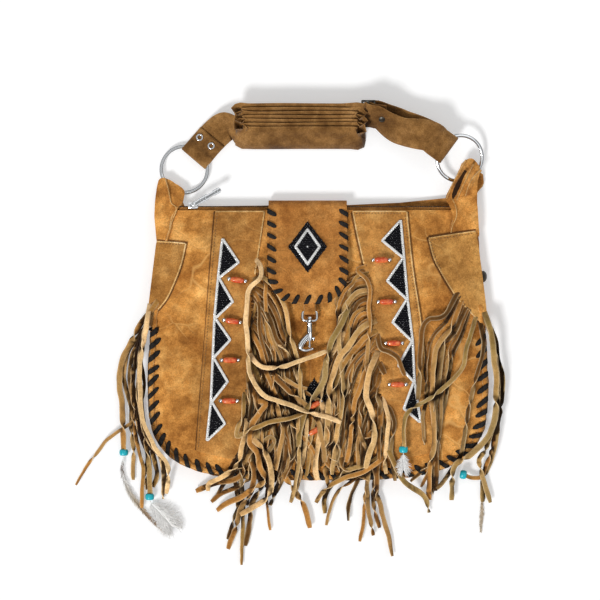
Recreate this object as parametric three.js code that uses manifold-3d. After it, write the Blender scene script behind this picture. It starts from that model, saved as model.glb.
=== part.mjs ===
// A fringed suede shoulder bag lying on its back, in millimetres. +Z is up, +Y points from the bag's
// bottom to its mouth, and the origin is on the floor under the middle of the back panel.
import * as THREE from 'three';
import { mergeVertices } from 'three/addons/utils/BufferGeometryUtils.js';
import Module from 'manifold-3d';

const wasm = await Module();
wasm.setup();

// Driving dimensions of the body
const HALF_WIDTH = 189;          // at the widest, below the middle
const MOUTH_HALF_WIDTH = 175;
const WIDEST_Y = -40;
const MOUTH_Y = 148;             // top edge of the back panel
const BOTTOM_DEPTH = 116;        // from the widest line down to the bottom edge
const CORNER_POWER = 3.6;        // superellipse power of the bottom corners
const LEATHER = 1.4;             // thickness of one suede sheet
const GAP = 0.3;                 // between pieces that lie on each other
const SEAM_Z = 14;               // outer face of the front panel along its laced seam
const CROWN_Z = 30;              // outer face of the front panel at the middle
const CROWN_POWER = 2.6;
const MOUTH_EASE = 95;           // how far below the mouth the crown is full
const FRONT_MOUTH_Y = 143;       // top edge of the front panel
const SEAM_INSET = 8;            // front panel's edge inside the bag's outline
const BACK_INSET = 6;
const FLANGE = 7;                // width of the gusset's sewn flanges
const SHOULDER_RUN = 26;         // how far outside the outline a strip reaches the floor
const GRID = 28.8;               // spacing of the points that shape the curved sheets

// Driving dimensions of the trimmings
const OVERLAY_LIFT = GAP;
const STITCH_THICK = 1.0;
const STITCH_LIFT = 0.7;         // over the leather it is sewn to
const STITCH_WIDE = 4;
const STITCH_PITCH = 15;
const STITCH_REACH = 9;          // from the edge in to the stitch's hole
const LACING_TOP_Y = 12;
const CORD_SIZE = 1.8;           // the lace where it runs along an edge
const BEAD_THICK = 1.6;          // seed beads sewn side by side
const WHITE_LINE = 2;            // one row of white seed beads
const TUBE_BEAD_LENGTH = 14;
const TUBE_BEAD_RADIUS = 3.2;
const BALL_RADIUS = 2.4;

// Driving dimensions of the fringe
const STRIP_WIDE = 4.6;
const STRIP_THICK = 1.2;
const STRIP_CLEAR = 2.9;         // middle of the lowest strips above the front panel
const STRIP_LAYER = 1.5;         // from one layer of strips to the next
const ROOT_LIFT = 1.3;           // middle of a strip where it leaves its panel
const FLOOR_CLEAR = 0.3;
const ROOT_RUN = 16;             // length over which a strip rises to its layer
const STRIP_TOLERANCE = 2.6;     // how far a strip's stations may miss its line

// Driving dimensions of the flap
const FLAP_LEFT = -54.5;
const FLAP_RIGHT = 31.8;
const FLAP_TIP_Y = 41;
const FLAP_CORNER = 33;          // height of the rounded end
const FOLD_RADIUS = 8.5;         // outer radius where the flap turns over the mouth
const FOLD_Z = 8.6;
const FOLD_Y = 145.4;
const FOLD_GAP = 0.4;            // between the flap's fold and the one under it
const BASE_LENGTH = 20;          // what is sewn inside the back panel
const FLAP_LIFT_MOUTH = 0.6;
const FLAP_LIFT_TIP = 8;
const FLAP_STITCH_PITCH = 13;
const FLAP_STITCH_REACH = 8;

// Driving dimensions of the metal parts
const RING_RADIUS = 25.5;        // to the middle of the wire
const WIRE_RADIUS = 2.1;
const TAB_WIDE = 26;
const WIRE_CLEAR = 0.4;
const HOOK_X = -9.2;             // the hook's axis runs along Y
const HOOK_Z = 36.2;
const HOOK_BAR_Y = 31.2;         // bar of the eye that the flap's tab holds
const EYE_WIRE_RADIUS = 1.1;
const EYE_HALF_WIDTH = 7.9;      // to the middle of the eye's legs
const NECK_RADIUS = 1.3;
const NECK_CLEAR = 0.3;
const HOOK_TUBE_RADIUS = 2.5;
const BOLT_RADIUS = 1.2;
const BOLT_CLEAR = 0.25;
const BOLT_TRAVEL = 6;
const RING_TILT = 18 * Math.PI / 180;

// Driving dimensions of the zip
const ZIP_HALF = 154;
const ZIP_TAPE = 1;
const ZIP_TOP_Y = 146.5;
const ZIP_RAIL = 2.6;            // the teeth, seen as one rail
const ZIP_TAPE_Z = 10.9;         // underside of the front tape
const SLIDER_X = -137.5;
const PULL_ANGLE = Math.PI / 6;
const PULL_LENGTH = 34;
const PULL_PIVOT = [SLIDER_X + 1, 149, 15.2];

// Driving dimensions of the strap
const STRAP_WIDE = 34;
const STRAP_THICK = 1.5;
const STRAP_LEAN = 0.83;         // radians from the floor to the folded strap's face
const FOLD_PITCH = 4.2;          // from one fold of the strap to the next
const FOLD_COUNT = 7;
const FOLD_X = [-82, 42];
const FIRST_FOLD_Y = 222.8;
const STACK_Z = 13.4;            // middle of the folded strap above the floor
const SLIDER_RISE = 3.6;
const SLIDER_BAR = 1.1;
const SLIDER_PITCH = 6.6;        // from one bar of the slider to the next
const RIVET_RADIUS = 3.2;
const RIVET_LENGTH = 6.4;

// Driving dimensions of the round beads and their feathers
const PONY_RADIUS = 5;
const PONY_LENGTH = 7;
const PONY_HOLE = 3.1;
const QUILL_DROP = 1.5;          // a quill runs through the bead's hole under the strip

const suede = (hex, roughness = 0.95) => new THREE.MeshStandardMaterial({ color: hex, roughness, metalness: 0 });
const SUEDE_BODY = suede(0xa8743a);
const SUEDE_PANEL = suede(0xb5813f);
const SUEDE_FRINGE = suede(0xb08a4c);
const SUEDE_STRAP = suede(0x93642f);
const LACE = suede(0x1c1a19, 0.7);
const CLOTH = suede(0x5b4632);
const BLACK_BEAD = new THREE.MeshStandardMaterial({ color: 0x14121a, roughness: 0.3, metalness: 0 });
const WHITE_BEAD = new THREE.MeshStandardMaterial({ color: 0xe9e9e6, roughness: 0.3, metalness: 0 });
const ORANGE_BEAD = new THREE.MeshStandardMaterial({ color: 0xc2512a, roughness: 0.3, metalness: 0 });
const TURQUOISE = new THREE.MeshStandardMaterial({ color: 0x12b4c4, roughness: 0.25, metalness: 0 });
const CHROME = new THREE.MeshStandardMaterial({ color: 0xc9ced2, roughness: 0.15, metalness: 1 });
const DARK_METAL = new THREE.MeshStandardMaterial({ color: 0x3b352f, roughness: 0.4, metalness: 1 });
const FEATHER = suede(0xe6e0d8);

const bag = new THREE.Group();

// Turns a closed geometry into a solid that can be cut and joined.
function solid(geometry) {
  const bare = new THREE.BufferGeometry();
  const loose = geometry.index ? geometry.toNonIndexed() : geometry;
  bare.setAttribute('position', loose.getAttribute('position'));
  const merged = mergeVertices(bare, 1e-4);
  return new wasm.Manifold(new wasm.Mesh({
    numProp: 3,
    vertProperties: new Float32Array(merged.attributes.position.array),
    triVerts: new Uint32Array(merged.index.array),
  }));
}

// A solid from points and faces, turned inside out if its faces were listed the other way.
function solidOf(position, index) {
  const geometry = new THREE.BufferGeometry();
  geometry.setAttribute('position', new THREE.Float32BufferAttribute(position, 3));
  geometry.setIndex(index);
  const made = solid(geometry);
  if (made.volume() > 0) return made;
  const turned = [];
  for (let i = 0; i < index.length; i += 3) turned.push(index[i], index[i + 2], index[i + 1]);
  geometry.setIndex(turned);
  return solid(geometry);
}

function geometryOf(shape) {
  const made = shape.getMesh();
  const geometry = new THREE.BufferGeometry();
  geometry.setAttribute('position', new THREE.BufferAttribute(Float32Array.from(made.vertProperties), 3));
  geometry.setIndex(new THREE.BufferAttribute(Uint32Array.from(made.triVerts), 1));
  return geometry;
}

function add(name, shape, material) {
  const geometry = shape.isBufferGeometry ? shape : geometryOf(shape);
  const mesh = new THREE.Mesh(geometry, material);
  mesh.name = name;
  bag.add(mesh);
  return mesh;
}

const clamp = (value, low, high) => Math.min(high, Math.max(low, value));
const smooth = (t) => { const c = clamp(t, 0, 1); return c * c * (3 - 2 * c); };
const mix = (a, b, t) => a + (b - a) * t;

// A repeatable number from 0 to 1 for strip i and its k-th property.
function chance(i, k) {
  const wave = Math.sin(i * 12.9898 + k * 78.233) * 43758.5453;
  return wave - Math.floor(wave);
}

// Half the bag's width at a height y, taken in by an inset.
function halfWidth(y, inset = 0) {
  if (y >= WIDEST_Y) {
    const share = (y - WIDEST_Y) / (MOUTH_Y - WIDEST_Y);
    return mix(HALF_WIDTH, MOUTH_HALF_WIDTH, share ** 1.2) - inset;
  }
  const depth = clamp((WIDEST_Y - y) / (BOTTOM_DEPTH - inset), 0, 1);
  return (HALF_WIDTH - inset) * (1 - depth ** CORNER_POWER) ** (1 / CORNER_POWER);
}

// The U-shaped outline from the left of the mouth round the bottom to the right.
function outline(inset, topY, sideSteps = 5, cornerSteps = 22) {
  const points = [];
  for (let i = 0; i < sideSteps; i++) {
    const y = mix(topY, WIDEST_Y, i / sideSteps);
    points.push(new THREE.Vector2(-halfWidth(y, inset), y));
  }
  const power = 2 / CORNER_POWER;
  for (let i = 0; i <= cornerSteps; i++) {
    const angle = Math.PI * (1 + i / cornerSteps);
    const c = Math.cos(angle);
    const s = Math.sin(angle);
    points.push(new THREE.Vector2(
      (HALF_WIDTH - inset) * Math.sign(c) * Math.abs(c) ** power,
      WIDEST_Y - (BOTTOM_DEPTH - inset) * Math.abs(s) ** power,
    ));
  }
  for (let i = sideSteps - 1; i >= 0; i--) {
    const y = mix(topY, WIDEST_Y, i / sideSteps);
    points.push(new THREE.Vector2(halfWidth(y, inset), y));
  }
  return points;
}

// How far a point lies outside the bag's outline, negative inside.
function outside(x, y) {
  const side = Math.abs(x) - halfWidth(Math.max(y, WIDEST_Y));
  if (y >= WIDEST_Y) return side;
  const u = Math.abs(x) / HALF_WIDTH;
  const v = (WIDEST_Y - y) / BOTTOM_DEPTH;
  const ring = (u ** CORNER_POWER + v ** CORNER_POWER) ** (1 / CORNER_POWER);
  const reach = Math.hypot(x, y - WIDEST_Y);
  return ring > 1e-6 ? reach * (1 - 1 / ring) : -BOTTOM_DEPTH;
}

// Height of the front of the bag, level beyond its seam.
function frontHeight(x, y) {
  const u = Math.abs(x) / halfWidth(Math.max(y, WIDEST_Y), SEAM_INSET);
  const v = Math.max(0, WIDEST_Y - y) / (BOTTOM_DEPTH - SEAM_INSET);
  const ring = clamp((u ** CORNER_POWER + v ** CORNER_POWER) ** (1 / CORNER_POWER), 0, 1);
  const easing = mix(0.07, 1, smooth((MOUTH_Y - y) / MOUTH_EASE));
  return SEAM_Z + (CROWN_Z - SEAM_Z) * (1 - ring ** CROWN_POWER) * easing;
}

// A surface read off the grid of flat facets that all curved sheets share.
function onGrid(surface) {
  return (x, y) => {
    const i = Math.floor(x / GRID);
    const j = Math.floor(y / GRID);
    const u = x / GRID - i;
    const v = y / GRID - j;
    const h = (a, b) => surface((i + a) * GRID, (j + b) * GRID);
    if (u >= v) return h(0, 0) + (h(1, 0) - h(0, 0)) * u + (h(1, 1) - h(1, 0)) * v;
    return h(0, 0) + (h(1, 1) - h(0, 1)) * u + (h(0, 1) - h(0, 0)) * v;
  };
}

const gridHeight = onGrid(frontHeight);

// Height of what hangs over the bag's edge down to the floor.
function drapeHeight(x, y) {
  const fall = smooth((outside(x, y) + 4) / (SHOULDER_RUN + 4));
  return gridHeight(x, y) * (1 - fall);
}

// A closed layer between two heights over a rectangle of the shared grid.
function layer(low, high, box) {
  const [x0, x1, y0, y1] = box.map((v, k) => (k % 2 ? Math.ceil(v / GRID) : Math.floor(v / GRID)));
  const across = x1 - x0 + 1;
  const along = y1 - y0 + 1;
  const position = [];
  for (const height of [high, low]) {
    for (let j = 0; j < along; j++) {
      for (let i = 0; i < across; i++) {
        const x = (x0 + i) * GRID;
        const y = (y0 + j) * GRID;
        position.push(x, y, height(x, y));
      }
    }
  }
  const index = [];
  const at = (side, i, j) => (side * along + j) * across + i;
  for (let j = 0; j < along - 1; j++) {
    for (let i = 0; i < across - 1; i++) {
      const [a, b, c, d] = [at(0, i, j), at(0, i + 1, j), at(0, i + 1, j + 1), at(0, i, j + 1)];
      index.push(a, b, c, a, c, d);
      const [e, f, g, h] = [at(1, i, j), at(1, i + 1, j), at(1, i + 1, j + 1), at(1, i, j + 1)];
      index.push(e, g, f, e, h, g);
    }
  }
  const wall = (i, j, k, l) => index.push(
    at(0, i, j), at(1, i, j), at(1, k, l),
    at(0, i, j), at(1, k, l), at(0, k, l),
  );
  for (let i = 0; i < across - 1; i++) {
    wall(i, 0, i + 1, 0);
    wall(i + 1, along - 1, i, along - 1);
  }
  for (let j = 0; j < along - 1; j++) {
    wall(across - 1, j, across - 1, j + 1);
    wall(0, j + 1, 0, j);
  }
  return solidOf(position, index);
}

// A tall prism on a flat outline, to trim a layer with.
function prism(points, holes = [], low = -20, high = 80) {
  const vectors = (list) => list.map((p) => (p.isVector2 ? p.clone() : new THREE.Vector2(...p)));
  const rim = vectors(points);
  if (THREE.ShapeUtils.area(rim) < 0) rim.reverse();
  const shape = new THREE.Shape(rim);
  for (const hole of holes) shape.holes.push(new THREE.Path(vectors(hole)));
  const geometry = new THREE.ExtrudeGeometry(shape, { depth: high - low, bevelEnabled: false });
  geometry.translate(0, 0, low);
  return solid(geometry);
}

function boundsOf(points) {
  const xs = points.map((p) => (p.isVector2 ? p.x : p[0]));
  const ys = points.map((p) => (p.isVector2 ? p.y : p[1]));
  return [Math.min(...xs) - 1, Math.max(...xs) + 1, Math.min(...ys) - 1, Math.max(...ys) + 1];
}

// A sheet of an outline, lying between two heights above a surface.
function sheetOn(surface, points, low, high, holes = []) {
  const body = layer((x, y) => surface(x, y) + low, (x, y) => surface(x, y) + high, boundsOf(points));
  return body.intersect(prism(points, holes));
}

// A flat ribbon swept along points, with its own width direction at each one.
function ribbon(points, widths, wide, thick) {
  const position = [];
  const count = points.length;
  for (let i = 0; i < count; i++) {
    const ahead = points[Math.min(i + 1, count - 1)];
    const behind = points[Math.max(i - 1, 0)];
    const tangent = ahead.clone().sub(behind).normalize();
    const across = widths[i].clone().normalize();
    const normal = new THREE.Vector3().crossVectors(tangent, across).normalize();
    for (const [a, b] of [[1, 1], [-1, 1], [-1, -1], [1, -1]]) {
      const p = points[i].clone().addScaledVector(across, (a * wide) / 2).addScaledVector(normal, (b * thick) / 2);
      position.push(p.x, p.y, p.z);
    }
  }
  const index = [0, 2, 1, 0, 3, 2];
  for (let i = 0; i < count - 1; i++) {
    for (let k = 0; k < 4; k++) {
      const [a, b] = [i * 4 + k, i * 4 + ((k + 1) % 4)];
      index.push(a, b, b + 4, a, b + 4, a + 4);
    }
  }
  const end = (count - 1) * 4;
  index.push(end, end + 1, end + 2, end, end + 2, end + 3);
  return solidOf(position, index);
}

// A closed round bar between two points.
function rod(from, to, radius, sides = 10) {
  const a = new THREE.Vector3(...from);
  const b = new THREE.Vector3(...to);
  const geometry = new THREE.CylinderGeometry(radius, radius, a.distanceTo(b), sides);
  const turn = new THREE.Quaternion().setFromUnitVectors(new THREE.Vector3(0, 1, 0), b.clone().sub(a).normalize());
  geometry.applyQuaternion(turn);
  const middle = a.clone().add(b).multiplyScalar(0.5);
  geometry.translate(middle.x, middle.y, middle.z);
  return solid(geometry);
}

function block(x0, x1, y0, y1, z0, z1) {
  const geometry = new THREE.BoxGeometry(x1 - x0, y1 - y0, z1 - z0);
  geometry.translate((x0 + x1) / 2, (y0 + y1) / 2, (z0 + z1) / 2);
  return solid(geometry);
}

// The largest closed piece of a shape, without crumbs left by a cut.
function mainPiece(shape) {
  const parts = shape.decompose();
  parts.sort((a, b) => b.volume() - a.volume());
  return parts[0];
}

const joined = (shapes) => shapes.reduce((all, next) => all.add(next));

// The body: two panels and the gusset between them

function backPanel() {
  const plate = prism(outline(BACK_INSET, MOUTH_Y), [], 0, LEATHER);
  const clear = FOLD_Y - 1;
  return plate.subtract(block(FLAP_LEFT - GAP, FLAP_RIGHT + GAP, clear, MOUTH_Y + 5, -1, 5));
}

function frontPanel() {
  return sheetOn(frontHeight, outline(SEAM_INSET, FRONT_MOUTH_Y), -LEATHER, 0);
}

// The gusset is a channel: a flange under the front panel, a rounded side and a flange on the back.
function gusset() {
  const frontIn = SEAM_Z - LEATHER - GAP;
  const backIn = LEATHER + GAP;
  const mid = (frontIn + backIn) / 2;
  const profile = [
    [BACK_INSET + 1 + FLANGE, backIn + LEATHER], [BACK_INSET + 1 + FLANGE, backIn], [BACK_INSET, backIn],
    [0, mid], [SEAM_INSET - 2.4, frontIn],
    [SEAM_INSET + FLANGE, frontIn], [SEAM_INSET + FLANGE, frontIn - LEATHER],
    [SEAM_INSET - 1.6, frontIn - LEATHER], [LEATHER + 0.5, mid], [BACK_INSET + 1, backIn + LEATHER],
  ];
  const rings = profile.map(([inset, z]) => outline(inset, FRONT_MOUTH_Y, 4, 18)
    .map((p) => new THREE.Vector3(p.x, p.y, z)));
  const steps = rings[0].length;
  const sides = profile.length;
  const position = [];
  for (let i = 0; i < steps; i++) {
    for (let k = 0; k < sides; k++) position.push(...rings[k][i].toArray());
  }
  const index = [];
  for (let i = 0; i < steps - 1; i++) {
    for (let k = 0; k < sides; k++) {
      const [a, b] = [i * sides + k, i * sides + ((k + 1) % sides)];
      index.push(a, b + sides, b, a, a + sides, b + sides);
    }
  }
  const flat = profile.map(([u, v]) => new THREE.Vector2(u, v));
  const way = THREE.ShapeUtils.area(flat) > 0;
  const last = (steps - 1) * sides;
  for (const face of THREE.ShapeUtils.triangulateShape(flat, [])) {
    const facing = THREE.ShapeUtils.area(face.map((k) => flat[k])) > 0;
    const [a, b, c] = facing === way ? face : [face[0], face[2], face[1]];
    index.push(a, b, c);
    index.push(last + a, last + c, last + b);
  }
  return solidOf(position, index);
}

add('back_panel', backPanel(), SUEDE_BODY);
add('front_panel', frontPanel(), SUEDE_BODY);
add('side_gusset', gusset(), SUEDE_BODY);

// The mouth: a zip tape along each edge, open between them

function zipTapeFront() {
  const tape = block(-ZIP_HALF, ZIP_HALF, 131, ZIP_TOP_Y, ZIP_TAPE_Z, ZIP_TAPE_Z + ZIP_TAPE);
  const low = ZIP_TAPE_Z - (ZIP_RAIL - ZIP_TAPE) / 2;
  return tape.add(block(-ZIP_HALF, ZIP_HALF, ZIP_TOP_Y - 1, ZIP_TOP_Y + 1.6, low, low + ZIP_RAIL));
}

function zipTapeBack() {
  const low = LEATHER + GAP;
  const over = FOLD_Z - FOLD_RADIUS + 2 * (LEATHER + FOLD_GAP) + GAP;
  const left = FLAP_LEFT - 2;
  const right = FLAP_RIGHT + 2;
  return joined([
    block(-ZIP_HALF, left, 131, ZIP_TOP_Y, low, low + ZIP_TAPE),
    block(right, ZIP_HALF, 131, ZIP_TOP_Y, low, low + ZIP_TAPE),
    block(left - ZIP_TAPE, right + ZIP_TAPE, 132, 137, over, over + ZIP_TAPE),
    block(left - ZIP_TAPE - 0.6, left - 0.4, 131.5, 137.5, low + 0.2, over + ZIP_TAPE + 0.2),
    block(right + 0.4, right + ZIP_TAPE + 0.6, 131.5, 137.5, low + 0.2, over + ZIP_TAPE + 0.2),
  ]);
}

function zipSlider() {
  const low = ZIP_TAPE_Z - (ZIP_RAIL - ZIP_TAPE) / 2;
  const shell = block(SLIDER_X - 5.5, SLIDER_X + 5.5, 144.6, 152, low - 1.6, low + ZIP_RAIL + 1.6);
  const rail = block(SLIDER_X - 9, SLIDER_X + 9, 140, 148.6, low - 0.4, low + ZIP_RAIL + 0.4);
  const [x, y, z] = PULL_PIVOT;
  const post = rod([x, y, low + ZIP_RAIL + 1], [x, y, z + 1.6], 1, 12);
  const head = rod([x, y, z + 1.2], [x, y, z + 2.1], 1.9, 12);
  return shell.subtract(rail).add(post).add(head);
}

function zipPull() {
  const [x, y, z] = PULL_PIVOT;
  const shape = new THREE.Shape();
  shape.absarc(0, 0, 3, Math.PI / 2, -Math.PI / 2, false);
  shape.lineTo(PULL_LENGTH - 4, -1.6);
  shape.absarc(PULL_LENGTH - 2.4, 0, 2.4, -Math.PI / 2, Math.PI / 2, false);
  shape.lineTo(0, 3);
  const hole = new THREE.Path();
  hole.absarc(0, 0, 1.3, 0, Math.PI * 2, true);
  shape.holes.push(hole);
  const geometry = new THREE.ExtrudeGeometry(shape, { depth: 1.4, bevelEnabled: false, curveSegments: 8 });
  geometry.rotateZ(PULL_ANGLE);
  geometry.translate(x, y, z - 0.6);
  return solid(geometry);
}

add('zip_tape_front', zipTapeFront(), CLOTH);
add('zip_tape_back', zipTapeBack(), CLOTH);
add('zip_slider', zipSlider(), CHROME);
add('zip_pull', zipPull(), CHROME);

// The flap: a sewn base inside the back panel, a fold over the mouth and the laced front

const flapLift = (y) => mix(FLAP_LIFT_MOUTH, FLAP_LIFT_TIP, smooth((FOLD_Y - y) / 72));
const flapUnder = (x, y) => frontHeight(x, y) + flapLift(y);
const flapTop = (x, y) => flapUnder(x, y) + LEATHER;

function flapOutline(inset) {
  const left = FLAP_LEFT + inset;
  const right = FLAP_RIGHT - inset;
  const tip = FLAP_TIP_Y + inset;
  const points = [[left, FOLD_Y + 0.5], [left, FLAP_TIP_Y + FLAP_CORNER]];
  const reachX = 29;
  const height = FLAP_CORNER - inset;
  for (let i = 1; i <= 6; i++) {
    const angle = (Math.PI / 2) * (i / 6);
    points.push([left + reachX * (1 - Math.cos(angle)), tip + height * (1 - Math.sin(angle))]);
  }
  for (let i = 0; i <= 6; i++) {
    const angle = (Math.PI / 2) * (1 - i / 6);
    points.push([right - reachX * (1 - Math.cos(angle)), tip + height * (1 - Math.sin(angle))]);
  }
  points.push([right, FOLD_Y + 0.5]);
  return points;
}

// A part of the fold, between two angles counted from straight down round to the front.
function foldArc(outer, thick, from, to, left, right) {
  const shape = new THREE.Shape();
  const steps = 8;
  const at = (radius, angle) => [FOLD_Y + radius * Math.sin(angle), FOLD_Z - radius * Math.cos(angle)];
  for (let i = 0; i <= steps; i++) {
    const [u, v] = at(outer, mix(from, to, i / steps));
    if (i === 0) shape.moveTo(u, v);
    else shape.lineTo(u, v);
  }
  for (let i = steps; i >= 0; i--) shape.lineTo(...at(outer - thick, mix(from, to, i / steps)));
  const geometry = new THREE.ExtrudeGeometry(shape, { depth: right - left, bevelEnabled: false });
  const turn = new THREE.Matrix4().set(0, 0, 1, left, 1, 0, 0, 0, 0, 1, 0, 0, 0, 0, 0, 1);
  geometry.applyMatrix4(turn);
  return solid(geometry);
}

function flapBase() {
  const outer = FOLD_RADIUS - LEATHER - FOLD_GAP;
  const arc = foldArc(outer, LEATHER, 0, Math.PI * 0.86, FLAP_LEFT, FLAP_RIGHT);
  const low = FOLD_Z - outer;
  return arc.add(block(FLAP_LEFT, FLAP_RIGHT, FOLD_Y - BASE_LENGTH, FOLD_Y + 0.2, low, low + LEATHER));
}

function flapFront() {
  const arc = foldArc(FOLD_RADIUS, LEATHER, Math.PI * 0.68, Math.PI, FLAP_LEFT, FLAP_RIGHT);
  const top = FOLD_Z + FOLD_RADIUS;
  const lip = block(FLAP_LEFT, FLAP_RIGHT, FOLD_Y - 3, FOLD_Y + 0.3, top - LEATHER, top);
  const sheet = sheetOn(flapUnder, flapOutline(0), 0, LEATHER);
  return arc.add(lip).add(sheet);
}

// A thin plate of flat quads whose corners lie between two heights.
function plate(corners, quads, low, high) {
  const count = corners.length;
  const position = [];
  for (const height of [high, low]) for (const p of corners) position.push(p.x, p.y, height(p.x, p.y));
  const index = [];
  const edges = new Set();
  for (const quad of quads) {
    const [a, b, c, d] = quad;
    index.push(a, b, c, a, c, d, count + a, count + c, count + b, count + a, count + d, count + c);
    quad.forEach((from, k) => edges.add(`${from} ${quad[(k + 1) % 4]}`));
  }
  for (const edge of edges) {
    const [a, b] = edge.split(' ').map(Number);
    if (edges.has(`${b} ${a}`)) continue;
    index.push(a, count + a, count + b, a, count + b, b);
  }
  return solidOf(position, index);
}

// A lace along an edge with a stitch reaching in at each step, all in one plate.
function lacing(surface, edges, tips, pitch, slant, lift) {
  const curve = (list) => new THREE.CatmullRomCurve3(
    list.map(([x, y]) => new THREE.Vector3(x, y, 0)), false, 'centripetal',
  );
  const [outer, inner, reach] = [...edges, tips].map(curve);
  const length = outer.getLength();
  const count = Math.round(length / pitch);
  const half = STITCH_WIDE / 2 / length;
  const lean = slant / length;
  const corners = [outer.getPointAt(0), inner.getPointAt(0)];
  const quads = [];
  for (let i = 0; i < count; i++) {
    const share = (i + 0.5) / count;
    for (const at of [share - half, share + half]) {
      const last = corners.length - 1 - (at > share || i === 0 ? 0 : 2);
      corners.push(outer.getPointAt(at), inner.getPointAt(at));
      quads.push([last - 1, corners.length - 2, corners.length - 1, last]);
    }
    const near = corners.length;
    corners.push(
      reach.getPointAt(clamp(share - half + lean, 0, 1)),
      reach.getPointAt(clamp(share + half + lean, 0, 1)),
    );
    quads.push([near - 3, near - 1, near + 1, near]);
  }
  const end = corners.length;
  corners.push(outer.getPointAt(1), inner.getPointAt(1));
  quads.push([end - 4, end, end + 1, end - 3]);
  return plate(corners, quads, (x, y) => surface(x, y) + lift, (x, y) => surface(x, y) + lift + STITCH_THICK);
}

function flapLacing() {
  const top = FOLD_Y - 8;
  const line = (inset) => [
    [FLAP_LEFT + inset, top],
    ...flapOutline(inset).filter(([, y]) => y < top - 2),
    [FLAP_RIGHT - inset, top],
  ];
  return lacing(onGrid(flapTop), [line(-1), line(0.8)], line(FLAP_STITCH_REACH), FLAP_STITCH_PITCH, 4, STITCH_LIFT);
}

// A diamond or the ring of a diamond's edge.
function diamond(x, y, halfX, halfY) {
  return [[x - halfX, y], [x, y - halfY], [x + halfX, y], [x, y + halfY]];
}

const DIAMOND = { x: -11.5, y: 102.3, outer: [20.9, 27.5], line: [14.2, 20.4], inner: [11.6, 17.2] };

add('flap_base', flapBase(), SUEDE_BODY);
add('flap', flapFront(), SUEDE_PANEL);
add('flap_lacing', flapLacing(), LACE);
{
  const { x, y, outer, line, inner } = DIAMOND;
  const edge = diamond(x, y, line[0] + 0.2, line[1] + 0.3);
  const core = diamond(x, y, inner[0] - 0.2, inner[1] - 0.3);
  const low = GAP;
  const high = GAP + BEAD_THICK;
  const bead = rod([x, y, 0], [x, y, 60], 1.9, 8);
  add('diamond_black', sheetOn(flapTop, diamond(x, y, ...outer), low, high, [edge]), BLACK_BEAD);
  add('diamond_line', sheetOn(flapTop, diamond(x, y, ...line), low, high, [diamond(x, y, ...inner)]), WHITE_BEAD);
  add('diamond_core', sheetOn(flapTop, core, low, high).subtract(bead), BLACK_BEAD);
}

// The snap hook under the flap's tip

function hookTab() {
  const gap = EYE_WIRE_RADIUS + WIRE_CLEAR;
  const outer = gap + LEATHER;
  const half = EYE_HALF_WIDTH - EYE_WIRE_RADIUS - 0.5;
  const tail = FLAP_TIP_Y + 14;
  const loop = rod([HOOK_X - half, HOOK_BAR_Y, HOOK_Z], [HOOK_X + half, HOOK_BAR_Y, HOOK_Z], outer, 16);
  const bore = rod([HOOK_X - 20, HOOK_BAR_Y, HOOK_Z], [HOOK_X + 20, HOOK_BAR_Y, HOOK_Z], gap, 16);
  const tongue = block(HOOK_X - half, HOOK_X + half, HOOK_BAR_Y + gap, tail, HOOK_Z - LEATHER, HOOK_Z + LEATHER);
  return loop.add(tongue).subtract(bore);
}

function hookEye() {
  const y0 = 20.2;
  const [left, right] = [HOOK_X - EYE_HALF_WIDTH, HOOK_X + EYE_HALF_WIDTH];
  const bar = rod([left, HOOK_BAR_Y, HOOK_Z], [right, HOOK_BAR_Y, HOOK_Z], EYE_WIRE_RADIUS);
  const legs = [left, right].map((x) => rod([x, y0 + 1.4, HOOK_Z], [x, HOOK_BAR_Y + 1, HOOK_Z], EYE_WIRE_RADIUS));
  const foot = block(left - 0.8, right + 0.8, y0, y0 + 2.6, HOOK_Z - 1.7, HOOK_Z + 1.7);
  const boss = rod([HOOK_X, y0, HOOK_Z], [HOOK_X, y0 + 2.6, HOOK_Z], 3, 14);
  const bore = rod([HOOK_X, y0 - 5, HOOK_Z], [HOOK_X, y0 + 9, HOOK_Z], NECK_RADIUS + NECK_CLEAR, 14);
  return joined([bar, ...legs, foot, boss]).subtract(bore);
}

// A round bar along flat points, all at one height.
function bentRod(points, radius, sides) {
  const position = [];
  const count = points.length;
  const up = new THREE.Vector3(0, 0, 1);
  for (let i = 0; i < count; i++) {
    const tangent = points[Math.min(i + 1, count - 1)].clone().sub(points[Math.max(i - 1, 0)]).normalize();
    const side = new THREE.Vector3().crossVectors(tangent, up).normalize();
    for (let k = 0; k < sides; k++) {
      const angle = (2 * Math.PI * k) / sides;
      const p = points[i].clone().addScaledVector(side, radius * Math.cos(angle));
      position.push(p.x, p.y, p.z + radius * Math.sin(angle));
    }
  }
  const index = [];
  for (let i = 0; i < count - 1; i++) {
    for (let k = 0; k < sides; k++) {
      const [a, b] = [i * sides + k, i * sides + ((k + 1) % sides)];
      index.push(a, b + sides, b, a, a + sides, b + sides);
    }
  }
  const end = (count - 1) * sides;
  for (let k = 1; k < sides - 1; k++) {
    index.push(0, k, k + 1);
    index.push(end, end + k + 1, end + k);
  }
  return solidOf(position, index);
}

// The hook's bill, a flat bent finger.
const BILL = [[-11, 4], [-15.2, 1.6], [-19, -2.2], [-20.4, -6.6], [-18, -10], [-13.6, -10.9], [-8.4, -10], [-3.8, -8.6]];

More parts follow.
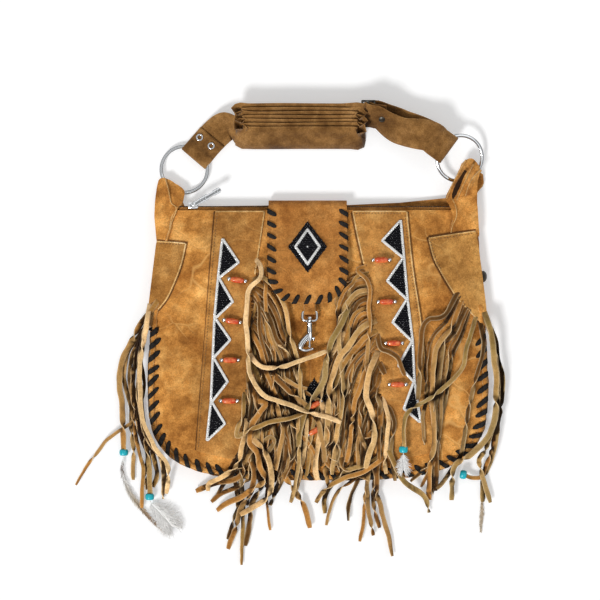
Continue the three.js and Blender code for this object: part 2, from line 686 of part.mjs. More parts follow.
function hookBody() {
  const head = rod([HOOK_X, 23.2, HOOK_Z], [HOOK_X, 26.2, HOOK_Z], 2.5, 14);
  const neck = rod([HOOK_X, 18.6, HOOK_Z], [HOOK_X, 24, HOOK_Z], NECK_RADIUS, 14);
  const tube = rod([HOOK_X, -0.6, HOOK_Z], [HOOK_X, 19.8, HOOK_Z], HOOK_TUBE_RADIUS, 16);
  const bore = rod([HOOK_X, -3, HOOK_Z], [HOOK_X, 13.8, HOOK_Z], BOLT_RADIUS + BOLT_CLEAR, 16);
  const slot = block(HOOK_X, HOOK_X + 5, 0.9, 9.6 + BOLT_CLEAR, HOOK_Z - 1, HOOK_Z + 1);
  const bill = bentRod(BILL.map(([x, y]) => new THREE.Vector3(x, y, HOOK_Z)), 1.6, 8);
  return joined([head, neck, tube, bill]).subtract(bore).subtract(slot).simplify(0.03);
}

function hookBolt() {
  const pin = rod([HOOK_X, -7.9, HOOK_Z], [HOOK_X, 7.4, HOOK_Z], BOLT_RADIUS, 14);
  const stem = rod([HOOK_X, 2, HOOK_Z], [HOOK_X + 3.4, 2, HOOK_Z], 0.8, 10);
  const knob = rod([HOOK_X + 2.9, 2, HOOK_Z], [HOOK_X + 5.4, 2, HOOK_Z], 1.9, 12);
  return joined([pin, stem, knob]);
}

add('hook_tab', hookTab(), SUEDE_PANEL);
add('hook_eye', hookEye(), CHROME);
add('hook_body', hookBody(), CHROME);
add('hook_bolt', hookBolt(), CHROME);

// Fringe: each strip leaves its panel, lies over the bag and comes to rest on the floor

// The points of a line that are needed to keep within a tolerance of it, closer in height than in plan.
function thinned(points, tolerance) {
  const first = points[0];
  const last = points[points.length - 1];
  const chord = new THREE.Line3(first, last);
  const foot = new THREE.Vector3();
  let worst = 0;
  let at = 0;
  points.forEach((p, i) => {
    chord.closestPointToPoint(p, true, foot);
    const miss = Math.max(Math.hypot(p.x - foot.x, p.y - foot.y), 3.5 * Math.abs(p.z - foot.z));
    if (miss > worst) {
      worst = miss;
      at = i;
    }
  });
  if (worst <= tolerance) return [first, last];
  return [...thinned(points.slice(0, at + 1), tolerance), ...thinned(points.slice(at), tolerance).slice(1)];
}

// Height of the middle of a strip of some layer over the bag, and of the layer it lands in on the floor.
function stripHeight(x, y, level, land) {
  const away = smooth((outside(x, y) + 2) / (SHOULDER_RUN + 14));
  const over = STRIP_CLEAR + level * STRIP_LAYER;
  return drapeHeight(x, y) + mix(over, FLOOR_CLEAR + STRIP_THICK / 2 + land * STRIP_LAYER, away);
}

function strip({ layer: level, land, path }) {
  const flat = new THREE.CatmullRomCurve3(path.map(([x, y]) => new THREE.Vector3(x, y, 0)), false, 'centripetal');
  const length = flat.getLength();
  const dense = flat.getSpacedPoints(Math.ceil(length / 4)).map((p, i, all) => {
    const root = smooth((i / (all.length - 1)) * length / ROOT_RUN);
    const low = gridHeight(p.x, p.y) + ROOT_LIFT;
    return p.clone().setZ(mix(low, stripHeight(p.x, p.y, level, land), root));
  });
  const points = thinned(dense, STRIP_TOLERANCE);
  const up = new THREE.Vector3(0, 0, 1);
  const widths = points.map((p, i) => {
    const ahead = points[Math.min(i + 1, points.length - 1)];
    const behind = points[Math.max(i - 1, 0)];
    return ahead.clone().sub(behind).cross(up).normalize();
  });
  return ribbon(points, widths, STRIP_WIDE, STRIP_THICK);
}

function fringedPanel(points, strips) {
  const sheet = sheetOn(frontHeight, points, OVERLAY_LIFT, OVERLAY_LIFT + LEATHER);
  return mainPiece(joined([sheet, ...strips.map(strip)]).simplify(0.12));
}

const STRIPS_LEFT = [
  { layer: 5, land: 5, path: [
    [-69.3, 89.1], [-62.7, 81.4], [-62.7, 69.3], [-74.8, 55.0], [-78.1, 33.0], [-77.6, 11.0],
    [-75.9, -13.2], [-73.7, -38.5], [-61.6, -58.3], [-44.0, -66.0], [-19.8, -74.8], [4.4, -82.5],
    [25.3, -90.2],
  ] },
  { layer: 0, land: 0, path: [
    [-72.6, 52.8], [-67.1, 44.0], [-71.5, 24.2], [-73.7, 5.5], [-70.4, -13.2], [-66.0, -38.5],
    [-68.2, -66.0], [-71.5, -88.0], [-72.6, -104.5], [-78.1, -123.2], [-84.7, -143.0], [-85.8, -165.0],
    [-88.0, -184.8],
  ] },
  { layer: 1, land: 1, path: [
    [-72.6, 44.0], [-61.6, 39.6], [-52.8, 24.2], [-46.2, 4.4], [-37.4, -13.2], [-33.0, -35.2],
    [-35.2, -59.4], [-36.3, -75.9], [-40.7, -94.6], [-36.3, -114.4], [-37.4, -134.2], [-44.0, -156.2],
    [-52.8, -182.6],
  ] },
  { layer: 2, land: 2, path: [
    [-71.5, 66.0], [-59.4, 68.2], [-46.2, 52.8], [-35.2, 31.9], [-31.9, 8.8], [-25.3, -14.3],
    [-20.4, -33.0], [-19.8, -52.8], [-20.9, -71.5], [-22.0, -93.5], [-20.9, -121.0], [-22.0, -143.0],
    [-25.3, -162.8], [-29.7, -180.4],
  ] },
  { layer: 5, land: 5, path: [
    [-75.9, -11.0], [-70.4, -22.0], [-59.4, -29.7], [-40.7, -27.5], [-19.8, -22.0], [8.8, -12.1],
  ] },
  { layer: 4, land: 4, path: [
    [-80.3, -57.2], [-81.4, -66.0], [-82.5, -82.5], [-88.0, -96.8], [-88.0, -105.6], [-73.7, -96.8],
    [-53.9, -90.2], [-33.0, -84.7], [-16.5, -80.3],
  ] },
  { layer: 1, land: 3, path: [
    [-78.1, -52.8], [-71.5, -66.0], [-73.0, -82.5], [-72.6, -101.2], [-68.2, -112.2], [-60.5, -113.3],
    [-52.8, -105.6], [-47.3, -110.0], [-55.0, -123.2], [-62.7, -127.6],
  ] },
  { layer: 3, land: 3, path: [
    [-77.0, -66.0], [-57.2, -68.2], [-63.8, -80.3], [-72.6, -92.4], [-74.8, -110.0], [-67.1, -123.2],
    [-63.8, -138.6], [-58.3, -152.9], [-72.6, -163.9], [-84.7, -172.7], [-100.1, -180.4],
    [-111.8, -187.9],
  ] },
  { layer: 0, land: 1, path: [
    [-77.0, -35.2], [-75.9, -66.0], [-82.5, -106.7], [-84.7, -130.9], [-85.8, -154.0], [-82.5, -179.3],
    [-83.6, -203.5], [-84.4, -227.7], [-85.1, -248.6],
  ] },
  { layer: 2, land: 2, path: [
    [-75.9, -44.0], [-66.0, -70.4], [-68.2, -99.0], [-72.6, -118.8], [-80.3, -134.2], [-86.9, -149.6],
    [-112.2, -158.4], [-135.3, -167.2],
  ] },
  { layer: 0, land: 1, path: [
    [-79.2, -90.2], [-78.1, -115.5], [-88.0, -127.6], [-94.1, -141.9], [-90.2, -162.8],
    [-88.0, -184.8],
  ] },
  { layer: 1, land: 1, path: [
    [-80.3, -107.8], [-70.4, -134.2], [-61.6, -159.5], [-71.5, -179.3], [-75.9, -203.5],
    [-79.5, -228.1],
  ] },
  { layer: 2, land: 2, path: [
    [-81.4, -116.6], [-70.4, -143.0], [-74.8, -167.2], [-85.8, -189.2], [-92.4, -211.2],
    [-99.7, -230.6],
  ] },
  { layer: 3, land: 3, path: [
    [-79.2, -99.0], [-59.4, -123.2], [-50.6, -147.4], [-53.9, -170.5], [-69.9, -182.6],
    [-85.8, -192.5],
  ] },
  { layer: 1, land: 2, path: [
    [-80.3, -110.0], [-57.2, -127.6], [-41.8, -143.0], [-33.0, -155.1], [-24.2, -170.5],
    [-16.5, -183.7], [-11.0, -200.2], [-8.8, -207.9],
  ] },
  { layer: 0, land: 1, path: [
    [-72.6, 24.2], [-61.6, 13.2], [-57.2, -5.5], [-50.6, -24.2], [-46.2, -48.4], [-48.4, -71.5],
    [-50.6, -93.5], [-47.3, -110.0], [-52.8, -128.7], [-57.2, -148.5],
  ] },
  { layer: 3, land: 3, path: [
    [-78.1, -77.0], [-79.2, -99.0], [-83.6, -118.8], [-88.0, -134.2], [-99.0, -147.4],
    [-118.8, -157.3], [-121.0, -167.2],
  ] },
  { layer: 0, land: 1, path: [
    [-71.5, 59.4], [-57.2, 46.2], [-44.0, 24.2], [-37.4, 0.0], [-28.6, -24.2], [-23.1, -44.0],
    [-23.1, -66.0], [-26.4, -88.0], [-24.2, -110.0], [-23.1, -134.2],
  ] },
];
const STRIPS_RIGHT = [
  { layer: 1, land: 3, path: [
    [53.9, 81.4], [42.9, 77.0], [52.8, 66.0], [57.2, 52.8], [56.1, 34.1], [56.1, 8.8], [53.9, -11.0],
    [50.6, -33.0], [47.3, -57.2], [45.1, -82.5], [46.2, -97.9], [42.9, -118.8], [44.8, -138.6],
    [50.6, -149.6],
  ] },
  { layer: 0, land: 0, path: [
    [57.2, 70.4], [37.4, 67.1], [25.3, 58.3], [20.9, 42.9], [22.0, 22.0], [20.4, 4.4], [13.2, -9.9],
    [7.7, -22.0], [6.6, -35.2], [9.9, -48.4], [12.1, -66.0], [12.1, -88.0], [11.0, -110.0],
    [6.6, -129.8],
  ] },
  { layer: 1, land: 1, path: [
    [58.3, 63.8], [42.9, 61.6], [34.1, 52.8], [27.5, 39.6], [24.2, 19.8], [22.6, -5.5], [19.8, -33.0],
    [15.4, -60.5], [13.2, -88.0], [15.4, -107.8], [11.0, -124.3], [11.0, -135.3], [20.6, -143.4],
  ] },
  { layer: 2, land: 2, path: [
    [59.4, 56.1], [41.8, 51.7], [31.9, 40.7], [25.3, 22.0], [23.4, 0.0], [25.3, -24.2], [27.5, -49.5],
    [25.3, -77.0], [20.9, -99.0], [17.6, -123.2], [16.5, -148.5],
  ] },
  { layer: 0, land: 0, path: [
    [58.9, 47.3], [44.0, 40.7], [36.3, 26.4], [38.5, 11.0], [34.1, -11.0], [30.8, -38.5],
    [29.7, -66.0], [30.8, -93.5], [27.5, -121.0], [25.3, -145.2],
  ] },
  { layer: 1, land: 3, path: [
    [62.7, 30.8], [47.3, 27.5], [39.6, 15.4], [37.4, -5.5], [37.4, -27.5], [35.2, -49.5],
    [31.9, -66.0], [36.3, -82.5], [30.3, -106.7], [24.2, -127.6], [28.6, -141.9], [41.8, -148.5],
    [56.9, -154.8],
  ] },
  { layer: 3, land: 3, path: [
    [63.8, 22.0], [50.6, 16.5], [41.8, 6.6], [33.0, -6.6], [22.0, -22.0], [15.4, -41.8], [12.1, -59.4],
    [11.0, -82.5], [11.0, -101.2], [8.8, -116.6],
  ] },
  { layer: 2, land: 2, path: [
    [64.9, 11.0], [49.5, 2.2], [38.5, -11.0], [26.4, -28.6], [18.7, -46.2], [15.4, -63.8],
    [12.1, -79.2], [11.0, -96.8], [8.8, -112.2],
  ] },
  { layer: 2, land: 2, path: [
    [66.0, -19.8], [51.7, -34.1], [46.2, -51.7], [39.6, -70.4], [37.4, -92.4], [35.2, -114.4],
    [30.8, -134.2],
  ] },
  { layer: 1, land: 2, path: [
    [67.1, -35.2], [64.9, -48.4], [55.0, -60.5], [47.3, -74.8], [46.2, -93.5], [49.5, -110.0],
    [59.3, -130.9], [63.8, -149.6], [64.1, -169.4], [69.3, -183.7], [77.0, -215.6], [82.7, -238.7],
  ] },
  { layer: 3, land: 3, path: [[67.1, -24.2], [70.4, -30.8], [72.6, -37.4]] },
  { layer: 3, land: 2, path: [
    [64.9, 6.6], [68.2, -7.7], [75.9, -12.7], [85.8, -18.7], [91.3, -29.7], [94.6, -38.5],
  ] },
  { layer: 0, land: 1, path: [
    [68.2, -60.5], [58.3, -79.2], [56.1, -101.2], [53.9, -126.5], [54.5, -156.2], [51.3, -179.3],
    [49.5, -201.3], [46.2, -222.5],
  ] },
  { layer: 2, land: 4, path: [[69.3, -68.2], [67.1, -92.4], [59.4, -100.1], [51.3, -106.7]] },
  { layer: 0, land: 0, path: [
    [70.4, -79.2], [69.3, -99.0], [67.1, -122.1], [64.9, -143.0], [60.5, -165.0], [61.6, -185.9],
    [69.0, -207.9],
  ] },
  { layer: 1, land: 1, path: [
    [70.4, -70.4], [78.1, -74.8], [82.5, -85.8], [81.8, -99.0], [80.3, -118.8], [82.5, -138.6],
    [83.6, -155.1],
  ] },
  { layer: 2, land: 2, path: [
    [73.7, -110.0], [80.3, -126.5], [86.9, -143.0], [96.4, -156.2], [110.0, -167.2], [118.8, -176.0],
    [122.5, -191.4],
  ] },
  { layer: 0, land: 2, path: [
    [74.8, -121.0], [57.2, -138.6], [37.4, -156.2], [23.1, -166.1], [13.2, -188.1], [8.8, -204.6],
  ] },
  { layer: 1, land: 1, path: [
    [75.9, -123.2], [52.8, -136.4], [28.6, -146.3], [15.4, -159.5], [7.2, -176.0], [7.7, -191.8],
  ] },
  { layer: 3, land: 4, path: [
    [66.0, -11.0], [56.1, -35.2], [52.8, -59.4], [59.4, -81.4], [61.6, -105.6], [56.1, -123.2],
    [52.8, -140.8],
  ] },
];
const STRIPS_SIDE_LEFT = [
  { layer: 2, land: 2.8, path: [
    [-176.0, 44.0], [-184.8, 29.7], [-195.8, 16.5], [-205.7, 0.0], [-214.0, -17.6], [-218.9, -34.1],
    [-218.9, -50.6], [-216.7, -69.3], [-215.6, -93.5], [-215.1, -110.0], [-214.5, -126.5],
  ] },
  { layer: 1, land: 1, path: [
    [-179.3, 37.4], [-187.0, 19.8], [-198.0, 3.3], [-207.9, -11.0], [-212.9, -24.2], [-214.0, -41.8],
    [-211.2, -59.4], [-206.8, -75.9], [-206.3, -93.5], [-205.2, -117.7], [-203.5, -154.6],
  ] },
  { layer: 0, land: 2, path: [
    [-181.5, 30.8], [-189.2, 11.0], [-194.7, -11.0], [-201.9, -29.7], [-204.1, -46.2], [-206.3, -60.5],
    [-204.6, -79.2], [-201.3, -101.2], [-196.9, -125.4], [-192.5, -146.3], [-194.7, -169.4],
    [-194.7, -185.9],
  ] },
  { layer: 0, land: 3, path: [
    [-183.7, 28.6], [-192.5, 5.5], [-194.7, -13.2], [-192.5, -35.2], [-191.4, -55.0], [-194.7, -68.2],
    [-201.3, -80.3], [-206.8, -92.4], [-222.2, -103.4], [-237.1, -114.4], [-249.7, -132.0],
    [-267.6, -159.5],
  ] },
  { layer: 3, land: 2.8, path: [
    [-183.7, 30.8], [-193.6, -5.5], [-195.8, -33.0], [-194.7, -60.5], [-192.5, -88.0],
    [-188.1, -111.1], [-187.0, -133.1], [-186.5, -154.0], [-185.9, -176.0],
  ] },
  { layer: 4, land: 1, path: [
    [-184.8, 30.8], [-194.7, -11.0], [-196.4, -44.0], [-194.7, -77.0], [-189.2, -101.2],
    [-181.5, -123.2], [-178.2, -146.3], [-181.5, -162.8],
  ] },
  { layer: 5, land: 0, path: [
    [-184.8, 35.2], [-194.7, -22.0], [-196.9, -55.0], [-192.5, -88.0], [-184.8, -110.0],
    [-173.8, -127.6], [-170.5, -149.6], [-171.6, -176.0],
  ] },
  { layer: 6, land: 3, path: [
    [-184.8, 39.6], [-194.7, -27.5], [-196.4, -60.5], [-190.3, -93.5], [-179.3, -116.6],
    [-167.2, -134.2], [-165.0, -151.8], [-168.3, -170.5],
  ] },
];
const STRIPS_SIDE_RIGHT = [
  { layer: 3, land: 3, path: [
    [154.0, 52.8], [137.5, 27.5], [121.0, 23.1], [113.9, 12.1], [111.1, -17.6], [110.0, -41.8],
    [108.9, -64.9],
  ] },
  { layer: 2, land: 1, path: [
    [158.4, 44.0], [145.2, 13.2], [130.9, -6.6], [126.5, -24.2], [125.4, -46.2], [125.1, -67.1],
    [127.6, -92.4], [126.5, -116.6], [122.5, -138.6], [122.5, -176.6],
  ] },
  { layer: 1, land: 2, path: [
    [162.8, 37.4], [148.5, 7.7], [137.5, -7.7], [133.1, -37.4], [130.0, -67.1], [129.5, -104.5],
    [129.8, -134.2], [130.0, -166.7],
  ] },
  { layer: 0, land: 0, path: [
    [167.2, 34.1], [156.2, 2.2], [148.5, -17.6], [143.0, -41.8], [139.7, -62.7], [135.3, -92.4],
    [132.0, -116.6], [124.3, -134.2], [114.4, -145.2], [102.3, -156.2],
  ] },
  { layer: 4, land: 4, path: [
    [173.8, 26.4], [162.8, -6.6], [159.5, -27.5], [143.0, -47.3], [117.7, -66.0], [99.0, -79.2],
    [93.5, -93.5], [93.5, -107.8], [93.5, -122.1],
  ] },
  { layer: 2, land: 3, path: [
    [178.2, 23.1], [181.0, -2.2], [179.3, -22.0], [172.4, -47.3], [165.0, -71.5], [161.2, -104.5],
    [155.1, -129.8], [142.5, -149.6], [132.0, -165.0],
  ] },
  { layer: 1, land: 2.8, path: [
    [183.7, 23.1], [194.7, -5.5], [199.1, -24.2], [201.3, -41.8], [199.1, -66.0], [195.8, -88.0],
    [193.6, -110.0], [188.1, -132.0], [182.3, -149.6], [171.6, -151.8], [159.0, -148.0],
  ] },
  { layer: 3, land: 1, path: [
    [184.8, 23.1], [193.6, 2.2], [198.0, -17.6], [203.5, -41.8], [202.4, -68.2], [199.1, -92.4],
    [195.8, -114.4], [189.2, -138.6], [182.6, -154.0], [182.3, -179.3],
  ] },
  { layer: 5, land: 3, path: [
    [182.6, 26.4], [191.4, 4.4], [195.8, -22.0], [198.0, -49.5], [196.9, -77.0], [191.4, -101.2],
    [184.8, -121.0], [177.1, -134.2], [184.8, -161.7], [189.8, -180.4],
  ] },
  { layer: 6, land: 4, path: [
    [182.6, 30.8], [190.3, 6.6], [194.2, -22.0], [195.8, -52.8], [193.6, -82.5], [187.0, -105.6],
    [171.6, -121.0], [150.7, -136.4], [148.5, -156.2], [147.4, -176.6],
  ] },
];

const PANEL_LEFT = [
  [-113.3, 142], [-58.3, 142], [-66, 92], [-69, 60], [-71, 0], [-73, -60], [-77, -110], [-80, -134], [-134, -122],
];
const PANEL_RIGHT = [
  [37.4, 142], [98, 142], [104, 80], [113, 20], [119, -40], [128, -90], [133, -122], [72, -134],
  [66, -100], [62, -40], [60, 0], [56, 50], [50, 82],
];
const SIDE_LEFT = [
  [-178, 109], [-144.9, 106.7], [-150, 84], [-157.8, 63], [-166, 45.5], [-176, 33], [-184.5, 24], [-186.5, 40],
];
const SIDE_RIGHT = [
  [121, 112.2], [174, 120.4], [180, 80], [185, 40], [187, 16], [183, 16], [175.5, 21.4], [165.7, 31.9], [153.5, 44.6],
  [142.6, 61], [133.7, 76.4], [127, 89.7],
];

add('beaded_panel_left', fringedPanel(PANEL_LEFT, STRIPS_LEFT), SUEDE_FRINGE);
add('beaded_panel_right', fringedPanel(PANEL_RIGHT, STRIPS_RIGHT), SUEDE_FRINGE);
add('side_overlay_left', fringedPanel(SIDE_LEFT, STRIPS_SIDE_LEFT), SUEDE_FRINGE);
add('side_overlay_right', fringedPanel(SIDE_RIGHT, STRIPS_SIDE_RIGHT), SUEDE_FRINGE);

// The lacing round the body, on top of the front panel's seam

function bodyLacing() {
  const line = (inset) => outline(inset, LACING_TOP_Y, 5, 30).map((p) => [p.x, p.y]);
  const edges = [line(SEAM_INSET - CORD_SIZE), line(SEAM_INSET + 0.4)];
  return lacing(gridHeight, edges, line(SEAM_INSET + STITCH_REACH), STITCH_PITCH, 0, STITCH_LIFT);
}

add('body_lacing', bodyLacing(), LACE);

// Beadwork on the two panels

const ZIGZAG_LEFT = [
  [-104.4, 110.5], [-87.2, 85.2], [-108.7, 68.3], [-93.5, 42.1], [-112.7, 24], [-96.2, 0.4], [-114.5, -19.2],
  [-99.1, -45.4], [-116.5, -67.5], [-102.1, -91.5], [-121.1, -109.6],
];
const ZIGZAG_RIGHT = [
  [90.2, 130.9], [70.6, 109.2], [93.4, 90.3], [75.7, 65], [97.1, 44.9], [81.6, 19.8], [102.8, -1.1], [88, -27.5],
  [104.8, -45.4], [94, -74.8], [111.4, -89.5],
];

// The same line moved sideways, for the edge of a row of beads.
function beside(points, offset) {
  return points.map((p, i) => {
    const before = points[Math.max(i - 1, 0)];
    const after = points[Math.min(i + 1, points.length - 1)];
    const a = new THREE.Vector2(p[0] - before[0], p[1] - before[1]);
    const b = new THREE.Vector2(after[0] - p[0], after[1] - p[1]);
    if (i === 0) a.copy(b);
    if (i === points.length - 1) b.copy(a);
    const na = new THREE.Vector2(-a.y, a.x).normalize();
    const nb = new THREE.Vector2(-b.y, b.x).normalize();
    const along = na.clone().add(nb).normalize();
    const reach = offset / Math.max(0.45, along.dot(na));
    return [p[0] + along.x * reach, p[1] + along.y * reach];
  });
}

// side is +1 where the straight edge is on the left of the zigzag, -1 on its right.
function zigzag(name, points, side) {
  const straight = points.filter((p, i) => i % 2 === 0);
  const backEdge = beside(straight, -side * (WHITE_LINE + 0.4));
  const whole = [...beside(points, side * WHITE_LINE * 0.5), ...backEdge.slice().reverse()];
  const holes = [];
  for (let i = 0; i + 2 < points.length; i += 2) {
    const corner = [points[i], points[i + 1], points[i + 2]];
    const middle = corner.reduce((sum, p) => [sum[0] + p[0] / 3, sum[1] + p[1] / 3], [0, 0]);
    const shrink = (share) => corner.map((p) => [mix(p[0], middle[0], share), mix(p[1], middle[1], share)]);
    holes.push(shrink(0.16));
  }
  const low = OVERLAY_LIFT + LEATHER + GAP;
  const top = low + BEAD_THICK / 2 + GAP;
  const ground = [...points, ...beside(straight, -side * WHITE_LINE * 0.6).reverse()];
  add(`${name}_ground`, sheetOn(frontHeight, ground, low, low + BEAD_THICK / 2), BLACK_BEAD);
  add(`${name}_line`, sheetOn(frontHeight, whole, top, top + BEAD_THICK / 2, holes), WHITE_BEAD);
}

zigzag('zigzag_left', ZIGZAG_LEFT, 1);
zigzag('zigzag_right', ZIGZAG_RIGHT, -1);

const LOWER_DIAMOND = { x: -4.4, y: -63.8, halfX: 15.4, halfY: 22 };
{
  const { x, y, halfX, halfY } = LOWER_DIAMOND;
  add('lower_diamond', sheetOn(frontHeight, diamond(x, y, halfX, halfY), GAP, GAP + BEAD_THICK), BLACK_BEAD);
}

// A long orange bead with a silver ball at each end, threaded on one piece
function tubeBead(name, x, y, angle, under) {
  const half = TUBE_BEAD_LENGTH / 2;
  const profile = [[0, -half], [TUBE_BEAD_RADIUS * 0.6, -half], [TUBE_BEAD_RADIUS, -half * 0.6],
    [TUBE_BEAD_RADIUS, half * 0.6], [TUBE_BEAD_RADIUS * 0.6, half], [0, half]];
  const tube = new THREE.LatheGeometry(profile.map(([r, h]) => new THREE.Vector2(r, h)), 8);
  const parts = [solid(tube)];
  for (const side of [-1, 1]) {
    const ball = new THREE.SphereGeometry(BALL_RADIUS, 7, 5);
    ball.translate(0, side * (half + BALL_RADIUS * 0.85), 0);
    parts.push(solid(ball));
  }
  const z = gridHeight(x, y) + under + TUBE_BEAD_RADIUS + GAP + 0.25;
  const turn = 90 + angle;
  add(name, joined(parts).rotate([0, 0, turn]).translate([x, y, z]), ORANGE_BEAD);
}

const ON_PANEL = OVERLAY_LIFT + LEATHER;
const TUBE_BEADS = [
  ['bead_left_1', -88.4, 65.8, -8], ['bead_left_2', -94, 20.8, -8], ['bead_left_3', -96.3, -21.8, 0],
  ['bead_left_4', -97.4, -66.4, 0], ['bead_right_1', 69.3, 87.8, 0], ['bead_right_2', 74.8, 42, 0],
  ['bead_right_3', 82.9, -3.2, 0], ['bead_right_4', 86.9, -48.4, 0],
];
for (const [name, x, y, angle] of TUBE_BEADS) tubeBead(name, x, y, angle, ON_PANEL);

const ON_DIAMOND = GAP + BEAD_THICK;
tubeBead('bead_lower_1', -4.4, -71.1, 32, ON_DIAMOND);
tubeBead('bead_lower_2', -3.3, -99, 32, 0);

// A domed stud on the bag's right side
function sideStud() {
  const y = 69.9;
  const x = halfWidth(y) + 0.6;
  const profile = [[0, 0], [6.4, 0], [6.4, 0.8], [5.2, 1.9], [3, 2.8], [0, 3.2]];
  const geometry = new THREE.LatheGeometry(profile.map(([r, h]) => new THREE.Vector2(r, h)), 16);
  geometry.rotateZ(-Math.PI / 2);
  geometry.translate(x, y, 7);
  return solid(geometry);
}

add('side_stud', sideStud(), DARK_METAL);

// Round beads on the ends of four strips, each with a feather

function ponyBead(centre, heading) {
  const half = PONY_LENGTH / 2;
  const profile = [[PONY_HOLE, -half], [PONY_RADIUS - 1.2, -half], [PONY_RADIUS, -half * 0.5],
    [PONY_RADIUS, half * 0.5], [PONY_RADIUS - 1.2, half], [PONY_HOLE, half], [PONY_HOLE, -half]];
  const geometry = new THREE.LatheGeometry(profile.map(([r, h]) => new THREE.Vector2(r, h)), 16);
  geometry.rotateZ(-Math.PI / 2 + heading);
  geometry.translate(...centre);
  return solid(geometry);
}

// A flat feather: a quill and a vane, of a width given at each station.
function feather(path, widths, thick) {
  const points = path.map((p) => new THREE.Vector3(...p));
  const position = [];
  const count = points.length;
  for (let i = 0; i < count; i++) {
    const tangent = points[Math.min(i + 1, count - 1)].clone().sub(points[Math.max(i - 1, 0)]).normalize();
    const side = new THREE.Vector3(-tangent.y, tangent.x, 0).normalize().multiplyScalar(widths[i] / 2);
    for (const [a, b] of [[1, 1], [1, -1], [-1, -1], [-1, 1]]) {
      position.push(points[i].x + a * side.x, points[i].y + a * side.y, points[i].z + (b * thick) / 2);
    }
  }
  const index = [0, 2, 1, 0, 3, 2];
  for (let i = 0; i < count - 1; i++) {
    for (let k = 0; k < 4; k++) {
      const [a, b] = [i * 4 + k, i * 4 + ((k + 1) % 4)];
      index.push(a, b, b + 4, a, b + 4, a + 4);
    }
  }
  const end = (count - 1) * 4;
  index.push(end, end + 1, end + 2, end, end + 2, end + 3);
  return solidOf(position, index);
}

const PONY_BEADS = [
  { x: -214.5, y: -124.5, layer: 2, land: 2.8, heading: -Math.PI / 2 },
  { x: -186, y: -173.5, layer: 3, land: 2.8, heading: -Math.PI / 2 },
  { x: 93.5, y: -119.6, layer: 4, land: 4, heading: -Math.PI / 2 },
  { x: 160.4, y: -148.7, layer: 1, land: 2.8, heading: Math.PI * 0.95 },
].map((bead) => ({ ...bead, z: stripHeight(bead.x, bead.y, bead.layer, bead.land) }));
PONY_BEADS.forEach(({ x, y, z, heading }, i) => {
  add(`pony_bead_${i + 1}`, ponyBead([x, y, z], heading), TURQUOISE);
});

const quillZ = PONY_BEADS.map((bead) => bead.z - QUILL_DROP);
add('feather_1', feather(
  [[-214.5, -124, quillZ[0]], [-215, -131, quillZ[0] - 0.4], [-216.8, -143, 2.2], [-213, -158, 1.6],
    [-205, -174, 1.2], [-190, -193, 1], [-171, -212, 1]],
  [1.4, 3, 9, 3, 8, 10, 2], 0.8,
), FEATHER);
add('feather_2', feather(
  [[-186, -173, quillZ[1]], [-185.4, -179.5, quillZ[1]], [-178, -187.5, 4], [-169, -197, 4.4],
    [-160, -208, 4.4], [-155, -214, 4.4]],
  [1.4, 2, 18, 29, 24, 8], 0.8,
), FEATHER);
add('feather_3', feather(
  [[93.5, -120, quillZ[2] - 0.4], [93.5, -126, quillZ[2] - 0.4], [93.5, -133, quillZ[2] - 0.6],
    [93.5, -142, quillZ[2] - 1.4], [93.5, -150, quillZ[2] - 2.4]],
  [1.4, 4, 12, 17, 8], 0.8,
), FEATHER);
add('feather_4', feather(
  [[181, -172, 0.8], [181.5, -180, 0.8], [181.5, -190, 0.8], [180.5, -204, 0.8], [180.4, -214, 0.8]],
  [1.4, 5, 8, 5, 1], 0.8,
), FEATHER);

// The rings and the tabs that hold them

// A frame at a ring: out is the way to what the ring holds, up its axis.
function ringFrame(centre, out, tilt) {
  const flat = new THREE.Vector3(out[0], out[1], 0).normalize();
  const axis = new THREE.Vector3(flat.x * Math.sin(tilt), flat.y * Math.sin(tilt), Math.cos(tilt));
  return { centre: new THREE.Vector3(...centre), axis };
}

const RING_LEFT = ringFrame([-147.7, 188.3, 4.5], [-0.51, -0.86], 0);
const RING_RIGHT = ringFrame([156.2, 200.2, 12.8], [0.6, -0.8], RING_TILT);

function ringShape({ centre, axis }, extra = 0) {
  const geometry = new THREE.TorusGeometry(RING_RADIUS, WIRE_RADIUS + extra, 6, 24);
  geometry.applyQuaternion(new THREE.Quaternion().setFromUnitVectors(new THREE.Vector3(0, 0, 1), axis));
  geometry.translate(...centre.toArray());
  return solid(geometry);
}

// Where a strip goes round a ring: stations of its middle, from one limb round to the other.
function ringLoop({ centre, axis }, towards, wide, thick) {
  const flat = new THREE.Vector3(towards[0], towards[1], 0);
  const out = flat.addScaledVector(axis, -flat.dot(axis)).normalize();
  const chord = Math.sqrt(RING_RADIUS ** 2 - (wide / 2) ** 2);
  const near = chord - WIRE_RADIUS - WIRE_CLEAR - thick / 2;
  const lift = WIRE_RADIUS + WIRE_CLEAR + thick / 2;
  const far = RING_RADIUS + WIRE_RADIUS + 0.8;
  const touch = thick * 0.46;
  const local = [
    [far + 4, -touch], [far, -lift * 0.8], [far - 3, -lift], [near + 2.2, -lift], [near + 0.6, -lift * 0.75],
    [near, -lift * 0.3], [near, lift * 0.3],
    [near + 0.6, lift * 0.75], [near + 2.2, lift], [far - 3, lift], [far, lift * 0.8], [far + 4, touch],
  ];
  const points = local.map(([u, v]) => centre.clone().addScaledVector(out, u).addScaledVector(axis, v));
  const across = new THREE.Vector3().crossVectors(axis, out).normalize();
  return { points, across, out };
}

